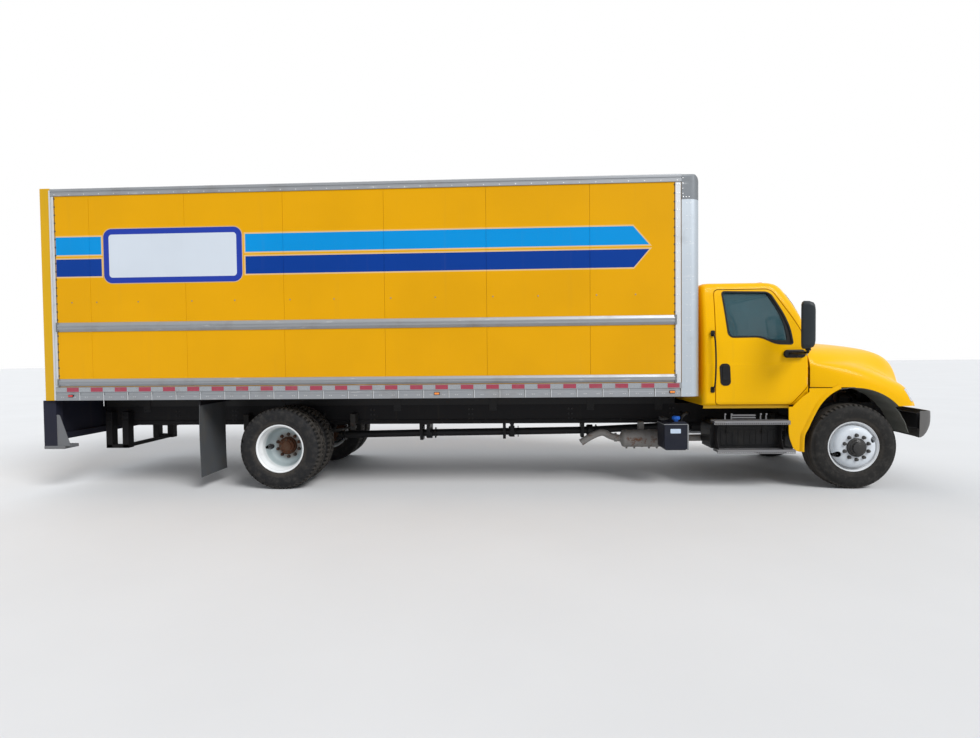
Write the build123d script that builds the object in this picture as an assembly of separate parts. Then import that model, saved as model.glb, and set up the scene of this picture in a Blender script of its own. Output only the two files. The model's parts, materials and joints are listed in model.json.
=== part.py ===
"""Medium-duty box truck with a conventional cab and a 26-foot dry-freight body.

Row frame: +X forward, +Y to the truck's left, +Z up, millimetres.  The origin is on
the ground, midway between the front bumper and the rear bumper, on the centreline.
Places along the truck are given by ahead(d), where d is the distance ahead of the
front axle and is negative behind it.
"""

from build123d import *
from math import acos, atan2, cos, degrees, hypot, pi, radians, sin, sqrt, tan
import os

# Driving dimensions: overall
BUMPER_TO_AXLE = 1016.0
WHEELBASE = 6909.0
BOX_FRONT = -1825.0
BOX_LENGTH = 7980.0
REAR_BUMPER_REACH = 70.0
LENGTH = BUMPER_TO_AXLE - BOX_FRONT + BOX_LENGTH + REAR_BUMPER_REACH
FRONT_AXLE_X = LENGTH / 2 - BUMPER_TO_AXLE
REAR_AXLE_X = FRONT_AXLE_X - WHEELBASE

# Tyres and wheels
TYRE_RADIUS = 506.0
TYRE_WIDTH = 276.0
TREAD_WIDTH = 216.0
SHOULDER_DROP = 30.0
RIM_FLANGE_RADIUS = 298.0
RIM_SEAT_RADIUS = 286.0
RIM_WELL_RADIUS = 262.0
RIM_HALF_WIDTH = 117.0
RIM_SKIN = 9.0
WHEEL_OFFSET = 167.0
DISC_THICKNESS = 12.0
PILOT_RADIUS = 110.0
STUD_CIRCLE_RADIUS = 142.9
STUD_COUNT = 10
NUT_RADIUS = 19.0
NUT_HEIGHT = 30.0
HAND_HOLE_RADIUS = 29.0
HAND_HOLE_CIRCLE = 216.0
SEAT_GAP = 0.3
AXLE_Z = TYRE_RADIUS
FRONT_TRACK = 2050.0
REAR_TRACK = 1820.0

# Steering
KINGPIN_Y = 860.0
KINGPIN_RADIUS = 22.0
PIN_CLEARANCE = 0.05
ARM_LENGTH = 190.0
TIE_ROD_Z = 392.0
TIE_ROD_RADIUS = 20.0

# Frame
FRAME_HALF_WIDTH = 432.0
RAIL_DEPTH = 256.0
RAIL_FLANGE = 76.0
RAIL_SKIN = 8.0
RAIL_BOTTOM_Z = 712.0
RAIL_TOP_Z = RAIL_BOTTOM_Z + RAIL_DEPTH
RAIL_FRONT = 800.0
RAIL_BACK_GAP = 186.0

# Freight body
BOX_BOTTOM_Z = 1125.0
BOX_TOP_Z = 3722.0
BOX_HALF_WIDTH = 1270.0
RAIL_PROUD = 10.0
RUB_PROUD = 25.0
WALL = 25.0
BOTTOM_RAIL_HEIGHT = 165.0
TOP_RAIL_HEIGHT = 92.0
RUB_RAIL_Z = 2028.0
RUB_RAIL_HEIGHT = 112.0
LOW_RUB_RAIL_Z = 1344.0
LOW_RUB_RAIL_HEIGHT = 92.0
POST_LENGTH = 225.0
CORNER_RADIUS = 120.0
FRONT_WALL = 40.0
REAR_FRAME_LENGTH = 125.0
REAR_POST_WIDTH = 130.0
HEADER_HEIGHT = 330.0
DECK_THICKNESS = 36.0
CROSS_BEAM_DEPTH = 100.0
CROSS_BEAM_PITCH = 304.8
DOOR_PANEL_COUNT = 8
SILL_INNER = 358.0
SILL_WIDTH = 72.0

# Cab
CAB_FRONT = -494.0
CAB_BACK = -1745.0
CAB_BOTTOM_Z = 1000.0
CAB_BELT_Z = 1765.0
CAB_EAVE_Z = 2410.0
CAB_ROOF_Z = 2492.0
CAB_HALF_WIDTH = 1100.0
CAB_MIDDLE_Z = 2060.0
CAB_MIDDLE_HALF_WIDTH = 1062.0
CAB_ROOF_HALF_WIDTH = 995.0
CAB_SKIN = 55.0
DOOR_GAP = 10.0
DOOR_DEPTH = 70.0
DOOR_LEAN = 10.0
DOOR_HINGE = -520.0
DOOR_HINGE_Y = 1090.0
DOOR_HINGE_Z = (1290.0, 1640.0)
HINGE_HEIGHT = 50.0
HINGE_RADIUS = 9.0
HINGE_PIN_RADIUS = 5.0
HINGE_POCKET_RADIUS = 16.0
HINGE_CLEARANCE = 0.3
GLASS_THICKNESS = 6.0

# Hood
HOOD_BACK = -484.0
HOOD_SKIN = 14.0
FENDER_HALF_WIDTH = 1170.0
HOOD_HINGE = 925.0
HOOD_HINGE_Z = 940.0
HOOD_PIN_RADIUS = 6.0
HOOD_LUG_RADIUS = 12.0
ARCH_RADIUS = 700.0


def ahead(distance):
    """X of a place that lies this far ahead of the front axle."""
    return FRONT_AXLE_X + distance


def slab(x, y, z):
    """A block between two corners, each axis given as (low, high)."""
    size = [high - low for low, high in (x, y, z)]
    centre = [(high + low) / 2 for low, high in (x, y, z)]
    return Pos(*centre) * Box(*size)


def outline(corners):
    """A face in XY from corners (x, y, radius), each rounded by its radius."""
    count = len(corners)
    edges = []
    starts, ends = [], []
    for i, (x, y, r) in enumerate(corners):
        px, py, _ = corners[i - 1]
        nx, ny, _ = corners[(i + 1) % count]
        if r == 0:
            starts.append((x, y))
            ends.append((x, y))
            continue
        ux, uy = (px - x) / hypot(px - x, py - y), (py - y) / hypot(px - x, py - y)
        vx, vy = (nx - x) / hypot(nx - x, ny - y), (ny - y) / hypot(nx - x, ny - y)
        half = acos(max(-1.0, min(1.0, ux * vx + uy * vy))) / 2
        reach = r / tan(half)
        bx, by = ux + vx, uy + vy
        bl = hypot(bx, by)
        to_centre = r / sin(half)
        cx, cy = x + bx / bl * to_centre, y + by / bl * to_centre
        start = (x + ux * reach, y + uy * reach)
        end = (x + vx * reach, y + vy * reach)
        middle = (cx - bx / bl * r, cy - by / bl * r)
        edges.append(ThreePointArc(start, middle, end))
        starts.append(start)
        ends.append(end)
    for i in range(count):
        a, b = ends[i], starts[(i + 1) % count]
        if hypot(a[0] - b[0], a[1] - b[1]) > 1e-4:
            edges.append(Line(a, b))
    return make_face(edges)


def prism_x(corners, x0, x1):
    """An outline of (y, z, radius) corners, run along X."""
    face = Plane.YZ * outline(corners)
    return Pos(x0, 0, 0) * extrude(face, amount=x1 - x0, dir=(1, 0, 0))


def prism_y(corners, y0, y1):
    """An outline of (x, z, radius) corners, run along Y."""
    face = Plane.XZ * outline(corners)
    return Pos(0, y0, 0) * extrude(face, amount=y1 - y0, dir=(0, 1, 0))


def prism_z(corners, z0, z1):
    """An outline of (x, y, radius) corners, run along Z."""
    return Pos(0, 0, z0) * extrude(outline(corners), amount=z1 - z0, dir=(0, 0, 1))


def sharp(points):
    """Corners with no rounding."""
    return [(a, b, 0) for a, b in points]


def spun(profile):
    """A ring or disc turned about the Y axis from (radius, y) corners."""
    return revolve(outline(sharp(profile)), Axis.Y, 360)


def rod(start, end, radius):
    """A round bar between two points."""
    a, b = Vector(*start), Vector(*end)
    run = b - a
    return Plane(origin=a, z_dir=run) * Pos(0, 0, run.length / 2) * Cylinder(radius, run.length)


def mirrored(shape):
    """The same piece on the other side of the truck."""
    return mirror(shape, about=Plane.XZ)


def both_sides(*shapes):
    """A group of left-hand pieces with their right-hand twins."""
    pieces = []
    for shape in shapes:
        pieces += list(shape.solids()) + list(mirrored(shape).solids())
    return Compound(children=pieces)


def group(*shapes):
    """Solids that share a node without being fused."""
    return Compound(children=[solid for shape in shapes for solid in shape.solids()])


# Wheels


def tyre():
    """One tyre about the Y axis, centred on its own middle plane."""
    half = TYRE_WIDTH / 2
    tread = TREAD_WIDTH / 2
    bead = 103.0
    inner = RIM_SEAT_RADIUS + SEAT_GAP
    bulge_radius = (TYRE_RADIUS + RIM_FLANGE_RADIUS) / 2
    side = [
        (inner, bead),
        (RIM_FLANGE_RADIUS + 4, bead + 1.5),
        (bulge_radius - 45, half - 5),
        (bulge_radius + 15, half),
        (TYRE_RADIUS - SHOULDER_DROP, half - 10),
        (TYRE_RADIUS, tread),
    ]
    return spun(side + [(r, -y) for r, y in reversed(side)])


def disc_wheel():
    """Pressed wheel whose mounting face lies WHEEL_OFFSET outboard of the rim's middle."""
    flange, seat, well = RIM_FLANGE_RADIUS, RIM_SEAT_RADIUS, RIM_WELL_RADIUS
    skin = RIM_SKIN
    edge = RIM_HALF_WIDTH
    rim = [
        (flange, edge), (flange, edge - 12), (seat, edge - 14), (seat - 3, 70), (well, 52),
        (well, -34), (seat - 3, -62), (seat, 14 - edge), (flange, 12 - edge), (flange, -edge),
        (flange - 10, -edge), (seat - skin, 10 - edge), (seat - 3 - skin, -60),
        (well - skin, -32), (well - skin, 50), (seat - 3 - skin, 68),
        (seat - skin, edge - 10), (flange - 10, edge),
    ]
    face = WHEEL_OFFSET
    back = WHEEL_OFFSET - DISC_THICKNESS
    bore = PILOT_RADIUS + 0.3
    dish = [
        (bore, back), (bore, face), (172, face), (205, face - 24), (233, face - 62),
        (well - skin + 3, 44), (well - skin + 3, 28), (243, 38), (224, 92), (197, 132), (168, back),
    ]
    wheel = spun(rim) + spun(dish)
    for angle in (20, 200):
        hole = Plane.XZ * Pos(
            HAND_HOLE_CIRCLE * cos(radians(angle)), HAND_HOLE_CIRCLE * sin(radians(angle))
        ) * Circle(HAND_HOLE_RADIUS)
        wheel -= Pos(0, 60, 0) * extrude(hole, amount=140, dir=(0, 1, 0))
    return wheel


def nuts(seat_y):
    """The ring of hexagon wheel nuts, standing on the disc at seat_y."""
    ring = []
    for i in range(STUD_COUNT):
        angle = 2 * pi * (i + 0.5) / STUD_COUNT
        hexagon = Plane.XZ * Pos(
            STUD_CIRCLE_RADIUS * cos(angle), STUD_CIRCLE_RADIUS * sin(angle)
        ) * RegularPolygon(NUT_RADIUS, 6)
        ring.append(Pos(0, seat_y, 0) * extrude(hexagon, amount=NUT_HEIGHT, dir=(0, 1, 0)))
    return ring


SPINDLE_RADIUS = 36.0
REAR_SPINDLE_RADIUS = 50.0
FRONT_WHEEL_Y = FRONT_TRACK / 2
REAR_FACE_Y = REAR_TRACK / 2


def front_hub():
    """Front hub and drum about Y, centred on the rim's middle plane."""
    face = WHEEL_OFFSET
    bore = SPINDLE_RADIUS + PIN_CLEARANCE
    hub = spun([
        (bore, -88), (205, -88), (205, 58), (120, 72), (120, 118), (165, 124),
        (165, face - DISC_THICKNESS), (PILOT_RADIUS, face - DISC_THICKNESS), (PILOT_RADIUS, face + 26),
        (84, face + 34), (76, face + 62), (52, face + 72), (0, face + 72), (0, 140), (bore, 140),
    ])
    for nut in nuts(face):
        hub += nut
    return hub


def rear_hub():
    """Rear hub, drum and drive flange about Y, centred on the wheels' mounting plane."""
    bore = REAR_SPINDLE_RADIUS + PIN_CLEARANCE
    thick = DISC_THICKNESS
    hub = spun([
        (bore, -236), (212, -236), (212, -58), (165, -46), (165, -thick), (PILOT_RADIUS, -thick),
        (PILOT_RADIUS, 52), (96, 58), (96, 78), (60, 92), (0, 92), (0, 40), (bore, 40),
    ])
    for nut in nuts(thick):
        hub += nut
    return hub


def wheels():
    """Tyres, wheels and hubs, each on its axle."""
    parts = {}
    front = Pos(FRONT_AXLE_X, FRONT_WHEEL_Y, AXLE_Z)
    rear_outer = Pos(REAR_AXLE_X, REAR_FACE_Y + WHEEL_OFFSET, AXLE_Z)
    rear_inner = Pos(REAR_AXLE_X, REAR_FACE_Y - WHEEL_OFFSET, AXLE_Z)
    one_tyre, one_wheel = tyre(), disc_wheel()
    left = {
        "tyre_front": front * one_tyre,
        "wheel_front": front * (one_wheel + front_hub()),
        "tyres_rear": group(rear_outer * one_tyre, rear_inner * one_tyre),
        "wheels_rear": (rear_outer * mirrored(one_wheel) + rear_inner * one_wheel
                        + Pos(REAR_AXLE_X, REAR_FACE_Y, AXLE_Z) * rear_hub()),
    }
    for name, shape in left.items():
        parts[name + "_left"] = shape
        parts[name + "_right"] = mirrored(shape)
    return parts


# Axles, steering and springs

EYE_RADIUS = 42.0
EYE_HALF = 52.0
YOKE_GAP = 2.0
YOKE_EAR = 26.0


def front_axle():
    """Forged beam with a spring pad each side and an eye for each kingpin."""
    x, z = FRONT_AXLE_X, AXLE_Z
    drop = 110.0
    beam = prism_y([(x - 45, z - drop - 50, 8), (x + 45, z - drop - 50, 8),
                    (x + 45, z - drop + 50, 8), (x - 45, z - drop + 50, 8)], -600, 600)
    for side in (1, -1):
        arm = prism_x(sharp([
            (side * 560, z - drop - 50), (side * 620, z - drop - 50), (side * 750, z - EYE_HALF + 6),
            (side * 845, z - EYE_HALF + 6),
            (side * 845, z + EYE_HALF - 6), (side * 760, z + EYE_HALF - 6), (side * 600, z - drop + 50),
            (side * 560, z - drop + 50),
        ]), x - 38, x + 38)
        eye = Pos(x, side * KINGPIN_Y, z) * Cylinder(EYE_RADIUS, 2 * EYE_HALF)
        pad = slab((x - 60, x + 60), (side * 430 - 48, side * 430 + 48), (z - drop + 48, SPRING_SEAT_Z))
        beam = beam + arm + eye + pad
    for side in (1, -1):
        beam -= Pos(x, side * KINGPIN_Y, z) * Cylinder(KINGPIN_RADIUS, 3 * EYE_HALF)
    return beam


SPRING_SEAT_Z = 540.0
SPRING_WIDTH = 76.0
FRONT_SPRING_Y = 430.0
REAR_SPRING_Y = REAR_TRACK / 2 - 394.0
REAR_SEAT_Z = 572.0


def knuckle():
    """Left steering knuckle: yoke, kingpin, spindle and tie-rod arm."""
    x, y, z = FRONT_AXLE_X, KINGPIN_Y, AXLE_Z
    low = EYE_HALF + YOKE_GAP
    plate_y = KINGPIN_Y + EYE_RADIUS + YOKE_GAP
    body = slab((x - 60, x + 60), (plate_y, plate_y + 26), (z - low - YOKE_EAR, z + low + YOKE_EAR))
    for side in (1, -1):
        ear_z = z + side * (low + YOKE_EAR / 2)
        ear = Pos(x, y, ear_z) * Cylinder(EYE_RADIUS, YOKE_EAR)
        web = slab((x - 38, x + 38), (y, plate_y + 10), (ear_z - YOKE_EAR / 2, ear_z + YOKE_EAR / 2))
        body = body + ear + web
    body += Pos(x, y, z) * Cylinder(KINGPIN_RADIUS - PIN_CLEARANCE, 2 * low + YOKE_EAR)
    tip = FRONT_WHEEL_Y + 139
    body += rod((x, plate_y + 20, z), (x, tip, z), SPINDLE_RADIUS)
    arm_z = z - low - YOKE_EAR
    end_x, end_y = x - ARM_LENGTH, y
    arm = prism_z([(x - 36, y + 30, 6), (x - 36, y - 30, 6), (end_x - 24, end_y - 24, 20),
                   (end_x - 24, end_y + 24, 20)], TIE_ROD_Z + TIE_ROD_RADIUS + 2, arm_z + 14)
    body += arm
    body += Pos(end_x, end_y, TIE_ROD_Z) * Cylinder(11, 2 * TIE_ROD_RADIUS + 30)
    return body


def tie_rod():
    """Bar between the knuckle arms, with a socket round each arm's pin."""
    x = FRONT_AXLE_X - ARM_LENGTH
    y = KINGPIN_Y
    bar = rod((x, -y, TIE_ROD_Z), (x, y, TIE_ROD_Z), TIE_ROD_RADIUS - 4)
    for side in (1, -1):
        bar += Pos(x, side * y, TIE_ROD_Z) * Cylinder(27, 2 * TIE_ROD_RADIUS)
    for side in (1, -1):
        bar -= Pos(x, side * y, TIE_ROD_Z) * Cylinder(11 + 4 * PIN_CLEARANCE, 4 * TIE_ROD_RADIUS)
    return bar


def leaf_spring(x, y, seat_z, half_length, rise, leaves, leaf):
    """A stack of curved leaves, the longest on top, with an eye at each end."""
    def band(reach, low):
        end_z = low + rise * (reach / half_length) ** 2
        lower = ThreePointArc((-reach, end_z), (0, low), (reach, end_z))
        upper = ThreePointArc((reach, end_z + leaf), (0, low + leaf), (-reach, end_z + leaf))
        sides = [Line((reach, end_z), (reach, end_z + leaf)), Line((-reach, end_z + leaf), (-reach, end_z))]
        face = Plane.XZ * make_face([lower, sides[0], upper, sides[1]])
        return extrude(face, amount=SPRING_WIDTH, dir=(0, 1, 0))
    stack = None
    for i in range(leaves):
        reach = half_length * (i + 2) / (leaves + 1)
        one = band(reach, seat_z + i * leaf)
        stack = one if stack is None else stack + one
    top = seat_z + leaves * leaf - leaf / 2 + rise
    for end in (1, -1):
        stack += rod((end * half_length, 0, top), (end * half_length, SPRING_WIDTH, top), 28)
    return Pos(x, y - SPRING_WIDTH / 2, 0) * stack


FRONT_SPRING_HALF = 640.0
REAR_SPRING_HALF = 730.0


def leaf_springs():
    """The four springs."""
    front = leaf_spring(FRONT_AXLE_X, FRONT_SPRING_Y, SPRING_SEAT_Z, FRONT_SPRING_HALF, 70, 3, 15)
    rear = leaf_spring(REAR_AXLE_X, REAR_SPRING_Y, REAR_SEAT_Z, REAR_SPRING_HALF, 60, 4, 15)
    return both_sides(front, rear)


def rear_axle():
    """Drive-axle housing with its differential and the spindles that carry the hubs."""
    x, z = REAR_AXLE_X, AXLE_Z
    housing = prism_y([(x - 66, z - 62, 16), (x + 66, z - 62, 16),
                       (x + 66, z + 62, 16), (x - 66, z + 62, 16)], -REAR_FACE_Y + 270, REAR_FACE_Y - 270)
    bowl = Pos(x, 0, z) * Rotation(0, 90, 0) * Cylinder(215, 150)
    cover = Pos(x - 75 - 45, 0, z) * Rotation(0, -90, 0) * Cone(200, 130, 90)
    nose = Pos(x + 75 + 90, 0, z) * Rotation(0, 90, 0) * Cone(170, 80, 180)
    housing = housing + bowl + cover + nose
    for side in (1, -1):
        inner, outer = side * (REAR_FACE_Y - 280), side * (REAR_FACE_Y + 39)
        housing += rod((x, inner, z), (x, outer, z), REAR_SPINDLE_RADIUS)
        housing += slab((x - 62, x + 62), (side * REAR_SPRING_Y - 45, side * REAR_SPRING_Y + 45),
                        (z + 55, REAR_SEAT_Z))
    return housing


# Frame


def frame_rails():
    """Two pressed channels, open towards the centreline."""
    outer, inner = FRAME_HALF_WIDTH, FRAME_HALF_WIDTH - RAIL_FLANGE
    low, high, skin = RAIL_BOTTOM_Z, RAIL_TOP_Z, RAIL_SKIN
    rail = prism_x(sharp([
        (outer, low), (outer, high), (inner, high), (inner, high - skin),
        (outer - skin, high - skin), (outer - skin, low + skin), (inner, low + skin), (inner, low),
    ]), -LENGTH / 2 + RAIL_BACK_GAP, ahead(RAIL_FRONT))
    return both_sides(rail)


CROSSMEMBER_STATIONS = (-1960.0, -3300.0, -4640.0, -5980.0, -7900.0, -8700.0)
CROSSMEMBER_LENGTH = 70.0
CAB_MOUNT_STATIONS = (-640.0, -1640.0)
REAR_PLATE = 16.0
REAR_PLATE_X = -LENGTH / 2 + RAIL_BACK_GAP + 20
PINTLE_SPACING_Y = 85.0
PINTLE_SPACING_Z = 45.0
PINTLE_HOLE_RADIUS = 7.0
PINTLE_Z = 840.0


def frame_crossmembers():
    """Channels between the rails, a front tube, a rear plate drilled for a hook, and the cab's mounts."""
    reach = FRAME_HALF_WIDTH - RAIL_SKIN
    low, high = RAIL_BOTTOM_Z + RAIL_SKIN + 12, RAIL_TOP_Z - RAIL_SKIN - 12
    pieces = []
    for station in CROSSMEMBER_STATIONS:
        x = ahead(station)
        web = RAIL_SKIN
        channel = prism_y(sharp([
            (x, low), (x + CROSSMEMBER_LENGTH, low), (x + CROSSMEMBER_LENGTH, low + web),
            (x + web, low + web), (x + web, high - web), (x + CROSSMEMBER_LENGTH, high - web),
            (x + CROSSMEMBER_LENGTH, high), (x, high),
        ]), -reach, reach)
        pieces.append(channel)
    nose = slab((ahead(RAIL_FRONT) - 70, ahead(RAIL_FRONT) - 8), (-reach, reach), (low, low + 60))
    pieces.append(nose)
    x = REAR_PLATE_X
    plate = slab((x, x + REAR_PLATE), (-reach, reach), (low, high))
    for y in (-PINTLE_SPACING_Y / 2, PINTLE_SPACING_Y / 2):
        for z in (-PINTLE_SPACING_Z / 2, PINTLE_SPACING_Z / 2):
            plate -= rod((x - 5, y, PINTLE_Z + z), (x + REAR_PLATE + 5, y, PINTLE_Z + z), PINTLE_HOLE_RADIUS)
    pieces.append(plate)
    for station in CAB_MOUNT_STATIONS:
        for side in (1, -1):
            y = side * (FRAME_HALF_WIDTH - RAIL_FLANGE / 2)
            height = CAB_BOTTOM_Z - SEAT_GAP - RAIL_TOP_Z
            pieces.append(Pos(ahead(station), y, RAIL_TOP_Z + height / 2) * Cylinder(36, height))
    return group(*pieces)


def spring_hangers():
    """Brackets that hang the spring eyes from the rails."""
    pieces = []
    front_eye_z = SPRING_SEAT_Z + 3 * 15 - 7.5 + 70
    rear_eye_z = REAR_SEAT_Z + 4 * 15 - 7.5 + 60
    for axle_x, y, half, eye_z in (
        (FRONT_AXLE_X, FRONT_SPRING_Y, FRONT_SPRING_HALF, front_eye_z),
        (REAR_AXLE_X, REAR_SPRING_Y, REAR_SPRING_HALF, rear_eye_z),
    ):
        for end in (1, -1):
            x = axle_x + end * half
            outer = y + SPRING_WIDTH / 2
            if y < FRAME_HALF_WIDTH + SPRING_WIDTH / 2:
                web = slab((x - 34, x + 34), (outer, outer + 12), (eye_z - 34, RAIL_BOTTOM_Z + 120))
                foot = slab((x - 34, x + 34), (FRAME_HALF_WIDTH, outer), (eye_z + 40, RAIL_BOTTOM_Z + 120))
            else:
                web = slab((x - 34, x + 34), (outer, outer + 12), (eye_z - 34, RAIL_BOTTOM_Z + 150))
                foot = slab((x - 34, x + 34), (FRAME_HALF_WIDTH, outer), (eye_z + 40, RAIL_BOTTOM_Z + 150))
            pieces.append(web + foot)
    return both_sides(*pieces)


# Drive line


ENGINE_BACK = -430.0


def engine():
    """The engine as one plain block at its real size and place, with its mounts to the rails."""
    block = slab((ahead(ENGINE_BACK), ahead(500)), (-300, 300), (640, 1430))
    reach = FRAME_HALF_WIDTH - RAIL_SKIN - SEAT_GAP
    for a in (-250, 260):
        block += slab((ahead(a), ahead(a + 90)), (-reach, reach), (RAIL_BOTTOM_Z + 70, RAIL_BOTTOM_Z + 130))
    return block


def transmission():
    """Gearbox with its bell housing and tail."""
    z = 690.0
    bell = Pos(ahead(ENGINE_BACK - 110) - SEAT_GAP, 0, z) * Rotation(0, -90, 0) * Cone(245, 190, 220)
    case = prism_x([(-190, z - 200, 40), (190, z - 200, 40), (190, z + 190, 40), (-190, z + 190, 40)],
                   ahead(-1340), ahead(-640))
    tail = rod((ahead(-1330), 0, z - 60), (ahead(-1560), 0, z - 60), 95)
    return bell + case + tail


SHAFT_POINTS = ((-1550.0, 630.0), (-2950.0, 560.0), (-4050.0, 545.0), (-5230.0, 530.0), (-6540.0, 507.0))
SHAFT_RADIUS = 50.0


def driveshaft():
    """Three-piece shaft with a joint at each station and two carrier bearings."""
    shaft = None
    for (xa, za), (xb, zb) in zip(SHAFT_POINTS, SHAFT_POINTS[1:]):
        piece = rod((ahead(xa), 0, za), (ahead(xb), 0, zb), SHAFT_RADIUS)
        shaft = piece if shaft is None else shaft + piece
    for xa, za in SHAFT_POINTS[1:-1]:
        shaft += Pos(ahead(xa), 0, za) * Rotation(0, 90, 0) * Cylinder(78, 70)
    for xa, za in SHAFT_POINTS[2:4]:
        hanger = slab((ahead(xa) - 24, ahead(xa) + 24), (-150, 150), (za + 20, RAIL_BOTTOM_Z - 12))
        tie = slab((ahead(xa) - 30, ahead(xa) + 30), (-FRAME_HALF_WIDTH + 10, FRAME_HALF_WIDTH - 10),
                   (RAIL_BOTTOM_Z - 14, RAIL_BOTTOM_Z))
        shaft += hanger + tie
    return shaft


def radiator():
    """Cooling pack behind the grille, on a shelf between the rails."""
    core = slab((ahead(640), ahead(715)), (-348, 348), (RAIL_BOTTOM_Z + 90, 1390))
    reach = FRAME_HALF_WIDTH - RAIL_SKIN - SEAT_GAP
    return core + slab((ahead(650), ahead(705)), (-reach, reach), (RAIL_BOTTOM_Z + 90, RAIL_BOTTOM_Z + 114))


# Freight body

BOX_X = (ahead(BOX_FRONT) - BOX_LENGTH, ahead(BOX_FRONT))
FLOOR_TOP_Z = BOX_BOTTOM_Z + CROSS_BEAM_DEPTH + DECK_THICKNESS


def box_floor():
    """Deck on a row of cross beams."""
    x0, x1 = BOX_X[0] + REAR_FRAME_LENGTH, BOX_X[1] - POST_LENGTH
    reach = BOX_HALF_WIDTH - WALL - 4
    beam_top = BOX_BOTTOM_Z + CROSS_BEAM_DEPTH
    front = BOX_X[1] - FRONT_WALL - 4
    deck = prism_z([(x0, -reach, 0), (front, -reach, CORNER_RADIUS), (front, reach, CORNER_RADIUS),
                    (x0, reach, 0)], beam_top, FLOOR_TOP_Z)
    count = int((x1 - x0) // CROSS_BEAM_PITCH)
    for i in range(count + 1):
        x = x0 + 40 + i * CROSS_BEAM_PITCH
        beam = prism_y(sharp([
            (x, BOX_BOTTOM_Z), (x + 46, BOX_BOTTOM_Z),
            (x + 46, BOX_BOTTOM_Z + 8), (x + 8, BOX_BOTTOM_Z + 8),
            (x + 8, beam_top - 8), (x + 46, beam_top - 8), (x + 46, beam_top), (x, beam_top),
        ]), -reach, reach)
        deck += beam
    return deck


def body_sills():
    """Two long sills that carry the freight body on the frame rails."""
    return both_sides(slab((BOX_X[0] + REAR_FRAME_LENGTH, ahead(BOX_FRONT) - 60),
                           (SILL_INNER, SILL_INNER + SILL_WIDTH), (RAIL_TOP_Z, BOX_BOTTOM_Z)))


def box_side():
    """Left side wall panel."""
    return slab((BOX_X[0] + REAR_FRAME_LENGTH, BOX_X[1] - POST_LENGTH),
                (BOX_HALF_WIDTH - WALL, BOX_HALF_WIDTH),
                (BOX_BOTTOM_Z + BOTTOM_RAIL_HEIGHT, BOX_TOP_Z - TOP_RAIL_HEIGHT))


def side_rails():
    """Bottom rail, two rub rails and top rail on each side."""
    x0, x1 = BOX_X[0] + REAR_FRAME_LENGTH, BOX_X[1] - POST_LENGTH
    face = BOX_HALF_WIDTH
    proud = face + RAIL_PROUD
    inner = face - WALL
    low = BOX_BOTTOM_Z
    bottom = prism_x(sharp([
        (inner, low), (proud, low), (proud, low + 62), (proud - 5, low + 66), (proud - 5, low + 96),
        (proud, low + 100), (proud, low + BOTTOM_RAIL_HEIGHT), (inner, low + BOTTOM_RAIL_HEIGHT),
    ]), x0, x1)
    high = BOX_TOP_Z
    top = prism_x([
        (inner, high - TOP_RAIL_HEIGHT, 0), (proud, high - TOP_RAIL_HEIGHT, 0),
        (proud, high, 34), (inner, high, 0),
    ], x0, x1)

    def rub(z, height):
        return prism_x([
            (face, z - height / 2, 0), (face + 6, z - height / 2, 0), (face + RUB_PROUD, z - height / 4, 12),
            (face + RUB_PROUD, z + height / 4, 12), (face + 6, z + height / 2, 0), (face, z + height / 2, 0),
        ], x0 + 55, x1 - 70)
    return both_sides(bottom, top, rub(RUB_RAIL_Z, RUB_RAIL_HEIGHT), rub(LOW_RUB_RAIL_Z, LOW_RUB_RAIL_HEIGHT))


def box_front():
    """Nose wall with its two rounded corner posts and the rounded rail over them."""
    x0, x1 = BOX_X[1] - POST_LENGTH, BOX_X[1]
    width = BOX_HALF_WIDTH + RAIL_PROUD
    outer = prism_z([(x0, -width, 0), (x1, -width, CORNER_RADIUS), (x1, width, CORNER_RADIUS), (x0, width, 0)],
                    BOX_BOTTOM_Z, BOX_TOP_Z)
    top = prism_y([(x0, BOX_BOTTOM_Z, 0), (x1, BOX_BOTTOM_Z, 0), (x1, BOX_TOP_Z, CORNER_RADIUS),
                   (x0, BOX_TOP_Z, 0)], -width, width)
    side = prism_x([(-width, BOX_BOTTOM_Z, 0), (width, BOX_BOTTOM_Z, 0), (width, BOX_TOP_Z, 34),
                    (-width, BOX_TOP_Z, 34)], x0, x1)
    shell = outer & top & side
    inner_width = BOX_HALF_WIDTH - WALL
    inner_x = x1 - FRONT_WALL
    inner_radius = CORNER_RADIUS - FRONT_WALL
    shell -= prism_z([(x0 - 1, -inner_width, 0), (inner_x, -inner_width, inner_radius),
                      (inner_x, inner_width, inner_radius), (x0 - 1, inner_width, 0)],
                     BOX_BOTTOM_Z - 1, BOX_TOP_Z - FRONT_WALL)
    return shell


def box_roof():
    """Roof sheet between the top rails."""
    x0, x1 = BOX_X[0] + REAR_FRAME_LENGTH, BOX_X[1] - POST_LENGTH
    return slab((x0, x1), (-BOX_HALF_WIDTH + WALL, BOX_HALF_WIDTH - WALL), (BOX_TOP_Z - 30, BOX_TOP_Z))


def rear_frame():
    """Steel portal round the rear door."""
    x0, x1 = BOX_X[0], BOX_X[0] + REAR_FRAME_LENGTH
    width = BOX_HALF_WIDTH + RAIL_PROUD
    frame = slab((x0, x1), (-width, width), (BOX_BOTTOM_Z, BOX_TOP_Z + 4))
    frame -= slab((x0 - 1, x1 + 1), (-width + REAR_POST_WIDTH, width - REAR_POST_WIDTH),
                  (FLOOR_TOP_Z, BOX_TOP_Z - HEADER_HEIGHT))
    return frame


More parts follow.
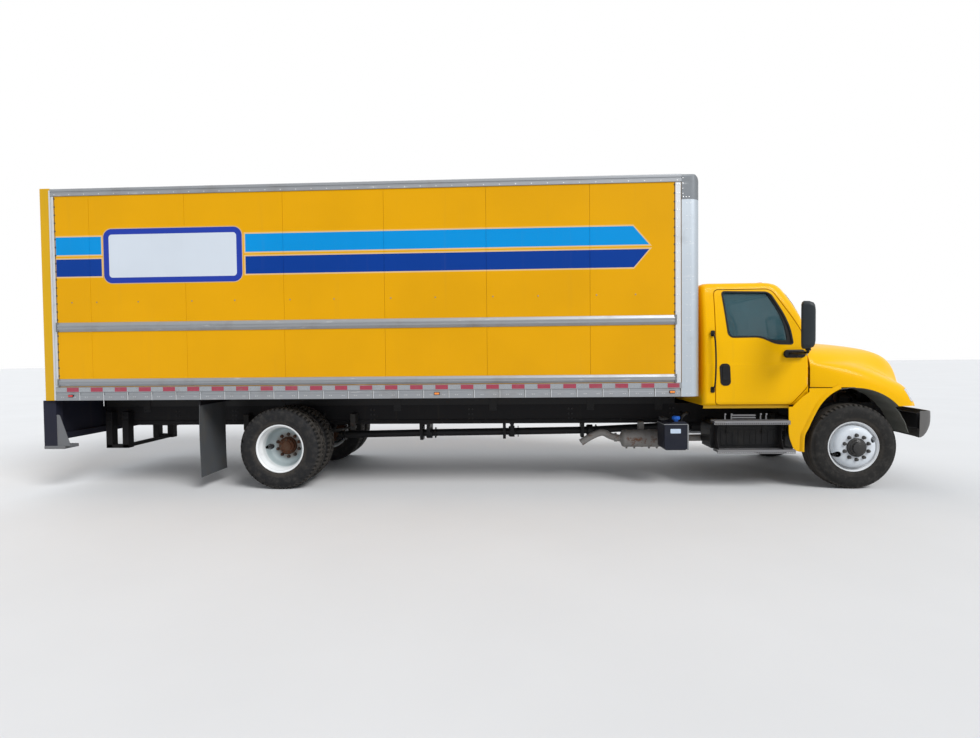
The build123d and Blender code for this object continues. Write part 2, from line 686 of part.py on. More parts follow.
def roll_door():
    """Sectional roll-up door, closed, with its curtain of horizontal slats."""
    width = BOX_HALF_WIDTH + RAIL_PROUD - REAR_POST_WIDTH - SEAT_GAP
    low, high = FLOOR_TOP_Z + SEAT_GAP, BOX_TOP_Z - HEADER_HEIGHT - SEAT_GAP
    x0 = BOX_X[0] + 45
    panel = (high - low) / DOOR_PANEL_COUNT
    door = slab((x0, x0 + 18), (-width, width), (low, high))
    for i in range(DOOR_PANEL_COUNT):
        door += slab((x0 - 8, x0), (-width, width), (low + i * panel + 6, low + (i + 1) * panel - 6))
    return door


REAR_POST_X = (-LENGTH / 2, -LENGTH / 2 + 168)
REAR_POST_LOW_Z = 545.0


REAR_BEAM_Z = (620.0, 700.0)
RAMP_SLOT = ((-352.0, 352.0), (970.0, 1078.0))
HITCH_WINDOW = ((-150.0, 150.0), (735.0, 945.0))
HANGER_X = (255.0, 485.0)
HANGER_REACH = 540.0
HANGER_LOW_Z = 410.0
HANGER_WIDTH = 90.0


def rear_bumper():
    """Corner posts with step feet and gussets, the cross beam, the slotted apron and the hung bar."""
    x0, x1 = REAR_POST_X
    outer, inner = BOX_HALF_WIDTH - 20, BOX_HALF_WIDTH - 130
    foot_z = REAR_POST_LOW_Z
    post = slab((x0, x1), (inner, outer), (foot_z, BOX_BOTTOM_Z))
    foot = slab((x0, x1 + 100), (inner - 120, outer), (foot_z - 26, foot_z + 14))
    gusset = prism_y(sharp([(x1 - 4, foot_z + 10), (x1 + 165, foot_z + 10), (x1 + 30, foot_z + 400),
                            (x1 - 4, foot_z + 400)]), outer - 24, outer - 12)
    left = post + foot + gusset
    beam = slab((x0 + 30, x0 + 130), (-inner - 5, inner + 5), REAR_BEAM_Z)
    apron_x = BOX_X[0] + 8
    apron = slab((apron_x, apron_x + 10), (-inner - 5, inner + 5), (REAR_BEAM_Z[0] + 5, BOX_BOTTOM_Z))
    apron -= slab((apron_x - 5, apron_x + 15), *RAMP_SLOT)
    apron -= slab((apron_x - 5, apron_x + 15), *HITCH_WINDOW)
    near = FRAME_HALF_WIDTH + SEAT_GAP
    hung = None
    for x in HANGER_X:
        hanger = slab((x - LENGTH / 2, x - LENGTH / 2 + HANGER_WIDTH), (near, HANGER_REACH),
                      (HANGER_LOW_Z, RAIL_TOP_Z - 60))
        hung = hanger if hung is None else hung + hanger
    hung += slab((HANGER_X[0] - LENGTH / 2, HANGER_X[1] - LENGTH / 2 + HANGER_WIDTH),
                 (HANGER_REACH - 60, HANGER_REACH), (HANGER_LOW_Z, HANGER_LOW_Z + 50))
    bar = slab((HANGER_X[1] - LENGTH / 2, HANGER_X[1] - LENGTH / 2 + 50), (5 - HANGER_REACH, HANGER_REACH - 5),
               (HANGER_LOW_Z, HANGER_LOW_Z + 50))
    return group(left + mirrored(left) + beam + apron, hung + mirrored(hung) + bar)


FLAP_X = -7880.0


def mud_flaps():
    """Rubber flap behind each pair of rear tyres, on its hanger bar."""
    x = ahead(FLAP_X)
    outer = BOX_HALF_WIDTH - 25
    flap = slab((x - 6, x + 6), (outer - 605, outer), (160, 1060))
    arm = slab((x - 22, x + 22), (SILL_INNER + SILL_WIDTH + SEAT_GAP, outer), (1060, 1110))
    return both_sides(flap + arm)


SIDE_LAMPS = (-9480.0, -4940.0, -2160.0)


def lamps():
    """Tail, clearance and side marker lamps."""
    pieces = []
    x = BOX_X[0]
    for y in (BOX_HALF_WIDTH - 195, BOX_HALF_WIDTH - 55):
        lamp = rod((x - 12, y, BOX_BOTTOM_Z + 70), (x, y, BOX_BOTTOM_Z + 70), 52)
        pieces.append(lamp)
    corner = (BOX_HALF_WIDTH - 80, BOX_HALF_WIDTH - 20)
    pieces.append(slab((x - 14, x), corner, (BOX_TOP_Z - 60, BOX_TOP_Z - 20)))
    pieces.append(slab((x - 14, x), (140, 240), (BOX_TOP_Z - 60, BOX_TOP_Z - 20)))
    face = BOX_HALF_WIDTH + RAIL_PROUD
    for a in SIDE_LAMPS:
        lamp_z = (BOX_BOTTOM_Z + 35, BOX_BOTTOM_Z + 78)
        pieces.append(slab((ahead(a) - 50, ahead(a) + 50), (face, face + 13), lamp_z))
    return both_sides(*pieces)


# Cab


CAB_SECTIONS = (
    # z, half width, front ahead of axle, back drawn in, front corner, back corner, z drawn in
    (CAB_BELT_Z, CAB_HALF_WIDTH, CAB_FRONT, 0.0, 90.0, 60.0, 0.0),
    (CAB_MIDDLE_Z, CAB_MIDDLE_HALF_WIDTH, -540.0, 0.0, 150.0, 60.0, 0.0),
    (CAB_EAVE_Z, CAB_ROOF_HALF_WIDTH, -735.0, 10.0, 200.0, 60.0, 1.0),
    (CAB_EAVE_Z + 52.0, CAB_ROOF_HALF_WIDTH - 25.0, -764.0, 32.0, 190.0, 60.0, 1.0),
    (CAB_ROOF_Z, CAB_ROOF_HALF_WIDTH - 90.0, -835.0, 90.0, 160.0, 60.0, 1.0),
)


def cab_volume(inset):
    """The cab's outer form, drawn in by inset on every side but the floor."""
    def plan(z, half, front, back_in, front_corner, back_corner):
        x0, x1 = ahead(CAB_BACK) + inset + back_in, ahead(front) - inset
        half -= inset
        return Pos(0, 0, z) * outline([(x0, -half, back_corner), (x1, -half, front_corner),
                                       (x1, half, front_corner), (x0, half, back_corner)])
    low = CAB_BOTTOM_Z + inset
    volume = extrude(plan(low, CAB_HALF_WIDTH, CAB_FRONT, 0.0, 30.0, 60.0), amount=CAB_BELT_Z - low)
    faces = []
    for z, half, front, back_in, front_corner, back_corner, z_share in CAB_SECTIONS:
        faces.append(plan(z - inset * z_share, half, front, back_in, front_corner - inset, back_corner))
    for lower, upper in zip(faces, faces[1:]):
        volume += loft([lower, upper], ruled=True)
    return volume


DOOR_OUTLINE = [
    (-1590, 1012, 40), (-706, 1012, 30), (-512, 1228, 30), (-512, 1750, 60), (-640, 1990, 300),
    (-905, 2398, 90), (-1590, 2398, 50),
]
WINDOW_OUTLINE = [
    (-1500, 1846, 40), (-1075, 1828, 60), (-985, 1740, 60), (-700, 1736, 40), (-740, 1990, 200),
    (-962, 2350, 60), (-1500, 2362, 40),
]
WINDSHIELD_OUTLINE = [(-960, 1812, 60), (960, 1812, 60), (880, 2360, 80), (-880, 2360, 80)]
BACK_WINDOW = [(-560, 1860, 60), (560, 1860, 60), (560, 2260, 60), (-560, 2260, 60)]


def shifted(corners, grow):
    """An outline of (ahead of axle, z, radius) corners moved into the row frame and grown."""
    cx = sum(a for a, _, _ in corners) / len(corners)
    cz = sum(b for _, b, _ in corners) / len(corners)
    moved = []
    for a, b, r in corners:
        moved.append((ahead(a) + grow * (1 if a > cx else -1), b + grow * (1 if b > cz else -1), r))
    return moved


def side_layer(depth):
    """All that lies outside the cab's left side drawn in by depth."""
    low, high, reach = CAB_BOTTOM_Z - 50, CAB_EAVE_Z + 50, CAB_HALF_WIDTH + 50
    return prism_x(sharp([
        (reach, low), (reach, high), (CAB_ROOF_HALF_WIDTH - depth, high),
        (CAB_ROOF_HALF_WIDTH - depth, CAB_EAVE_Z),
        (CAB_MIDDLE_HALF_WIDTH - depth, CAB_MIDDLE_Z), (CAB_HALF_WIDTH - depth, CAB_BELT_Z),
        (CAB_HALF_WIDTH - depth, low),
    ]), ahead(CAB_BACK) - 50, ahead(CAB_FRONT) + 50)


def door_hinge_parts():
    """The left door's two hinge ears with their pins, and what they need cut out of the door."""
    ears, cuts = [], []
    x, y = ahead(DOOR_HINGE), DOOR_HINGE_Y
    for z in DOOR_HINGE_Z:
        ear = Pos(x, y, z) * Cylinder(HINGE_RADIUS, HINGE_HEIGHT)
        ear += slab((x, x + 20), (y - HINGE_RADIUS, y - 2), (z - HINGE_HEIGHT / 2, z + HINGE_HEIGHT / 2))
        ear += Pos(x, y, z) * Cylinder(HINGE_PIN_RADIUS, HINGE_HEIGHT + 40)
        cut = Pos(x, y, z) * Cylinder(HINGE_POCKET_RADIUS, HINGE_HEIGHT + 6)
        cut += Pos(x, y, z) * Cylinder(HINGE_PIN_RADIUS + HINGE_CLEARANCE, HINGE_HEIGHT + 44)
        ears.append(ear)
        cuts.append(cut)
    return ears, cuts


def cab_parts():
    """Cab shell, its glass and both doors, cut from one hollow form."""
    outer = cab_volume(0)
    inner = cab_volume(CAB_SKIN)
    shell = outer - inner
    reach = CAB_HALF_WIDTH + 50
    hole = prism_y(shifted(DOOR_OUTLINE, DOOR_GAP), 600, reach) & side_layer(DOOR_DEPTH + 2 * DOOR_GAP)
    back, top, corner = DOOR_OUTLINE[-1]
    panel = prism_y(shifted(DOOR_OUTLINE[:-1] + [(back + DOOR_LEAN, top, corner)], 0), 600, reach)
    panel = panel & side_layer(DOOR_DEPTH)
    pane = prism_y(shifted(WINDOW_OUTLINE, 0), 600, reach)
    windshield = prism_x([(y, z, r) for y, z, r in WINDSHIELD_OUTLINE], ahead(-1100), ahead(-300))
    back_window = prism_x(BACK_WINDOW, ahead(CAB_BACK) - 20, ahead(CAB_BACK) + 200)
    layer = cab_volume(18) - cab_volume(18 + GLASS_THICKNESS)
    full_shell = shell
    shell = shell - hole - mirrored(hole) - windshield - back_window
    door = (full_shell & panel) - pane
    door_glass = layer & pane
    ears, cuts = door_hinge_parts()
    for ear, cut in zip(ears, cuts):
        shell = shell + ear + mirrored(ear)
        door = door - cut
    glass = group(layer & windshield, layer & back_window)
    return shell, glass, door, door_glass


def cab_seats():
    """Driver's seat and a two-place bench."""
    def seat(y0, y1):
        cushion = prism_y([(ahead(-1530), 1330, 0), (ahead(-1000), 1350, 40), (ahead(-1000), 1450, 40),
                           (ahead(-1530), 1430, 0)], y0, y1)
        back = prism_y([(ahead(-1600), 1340, 0), (ahead(-1480), 1340, 0), (ahead(-1540), 2050, 45),
                        (ahead(-1640), 2050, 45)], y0 + 8, y1 - 8)
        base = slab((ahead(-1440), ahead(-1060)), (y0 + 60, y1 - 60), (CAB_BOTTOM_Z + CAB_SKIN, 1380))
        return cushion + back + base
    return group(seat(280, 820), seat(-860, 120))


def dashboard():
    """Instrument panel with the column and the steering wheel."""
    front = ahead(CAB_FRONT) - CAB_SKIN - SEAT_GAP
    panel = prism_y([(front, 1300, 0), (front, 1740, 0), (ahead(-700), 1740, 60),
                     (ahead(-860), 1620, 60), (ahead(-830), 1420, 60), (ahead(-700), 1300, 40)], -1030, 1030)
    y = 550
    hub = Vector(ahead(-1010), y, 1640)
    lean = Vector(-0.62, 0, 0.78)
    column = rod((ahead(-820), y, 1405), tuple(hub), 32)
    plane = Plane(origin=hub, z_dir=lean)
    rim = plane * Torus(215, 15)
    boss = plane * Cylinder(60, 30)
    spokes = plane * Box(415, 36, 12)
    return panel + column + boss + spokes + rim


# Hood


def hood_section(x, half, shoulder, z_shoulder, z_top, z_base, corner):
    """One cross-section of the hood's centre body, in the plane at X."""
    face = Plane.YZ * outline([
        (-half, z_base, 0), (half, z_base, 0), (shoulder, z_shoulder, corner),
        (0.55 * shoulder, z_top, 0.6 * corner), (-0.55 * shoulder, z_top, 0.6 * corner),
        (-shoulder, z_shoulder, corner),
    ])
    return Pos(x, 0, 0) * face


HOOD_SECTIONS = (
    # ahead of axle, half width at base, half width at shoulder, shoulder z, top z, corner
    (-484.0, 1096.0, 1020.0, 1665.0, 1772.0, 90.0),
    (150.0, 960.0, 870.0, 1610.0, 1722.0, 90.0),
    (640.0, 660.0, 590.0, 1500.0, 1590.0, 80.0),
    (860.0, 535.0, 485.0, 1400.0, 1490.0, 70.0),
    (940.0, 480.0, 430.0, 1290.0, 1385.0, 50.0),
)
FENDER_SECTIONS = (
    # ahead of axle, half width, crown z, corner
    (-484.0, 1098.0, 1500.0, 60.0),
    (-250.0, 1138.0, 1498.0, 110.0),
    (50.0, 1170.0, 1478.0, 140.0),
    (330.0, 1168.0, 1395.0, 150.0),
    (560.0, 1145.0, 1288.0, 130.0),
    (700.0, 1085.0, 1205.0, 110.0),
    (770.0, 1000.0, 1110.0, 80.0),
    (790.0, 940.0, 1040.0, 40.0),
)
HOOD_BASE_Z = 955.0
FENDER_EDGE_Z = 1213.0


def drawn_in_x(table, a, inset):
    """X of a section at a, drawn in by inset at the front and run through at the back."""
    x = ahead(a)
    if a == table[-1][0]:
        x -= inset * 1.5
    if a == table[0][0] and inset:
        x -= 20
    return x


def fender_volume(inset):
    """Both fenders as one crowned form, drawn in by inset."""
    base = HOOD_BASE_Z - (80 if inset else 0)
    sections = []
    for a, half, crown, corner in FENDER_SECTIONS:
        face = Plane.YZ * outline([
            (inset - half, base, 0), (half - inset, base, 0), (half - inset, crown - inset, corner - inset),
            (inset - half, crown - inset, corner - inset),
        ])
        sections.append(Pos(drawn_in_x(FENDER_SECTIONS, a, inset), 0, 0) * face)
    return loft(sections, ruled=True)


def hood_volume(inset):
    """The hood's outer form, drawn in by inset, and open below when inset is not zero."""
    base = HOOD_BASE_Z - (80 if inset else 0)
    sections = []
    for a, half, shoulder, z_shoulder, z_top, corner in HOOD_SECTIONS:
        sections.append(hood_section(drawn_in_x(HOOD_SECTIONS, a, inset), half - inset, shoulder - inset,
                                     z_shoulder - inset, z_top - inset, base, corner))
    return loft(sections, ruled=True) + fender_volume(inset)


LAMP_X = (660.0, 800.0)
LAMP_Y = (640.0, 1180.0)
LAMP_Z = (1035.0, 1165.0)


def headlamp_pocket(grow):
    """Left box that bounds the lamp unit, grown on its sides and back."""
    return slab((ahead(LAMP_X[0]) - grow, ahead(LAMP_X[1])), (LAMP_Y[0] - grow, LAMP_Y[1]),
                (LAMP_Z[0] - grow, LAMP_Z[1] + grow))


def hood():
    """Tilting hood with its fenders, hollow below, with wheel arches and a grille mouth."""
    shell = hood_volume(0) - hood_volume(HOOD_SKIN)
    arch = Pos(FRONT_AXLE_X, 0, AXLE_Z) * Rotation(90, 0, 0) * Cylinder(ARCH_RADIUS, 3 * FENDER_HALF_WIDTH)
    keep = slab((ahead(-800), ahead(1200)), (-700, 700), (500, 2000))
    shell -= arch - keep
    shell -= slab((ahead(-800), ahead(0)), (-1300, 1300), (400, FENDER_EDGE_Z))
    shell -= slab((ahead(-100), ahead(560)), (-700, 700), (400, FENDER_EDGE_Z))
    shell -= slab((ahead(400), ahead(1200)), (-1300, 1300), (400, HOOD_BASE_Z - 2))
    mouth = prism_x(GRILLE_OUTLINE, ahead(700), ahead(1100))
    shell = shell - mouth - headlamp_pocket(1) - mirrored(headlamp_pocket(1))
    x, z = ahead(HOOD_HINGE), HOOD_HINGE_Z
    y0, y1 = HOOD_LUG_Y
    for side in (1, -1):
        lug = rod((x, side * y0, z), (x, side * y1, z), HOOD_LUG_RADIUS)
        lug += slab((x - 6, x + 12), sorted((side * y0, side * y1)), (z + 8, HOOD_BASE_Z + 20))
        bore = rod((x, side * (y0 - 5), z), (x, side * (y1 + 5), z), HOOD_PIN_RADIUS + HINGE_CLEARANCE)
        shell = shell + (lug - bore)
    return shell


HOOD_LUG_Y = (452.0, 488.0)
GRILLE_OUTLINE = [(-395, 985, 30), (395, 985, 30), (330, 1320, 60), (-330, 1320, 60)]
GRILLE_X = 925.0


def grille():
    """Frame and bars set in the hood's mouth."""
    x = ahead(GRILLE_X)

    def drawn_in(gap):
        return [(y + (gap if y < 0 else -gap), z + (gap if z < 1100 else -gap), r)
                for y, z, r in GRILLE_OUTLINE]
    ring = prism_x(drawn_in(SEAT_GAP), x - 13, x + 13)
    piece = ring - prism_x(drawn_in(28), x - 20, x + 20)
    for i in range(5):
        z = 1040 + i * 52
        piece += slab((x - 9, x + 9), (-400, 400), (z, z + 22)) & ring
    return piece


BUMPER_LOW_Z = 600.0
BUMPER_HIGH_Z = 922.0


def front_bumper():
    """Swept bumper bar with a return along the top and bottom, on two frame brackets."""
    outer = [(1016, 0, 0), (1000, 500, 260), (760, 900, 300), (625, 1100, 0)]
    thick, lip = 8, 60

    def band(depth):
        left = [(ahead(a), y, r) for a, y, r in outer]
        right = [(ahead(a), -y, r) for a, y, r in outer[1:]]
        inner_left = [(x - depth, y - (0 if i == 0 else 3), r) for i, (x, y, r) in enumerate(left)]
        inner_right = [(x - depth, y + 3, r) for x, y, r in right]
        return left + inner_left[::-1] + inner_right + right[::-1]
    bar = prism_z(band(thick), BUMPER_LOW_Z, BUMPER_HIGH_Z)
    bar += prism_z(band(lip), BUMPER_HIGH_Z - thick, BUMPER_HIGH_Z)
    bar += prism_z(band(lip), BUMPER_LOW_Z, BUMPER_LOW_Z + thick)
    for side in (1, -1):
        near, far = side * (FRAME_HALF_WIDTH + SEAT_GAP), side * (FRAME_HALF_WIDTH + 16)
        y = sorted((near, far))
        bar += slab((ahead(690), ahead(1005)), y, (RAIL_BOTTOM_Z + 20, RAIL_TOP_Z - 70))
        x, z = ahead(HOOD_HINGE), HOOD_HINGE_Z
        bar += slab((x - 13, x + 10), y, (RAIL_TOP_Z - 80, z))
        bar += rod((x, near, z), (x, far, z), HOOD_LUG_RADIUS - 2)
        bar += rod((x, near, z), (x, side * (HOOD_LUG_Y[1] + 4), z), HOOD_PIN_RADIUS)
    return bar


SPLASH_EDGE = [
    (-167, 1200), (-279, 1135), (-391, 1021), (-477, 867),
    (-535, 739), (-582, 640), (-588, 500), (-588, 450),
]


def splash_panels():
    """Panels behind the front wheels: a skin outside and a liner that bends in over the tyre."""
    skin_edge = [(ahead(a), z, 0) for a, z in SPLASH_EDGE]
    skin = prism_y(skin_edge + [(ahead(-690), 450, 60), (ahead(-757), 640, 60), (ahead(-757), 985, 0),
                                (ahead(-712), 985, 0), (ahead(-690), 1012, 0), (ahead(-600), 1100, 0),
                                (ahead(-518), 1160, 0), (ahead(-518), 1200, 0)], 1140, 1152)
    back = [(ahead(a - 8), z + (0 if i == 0 else -4), 0) for i, (a, z) in enumerate(SPLASH_EDGE)]
    liner = prism_y(skin_edge + back[::-1], 720, 1146)
    tie = slab((ahead(-600), ahead(-498)), (FRAME_HALF_WIDTH + SEAT_GAP, 724), (790, 830))
    return both_sides(skin + liner + tie)


STEP_FRONT, STEP_BACK = -765.0, -1650.0
STEP_Z = (470.0, 815.0)
STEP_OUTER, STEP_INNER = 1215.0, 1075.0


def step_treads():
    """Two treads on upright plates, for one side."""
    treads = None
    for z in STEP_Z:
        tread = slab((ahead(STEP_BACK), ahead(STEP_FRONT)), (STEP_INNER, STEP_OUTER), (z - 15, z + 15))
        treads = tread if treads is None else treads + tread
    for a in (STEP_BACK + 60, STEP_FRONT - 70):
        across = (STEP_INNER - 20, STEP_OUTER - 30)
        treads += slab((ahead(a), ahead(a + 10)), across, (STEP_Z[0] - 10, STEP_Z[1]))
    return treads


def battery_box():
    """Battery box on the right rail, with its steps."""
    box = slab((ahead(-1640), ahead(-820)), (700, 1060), (505, 785))
    arms = slab((ahead(-1500), ahead(-1430)), (FRAME_HALF_WIDTH + SEAT_GAP, 705), (720, 780))
    arms += slab((ahead(-1010), ahead(-940)), (FRAME_HALF_WIDTH + SEAT_GAP, 705), (720, 780))
    return mirrored(box + arms + step_treads())


def vessel(start, end, radius, corner):
    """A round tank with rounded rims."""
    tank = rod(start, end, radius)
    return fillet(tank.edges().filter_by(GeomType.CIRCLE), corner)


def fuel_tank():
    """Round fuel tank on the left rail, with its steps, straps and filler."""
    z, y, radius = 660.0, 790.0, 270.0
    tank = vessel((ahead(-1690), y, z), (ahead(-760), y, z), radius, 30)
    for a in (-1560, -960):
        tank += Pos(ahead(a), y, z) * Rotation(0, 90, 0) * Cylinder(radius + 8, 60)
        tank += slab((ahead(a) - 30, ahead(a) + 30), (FRAME_HALF_WIDTH + SEAT_GAP, y), (740, 800))
    tank += Pos(ahead(-1240), y + 150, z + 235) * Cylinder(50, 70)
    return tank + step_treads()


def def_tank():
    """Exhaust-fluid tank on the right, behind the steps."""
    x0, x1 = ahead(-2210), ahead(-1930)
    tank = prism_y([(x0, 460, 40), (x1, 460, 40), (x1, 822, 30), (x0, 822, 30)], 800, 1120)
    cap = Pos(ahead(-2010), 1040, 840) * Cylinder(34, 60)
    arm = slab((ahead(-2100), ahead(-2040)), (FRAME_HALF_WIDTH + SEAT_GAP, 810), (760, 800))
    return mirrored(tank + cap + arm)


def exhaust():
    """After-treatment canister with its tailpipe and inlet, on the right."""
    y, z = 610.0, 535.0
    canister = vessel((ahead(-2640), y, z), (ahead(-2090), y, z), 115, 25)
    inlet = rod((ahead(-2100), y, z), (ahead(-1250), y - 60, z), 48)
    rise = rod((ahead(-2630), y, z), (ahead(-2880), 690, 630), 48)
    tail = rod((ahead(-2880), 690, 630), (ahead(-3160), 700, 490), 48)
    elbow = Pos(ahead(-2880), 690, 630) * Sphere(48)
    arm = slab((ahead(-2380), ahead(-2320)), (FRAME_HALF_WIDTH + SEAT_GAP, 640), (600, 740))
    return mirrored(canister + inlet + rise + elbow + tail + arm)


def air_tanks():
    """Two compressed-air tanks on the left rail."""
    tanks = []
    for a in (-2150.0, -3150.0):
        y, z = 600.0, 800.0
        tank = vessel((ahead(a - 760), y, z), (ahead(a), y, z), 120, 60)
        tank += slab((ahead(a - 560), ahead(a - 520)), (FRAME_HALF_WIDTH + SEAT_GAP, y), (z - 30, z + 30))
        tank += slab((ahead(a - 220), ahead(a - 180)), (FRAME_HALF_WIDTH + SEAT_GAP, y), (z - 30, z + 30))
        tanks.append(tank)
    return group(*tanks)


def ramp():
    """Walk ramp stowed between the sills, with the cradle straps that carry it."""
    back, front = BOX_X[0] + 30, BOX_X[0] + 3930
    low, high = RAIL_TOP_Z + 12, RAIL_TOP_Z + 92
    tread = slab((back, front), (-330, 330), (high - 12, high))
    for side in (1, -1):
        y0, y1 = sorted((side * 290, side * 330))
        tread += slab((back, front), (y0, y1), (low, high))
    for x in (back + 500, back + 1500, front - 900):
        tread += slab((x, x + 60), (-SILL_INNER + SEAT_GAP, SILL_INNER - SEAT_GAP), (low - 11, low + 4))
    return tread


def mirror_and_arms():
    """Left mirror head with the two arms that hold it to the door."""
    head = prism_z([(ahead(-790), 1330, 30), (ahead(-660), 1330, 40), (ahead(-660), 1530, 40),
                    (ahead(-790), 1530, 30)], 1700, 2220)
    base = slab((ahead(-830), ahead(-590)), (CAB_HALF_WIDTH + SEAT_GAP, CAB_HALF_WIDTH + 14), (1596, 1644))
    low = rod((ahead(-710), CAB_HALF_WIDTH + 8, 1620), (ahead(-710), 1430, 1640), 14)
    up = rod((ahead(-710), 1430, 1640), (ahead(-710), 1430, 1710), 14)
    return head + base + low + up


def headlamps():
    """Headlamp units that fill their pockets out to the fenders' own face."""
    return both_sides(fender_volume(0) & headlamp_pocket(0))


def roof_lamps():
    """Clearance lamps along the front of the roof."""
    lamps_row = [slab((ahead(-960), ahead(-880)), (y - 60, y + 60), (CAB_ROOF_Z + SEAT_GAP, CAB_ROOF_Z + 28))
                 for y in (-700, -180, 0, 180, 700)]
    return group(*lamps_row)


def build():
    """Every node of the truck by name."""
    parts = {}
    parts.update(wheels())
    parts["front_axle"] = front_axle()
    parts["knuckle_left"] = knuckle()
    parts["knuckle_right"] = mirrored(knuckle())
    parts["tie_rod"] = tie_rod()
    parts["rear_axle"] = rear_axle()
    parts["springs"] = group(leaf_springs(), spring_hangers())
    parts["frame_rails"] = frame_rails()
    parts["frame_crossmembers"] = frame_crossmembers()
    parts["body_sills"] = body_sills()
    parts["front_bumper"] = front_bumper()
    parts["splash_panels"] = splash_panels()
    parts["battery_box"] = battery_box()
    parts["fuel_tank"] = fuel_tank()
    parts["def_tank"] = def_tank()
    parts["exhaust"] = exhaust()
    parts["air_tanks"] = air_tanks()
    parts["ramp"] = ramp()
    parts["mirror_left"] = mirror_and_arms()
    parts["mirror_right"] = mirrored(mirror_and_arms())
    parts["headlamps"] = headlamps()
    parts["engine"] = engine()
    parts["driveline"] = transmission() + driveshaft()
    parts["radiator"] = radiator()
    parts["box_floor"] = box_floor()
    parts["box_sides"] = both_sides(box_side())
    parts["side_rails"] = side_rails()
    parts["box_front"] = box_front()
    parts["box_roof"] = box_roof()
    parts["rear_frame"] = rear_frame()
    parts["roll_door"] = roll_door()
    parts["rear_bumper"] = rear_bumper()
    parts["mud_flaps"] = mud_flaps()
    parts["marker_lamps"] = group(lamps(), roof_lamps())
    shell, glass, door, door_glass = cab_parts()
    parts["cab_shell"] = shell
    parts["cab_glass"] = glass
    parts["door_left"] = door
    parts["door_right"] = mirrored(door)
    parts["door_glass_left"] = door_glass
    parts["door_glass_right"] = mirrored(door_glass)
    parts["cab_seats"] = cab_seats()
    parts["dashboard"] = dashboard()
    parts["hood"] = hood()
    parts["grille"] = grille()
    return parts


def main():
    """Write one STEP file for each node."""
    os.makedirs("parts", exist_ok=True)
    for name, shape in build().items():
        export_step(shape, f"parts/{name}.step")


main()
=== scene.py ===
"""Looks of a conventional-cab box truck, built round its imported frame.

Everything is in metres in the frame's own axes: +X ahead, +Y to the truck's left, +Z up, with
the origin on the ground midway between the bumpers.  Places along the truck are given by
ahead(d), the distance ahead of the front axle.  Each sub-assembly is a class that builds its
meshes, dresses them with finishes and lets them ride on the frame's bodies.
"""

from __future__ import annotations

import json
import logging
import math
from dataclasses import dataclass, field
from enum import Enum
from typing import Callable, Iterable, Optional, Sequence, Union

import bmesh
import bpy
from mathutils import Matrix, Vector

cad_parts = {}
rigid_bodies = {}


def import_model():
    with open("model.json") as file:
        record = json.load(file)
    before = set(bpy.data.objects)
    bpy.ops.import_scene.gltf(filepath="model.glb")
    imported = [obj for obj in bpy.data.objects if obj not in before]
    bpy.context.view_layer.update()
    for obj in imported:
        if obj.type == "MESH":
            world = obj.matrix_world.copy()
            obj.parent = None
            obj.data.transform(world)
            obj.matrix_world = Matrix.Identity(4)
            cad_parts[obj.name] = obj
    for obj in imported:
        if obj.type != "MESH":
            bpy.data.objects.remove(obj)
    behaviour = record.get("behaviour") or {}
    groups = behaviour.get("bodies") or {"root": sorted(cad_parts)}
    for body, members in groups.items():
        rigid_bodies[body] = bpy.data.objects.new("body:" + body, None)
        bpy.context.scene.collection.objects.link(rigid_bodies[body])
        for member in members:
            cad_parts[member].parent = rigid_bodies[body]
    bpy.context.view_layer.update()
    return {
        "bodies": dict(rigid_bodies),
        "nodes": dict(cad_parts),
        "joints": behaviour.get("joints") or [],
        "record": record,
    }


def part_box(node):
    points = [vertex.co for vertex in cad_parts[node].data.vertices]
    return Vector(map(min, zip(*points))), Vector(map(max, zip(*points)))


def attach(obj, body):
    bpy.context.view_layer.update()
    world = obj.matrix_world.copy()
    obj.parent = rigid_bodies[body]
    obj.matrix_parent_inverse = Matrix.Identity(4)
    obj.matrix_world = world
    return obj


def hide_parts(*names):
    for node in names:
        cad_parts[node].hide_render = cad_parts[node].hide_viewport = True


log = logging.getLogger("box_truck")

Point = tuple[float, float, float]
Flat = tuple[float, float]
Colour = tuple[float, float, float]
Number = Union[float, int, "Value"]

FRONT_AXLE_X = 4.4295
REAR_AXLE_X = -2.4795
AXLE_Z = 0.506
# The truck's lengthwise direction.
ALONG = (1.0, 0.0, 0.0)
# Half a millimetre off a frame rail's outer face, where fittings are bolted.
RAIL_SIDE = 0.4325


def ahead(distance: float) -> float:
    """X of a place this many metres ahead of the front axle."""
    return FRONT_AXLE_X + distance


def span(sign: int, near: float, far: float) -> Flat:
    """Low and high Y of a reach across one side, from its distances to the truck's middle."""
    low, high = sorted((sign * near, sign * far))
    return low, high


def rect(a: Flat, b: Flat, *radii: float) -> list[tuple[float, float, float]]:
    """Corners of an upright rectangle as an outline for Shape.prism.

    Args:
        a: its low and high mark along the outline's first axis.
        b: the same along the second axis.
        radii: none, one for all corners, or four from the low corner onwards.

    Returns:
        The four corners.
    """
    rounds = radii * 4 if len(radii) == 1 else radii or (0.0,) * 4
    marks = ((a[0], b[0]), (a[1], b[0]), (a[1], b[1]), (a[0], b[1]))
    return [(x, y, r) for (x, y), r in zip(marks, rounds)]


class Side(Enum):
    """The two sides of the truck, with the sign of their Y."""

    LEFT = 1
    RIGHT = -1

    @property
    def word(self) -> str:
        """The side's name as the nodes and bodies spell it."""
        return self.name.lower()


class Body(Enum):
    """Bodies that pieces ride on."""

    CHASSIS = "chassis"
    HOOD = "hood"


# Shader maths


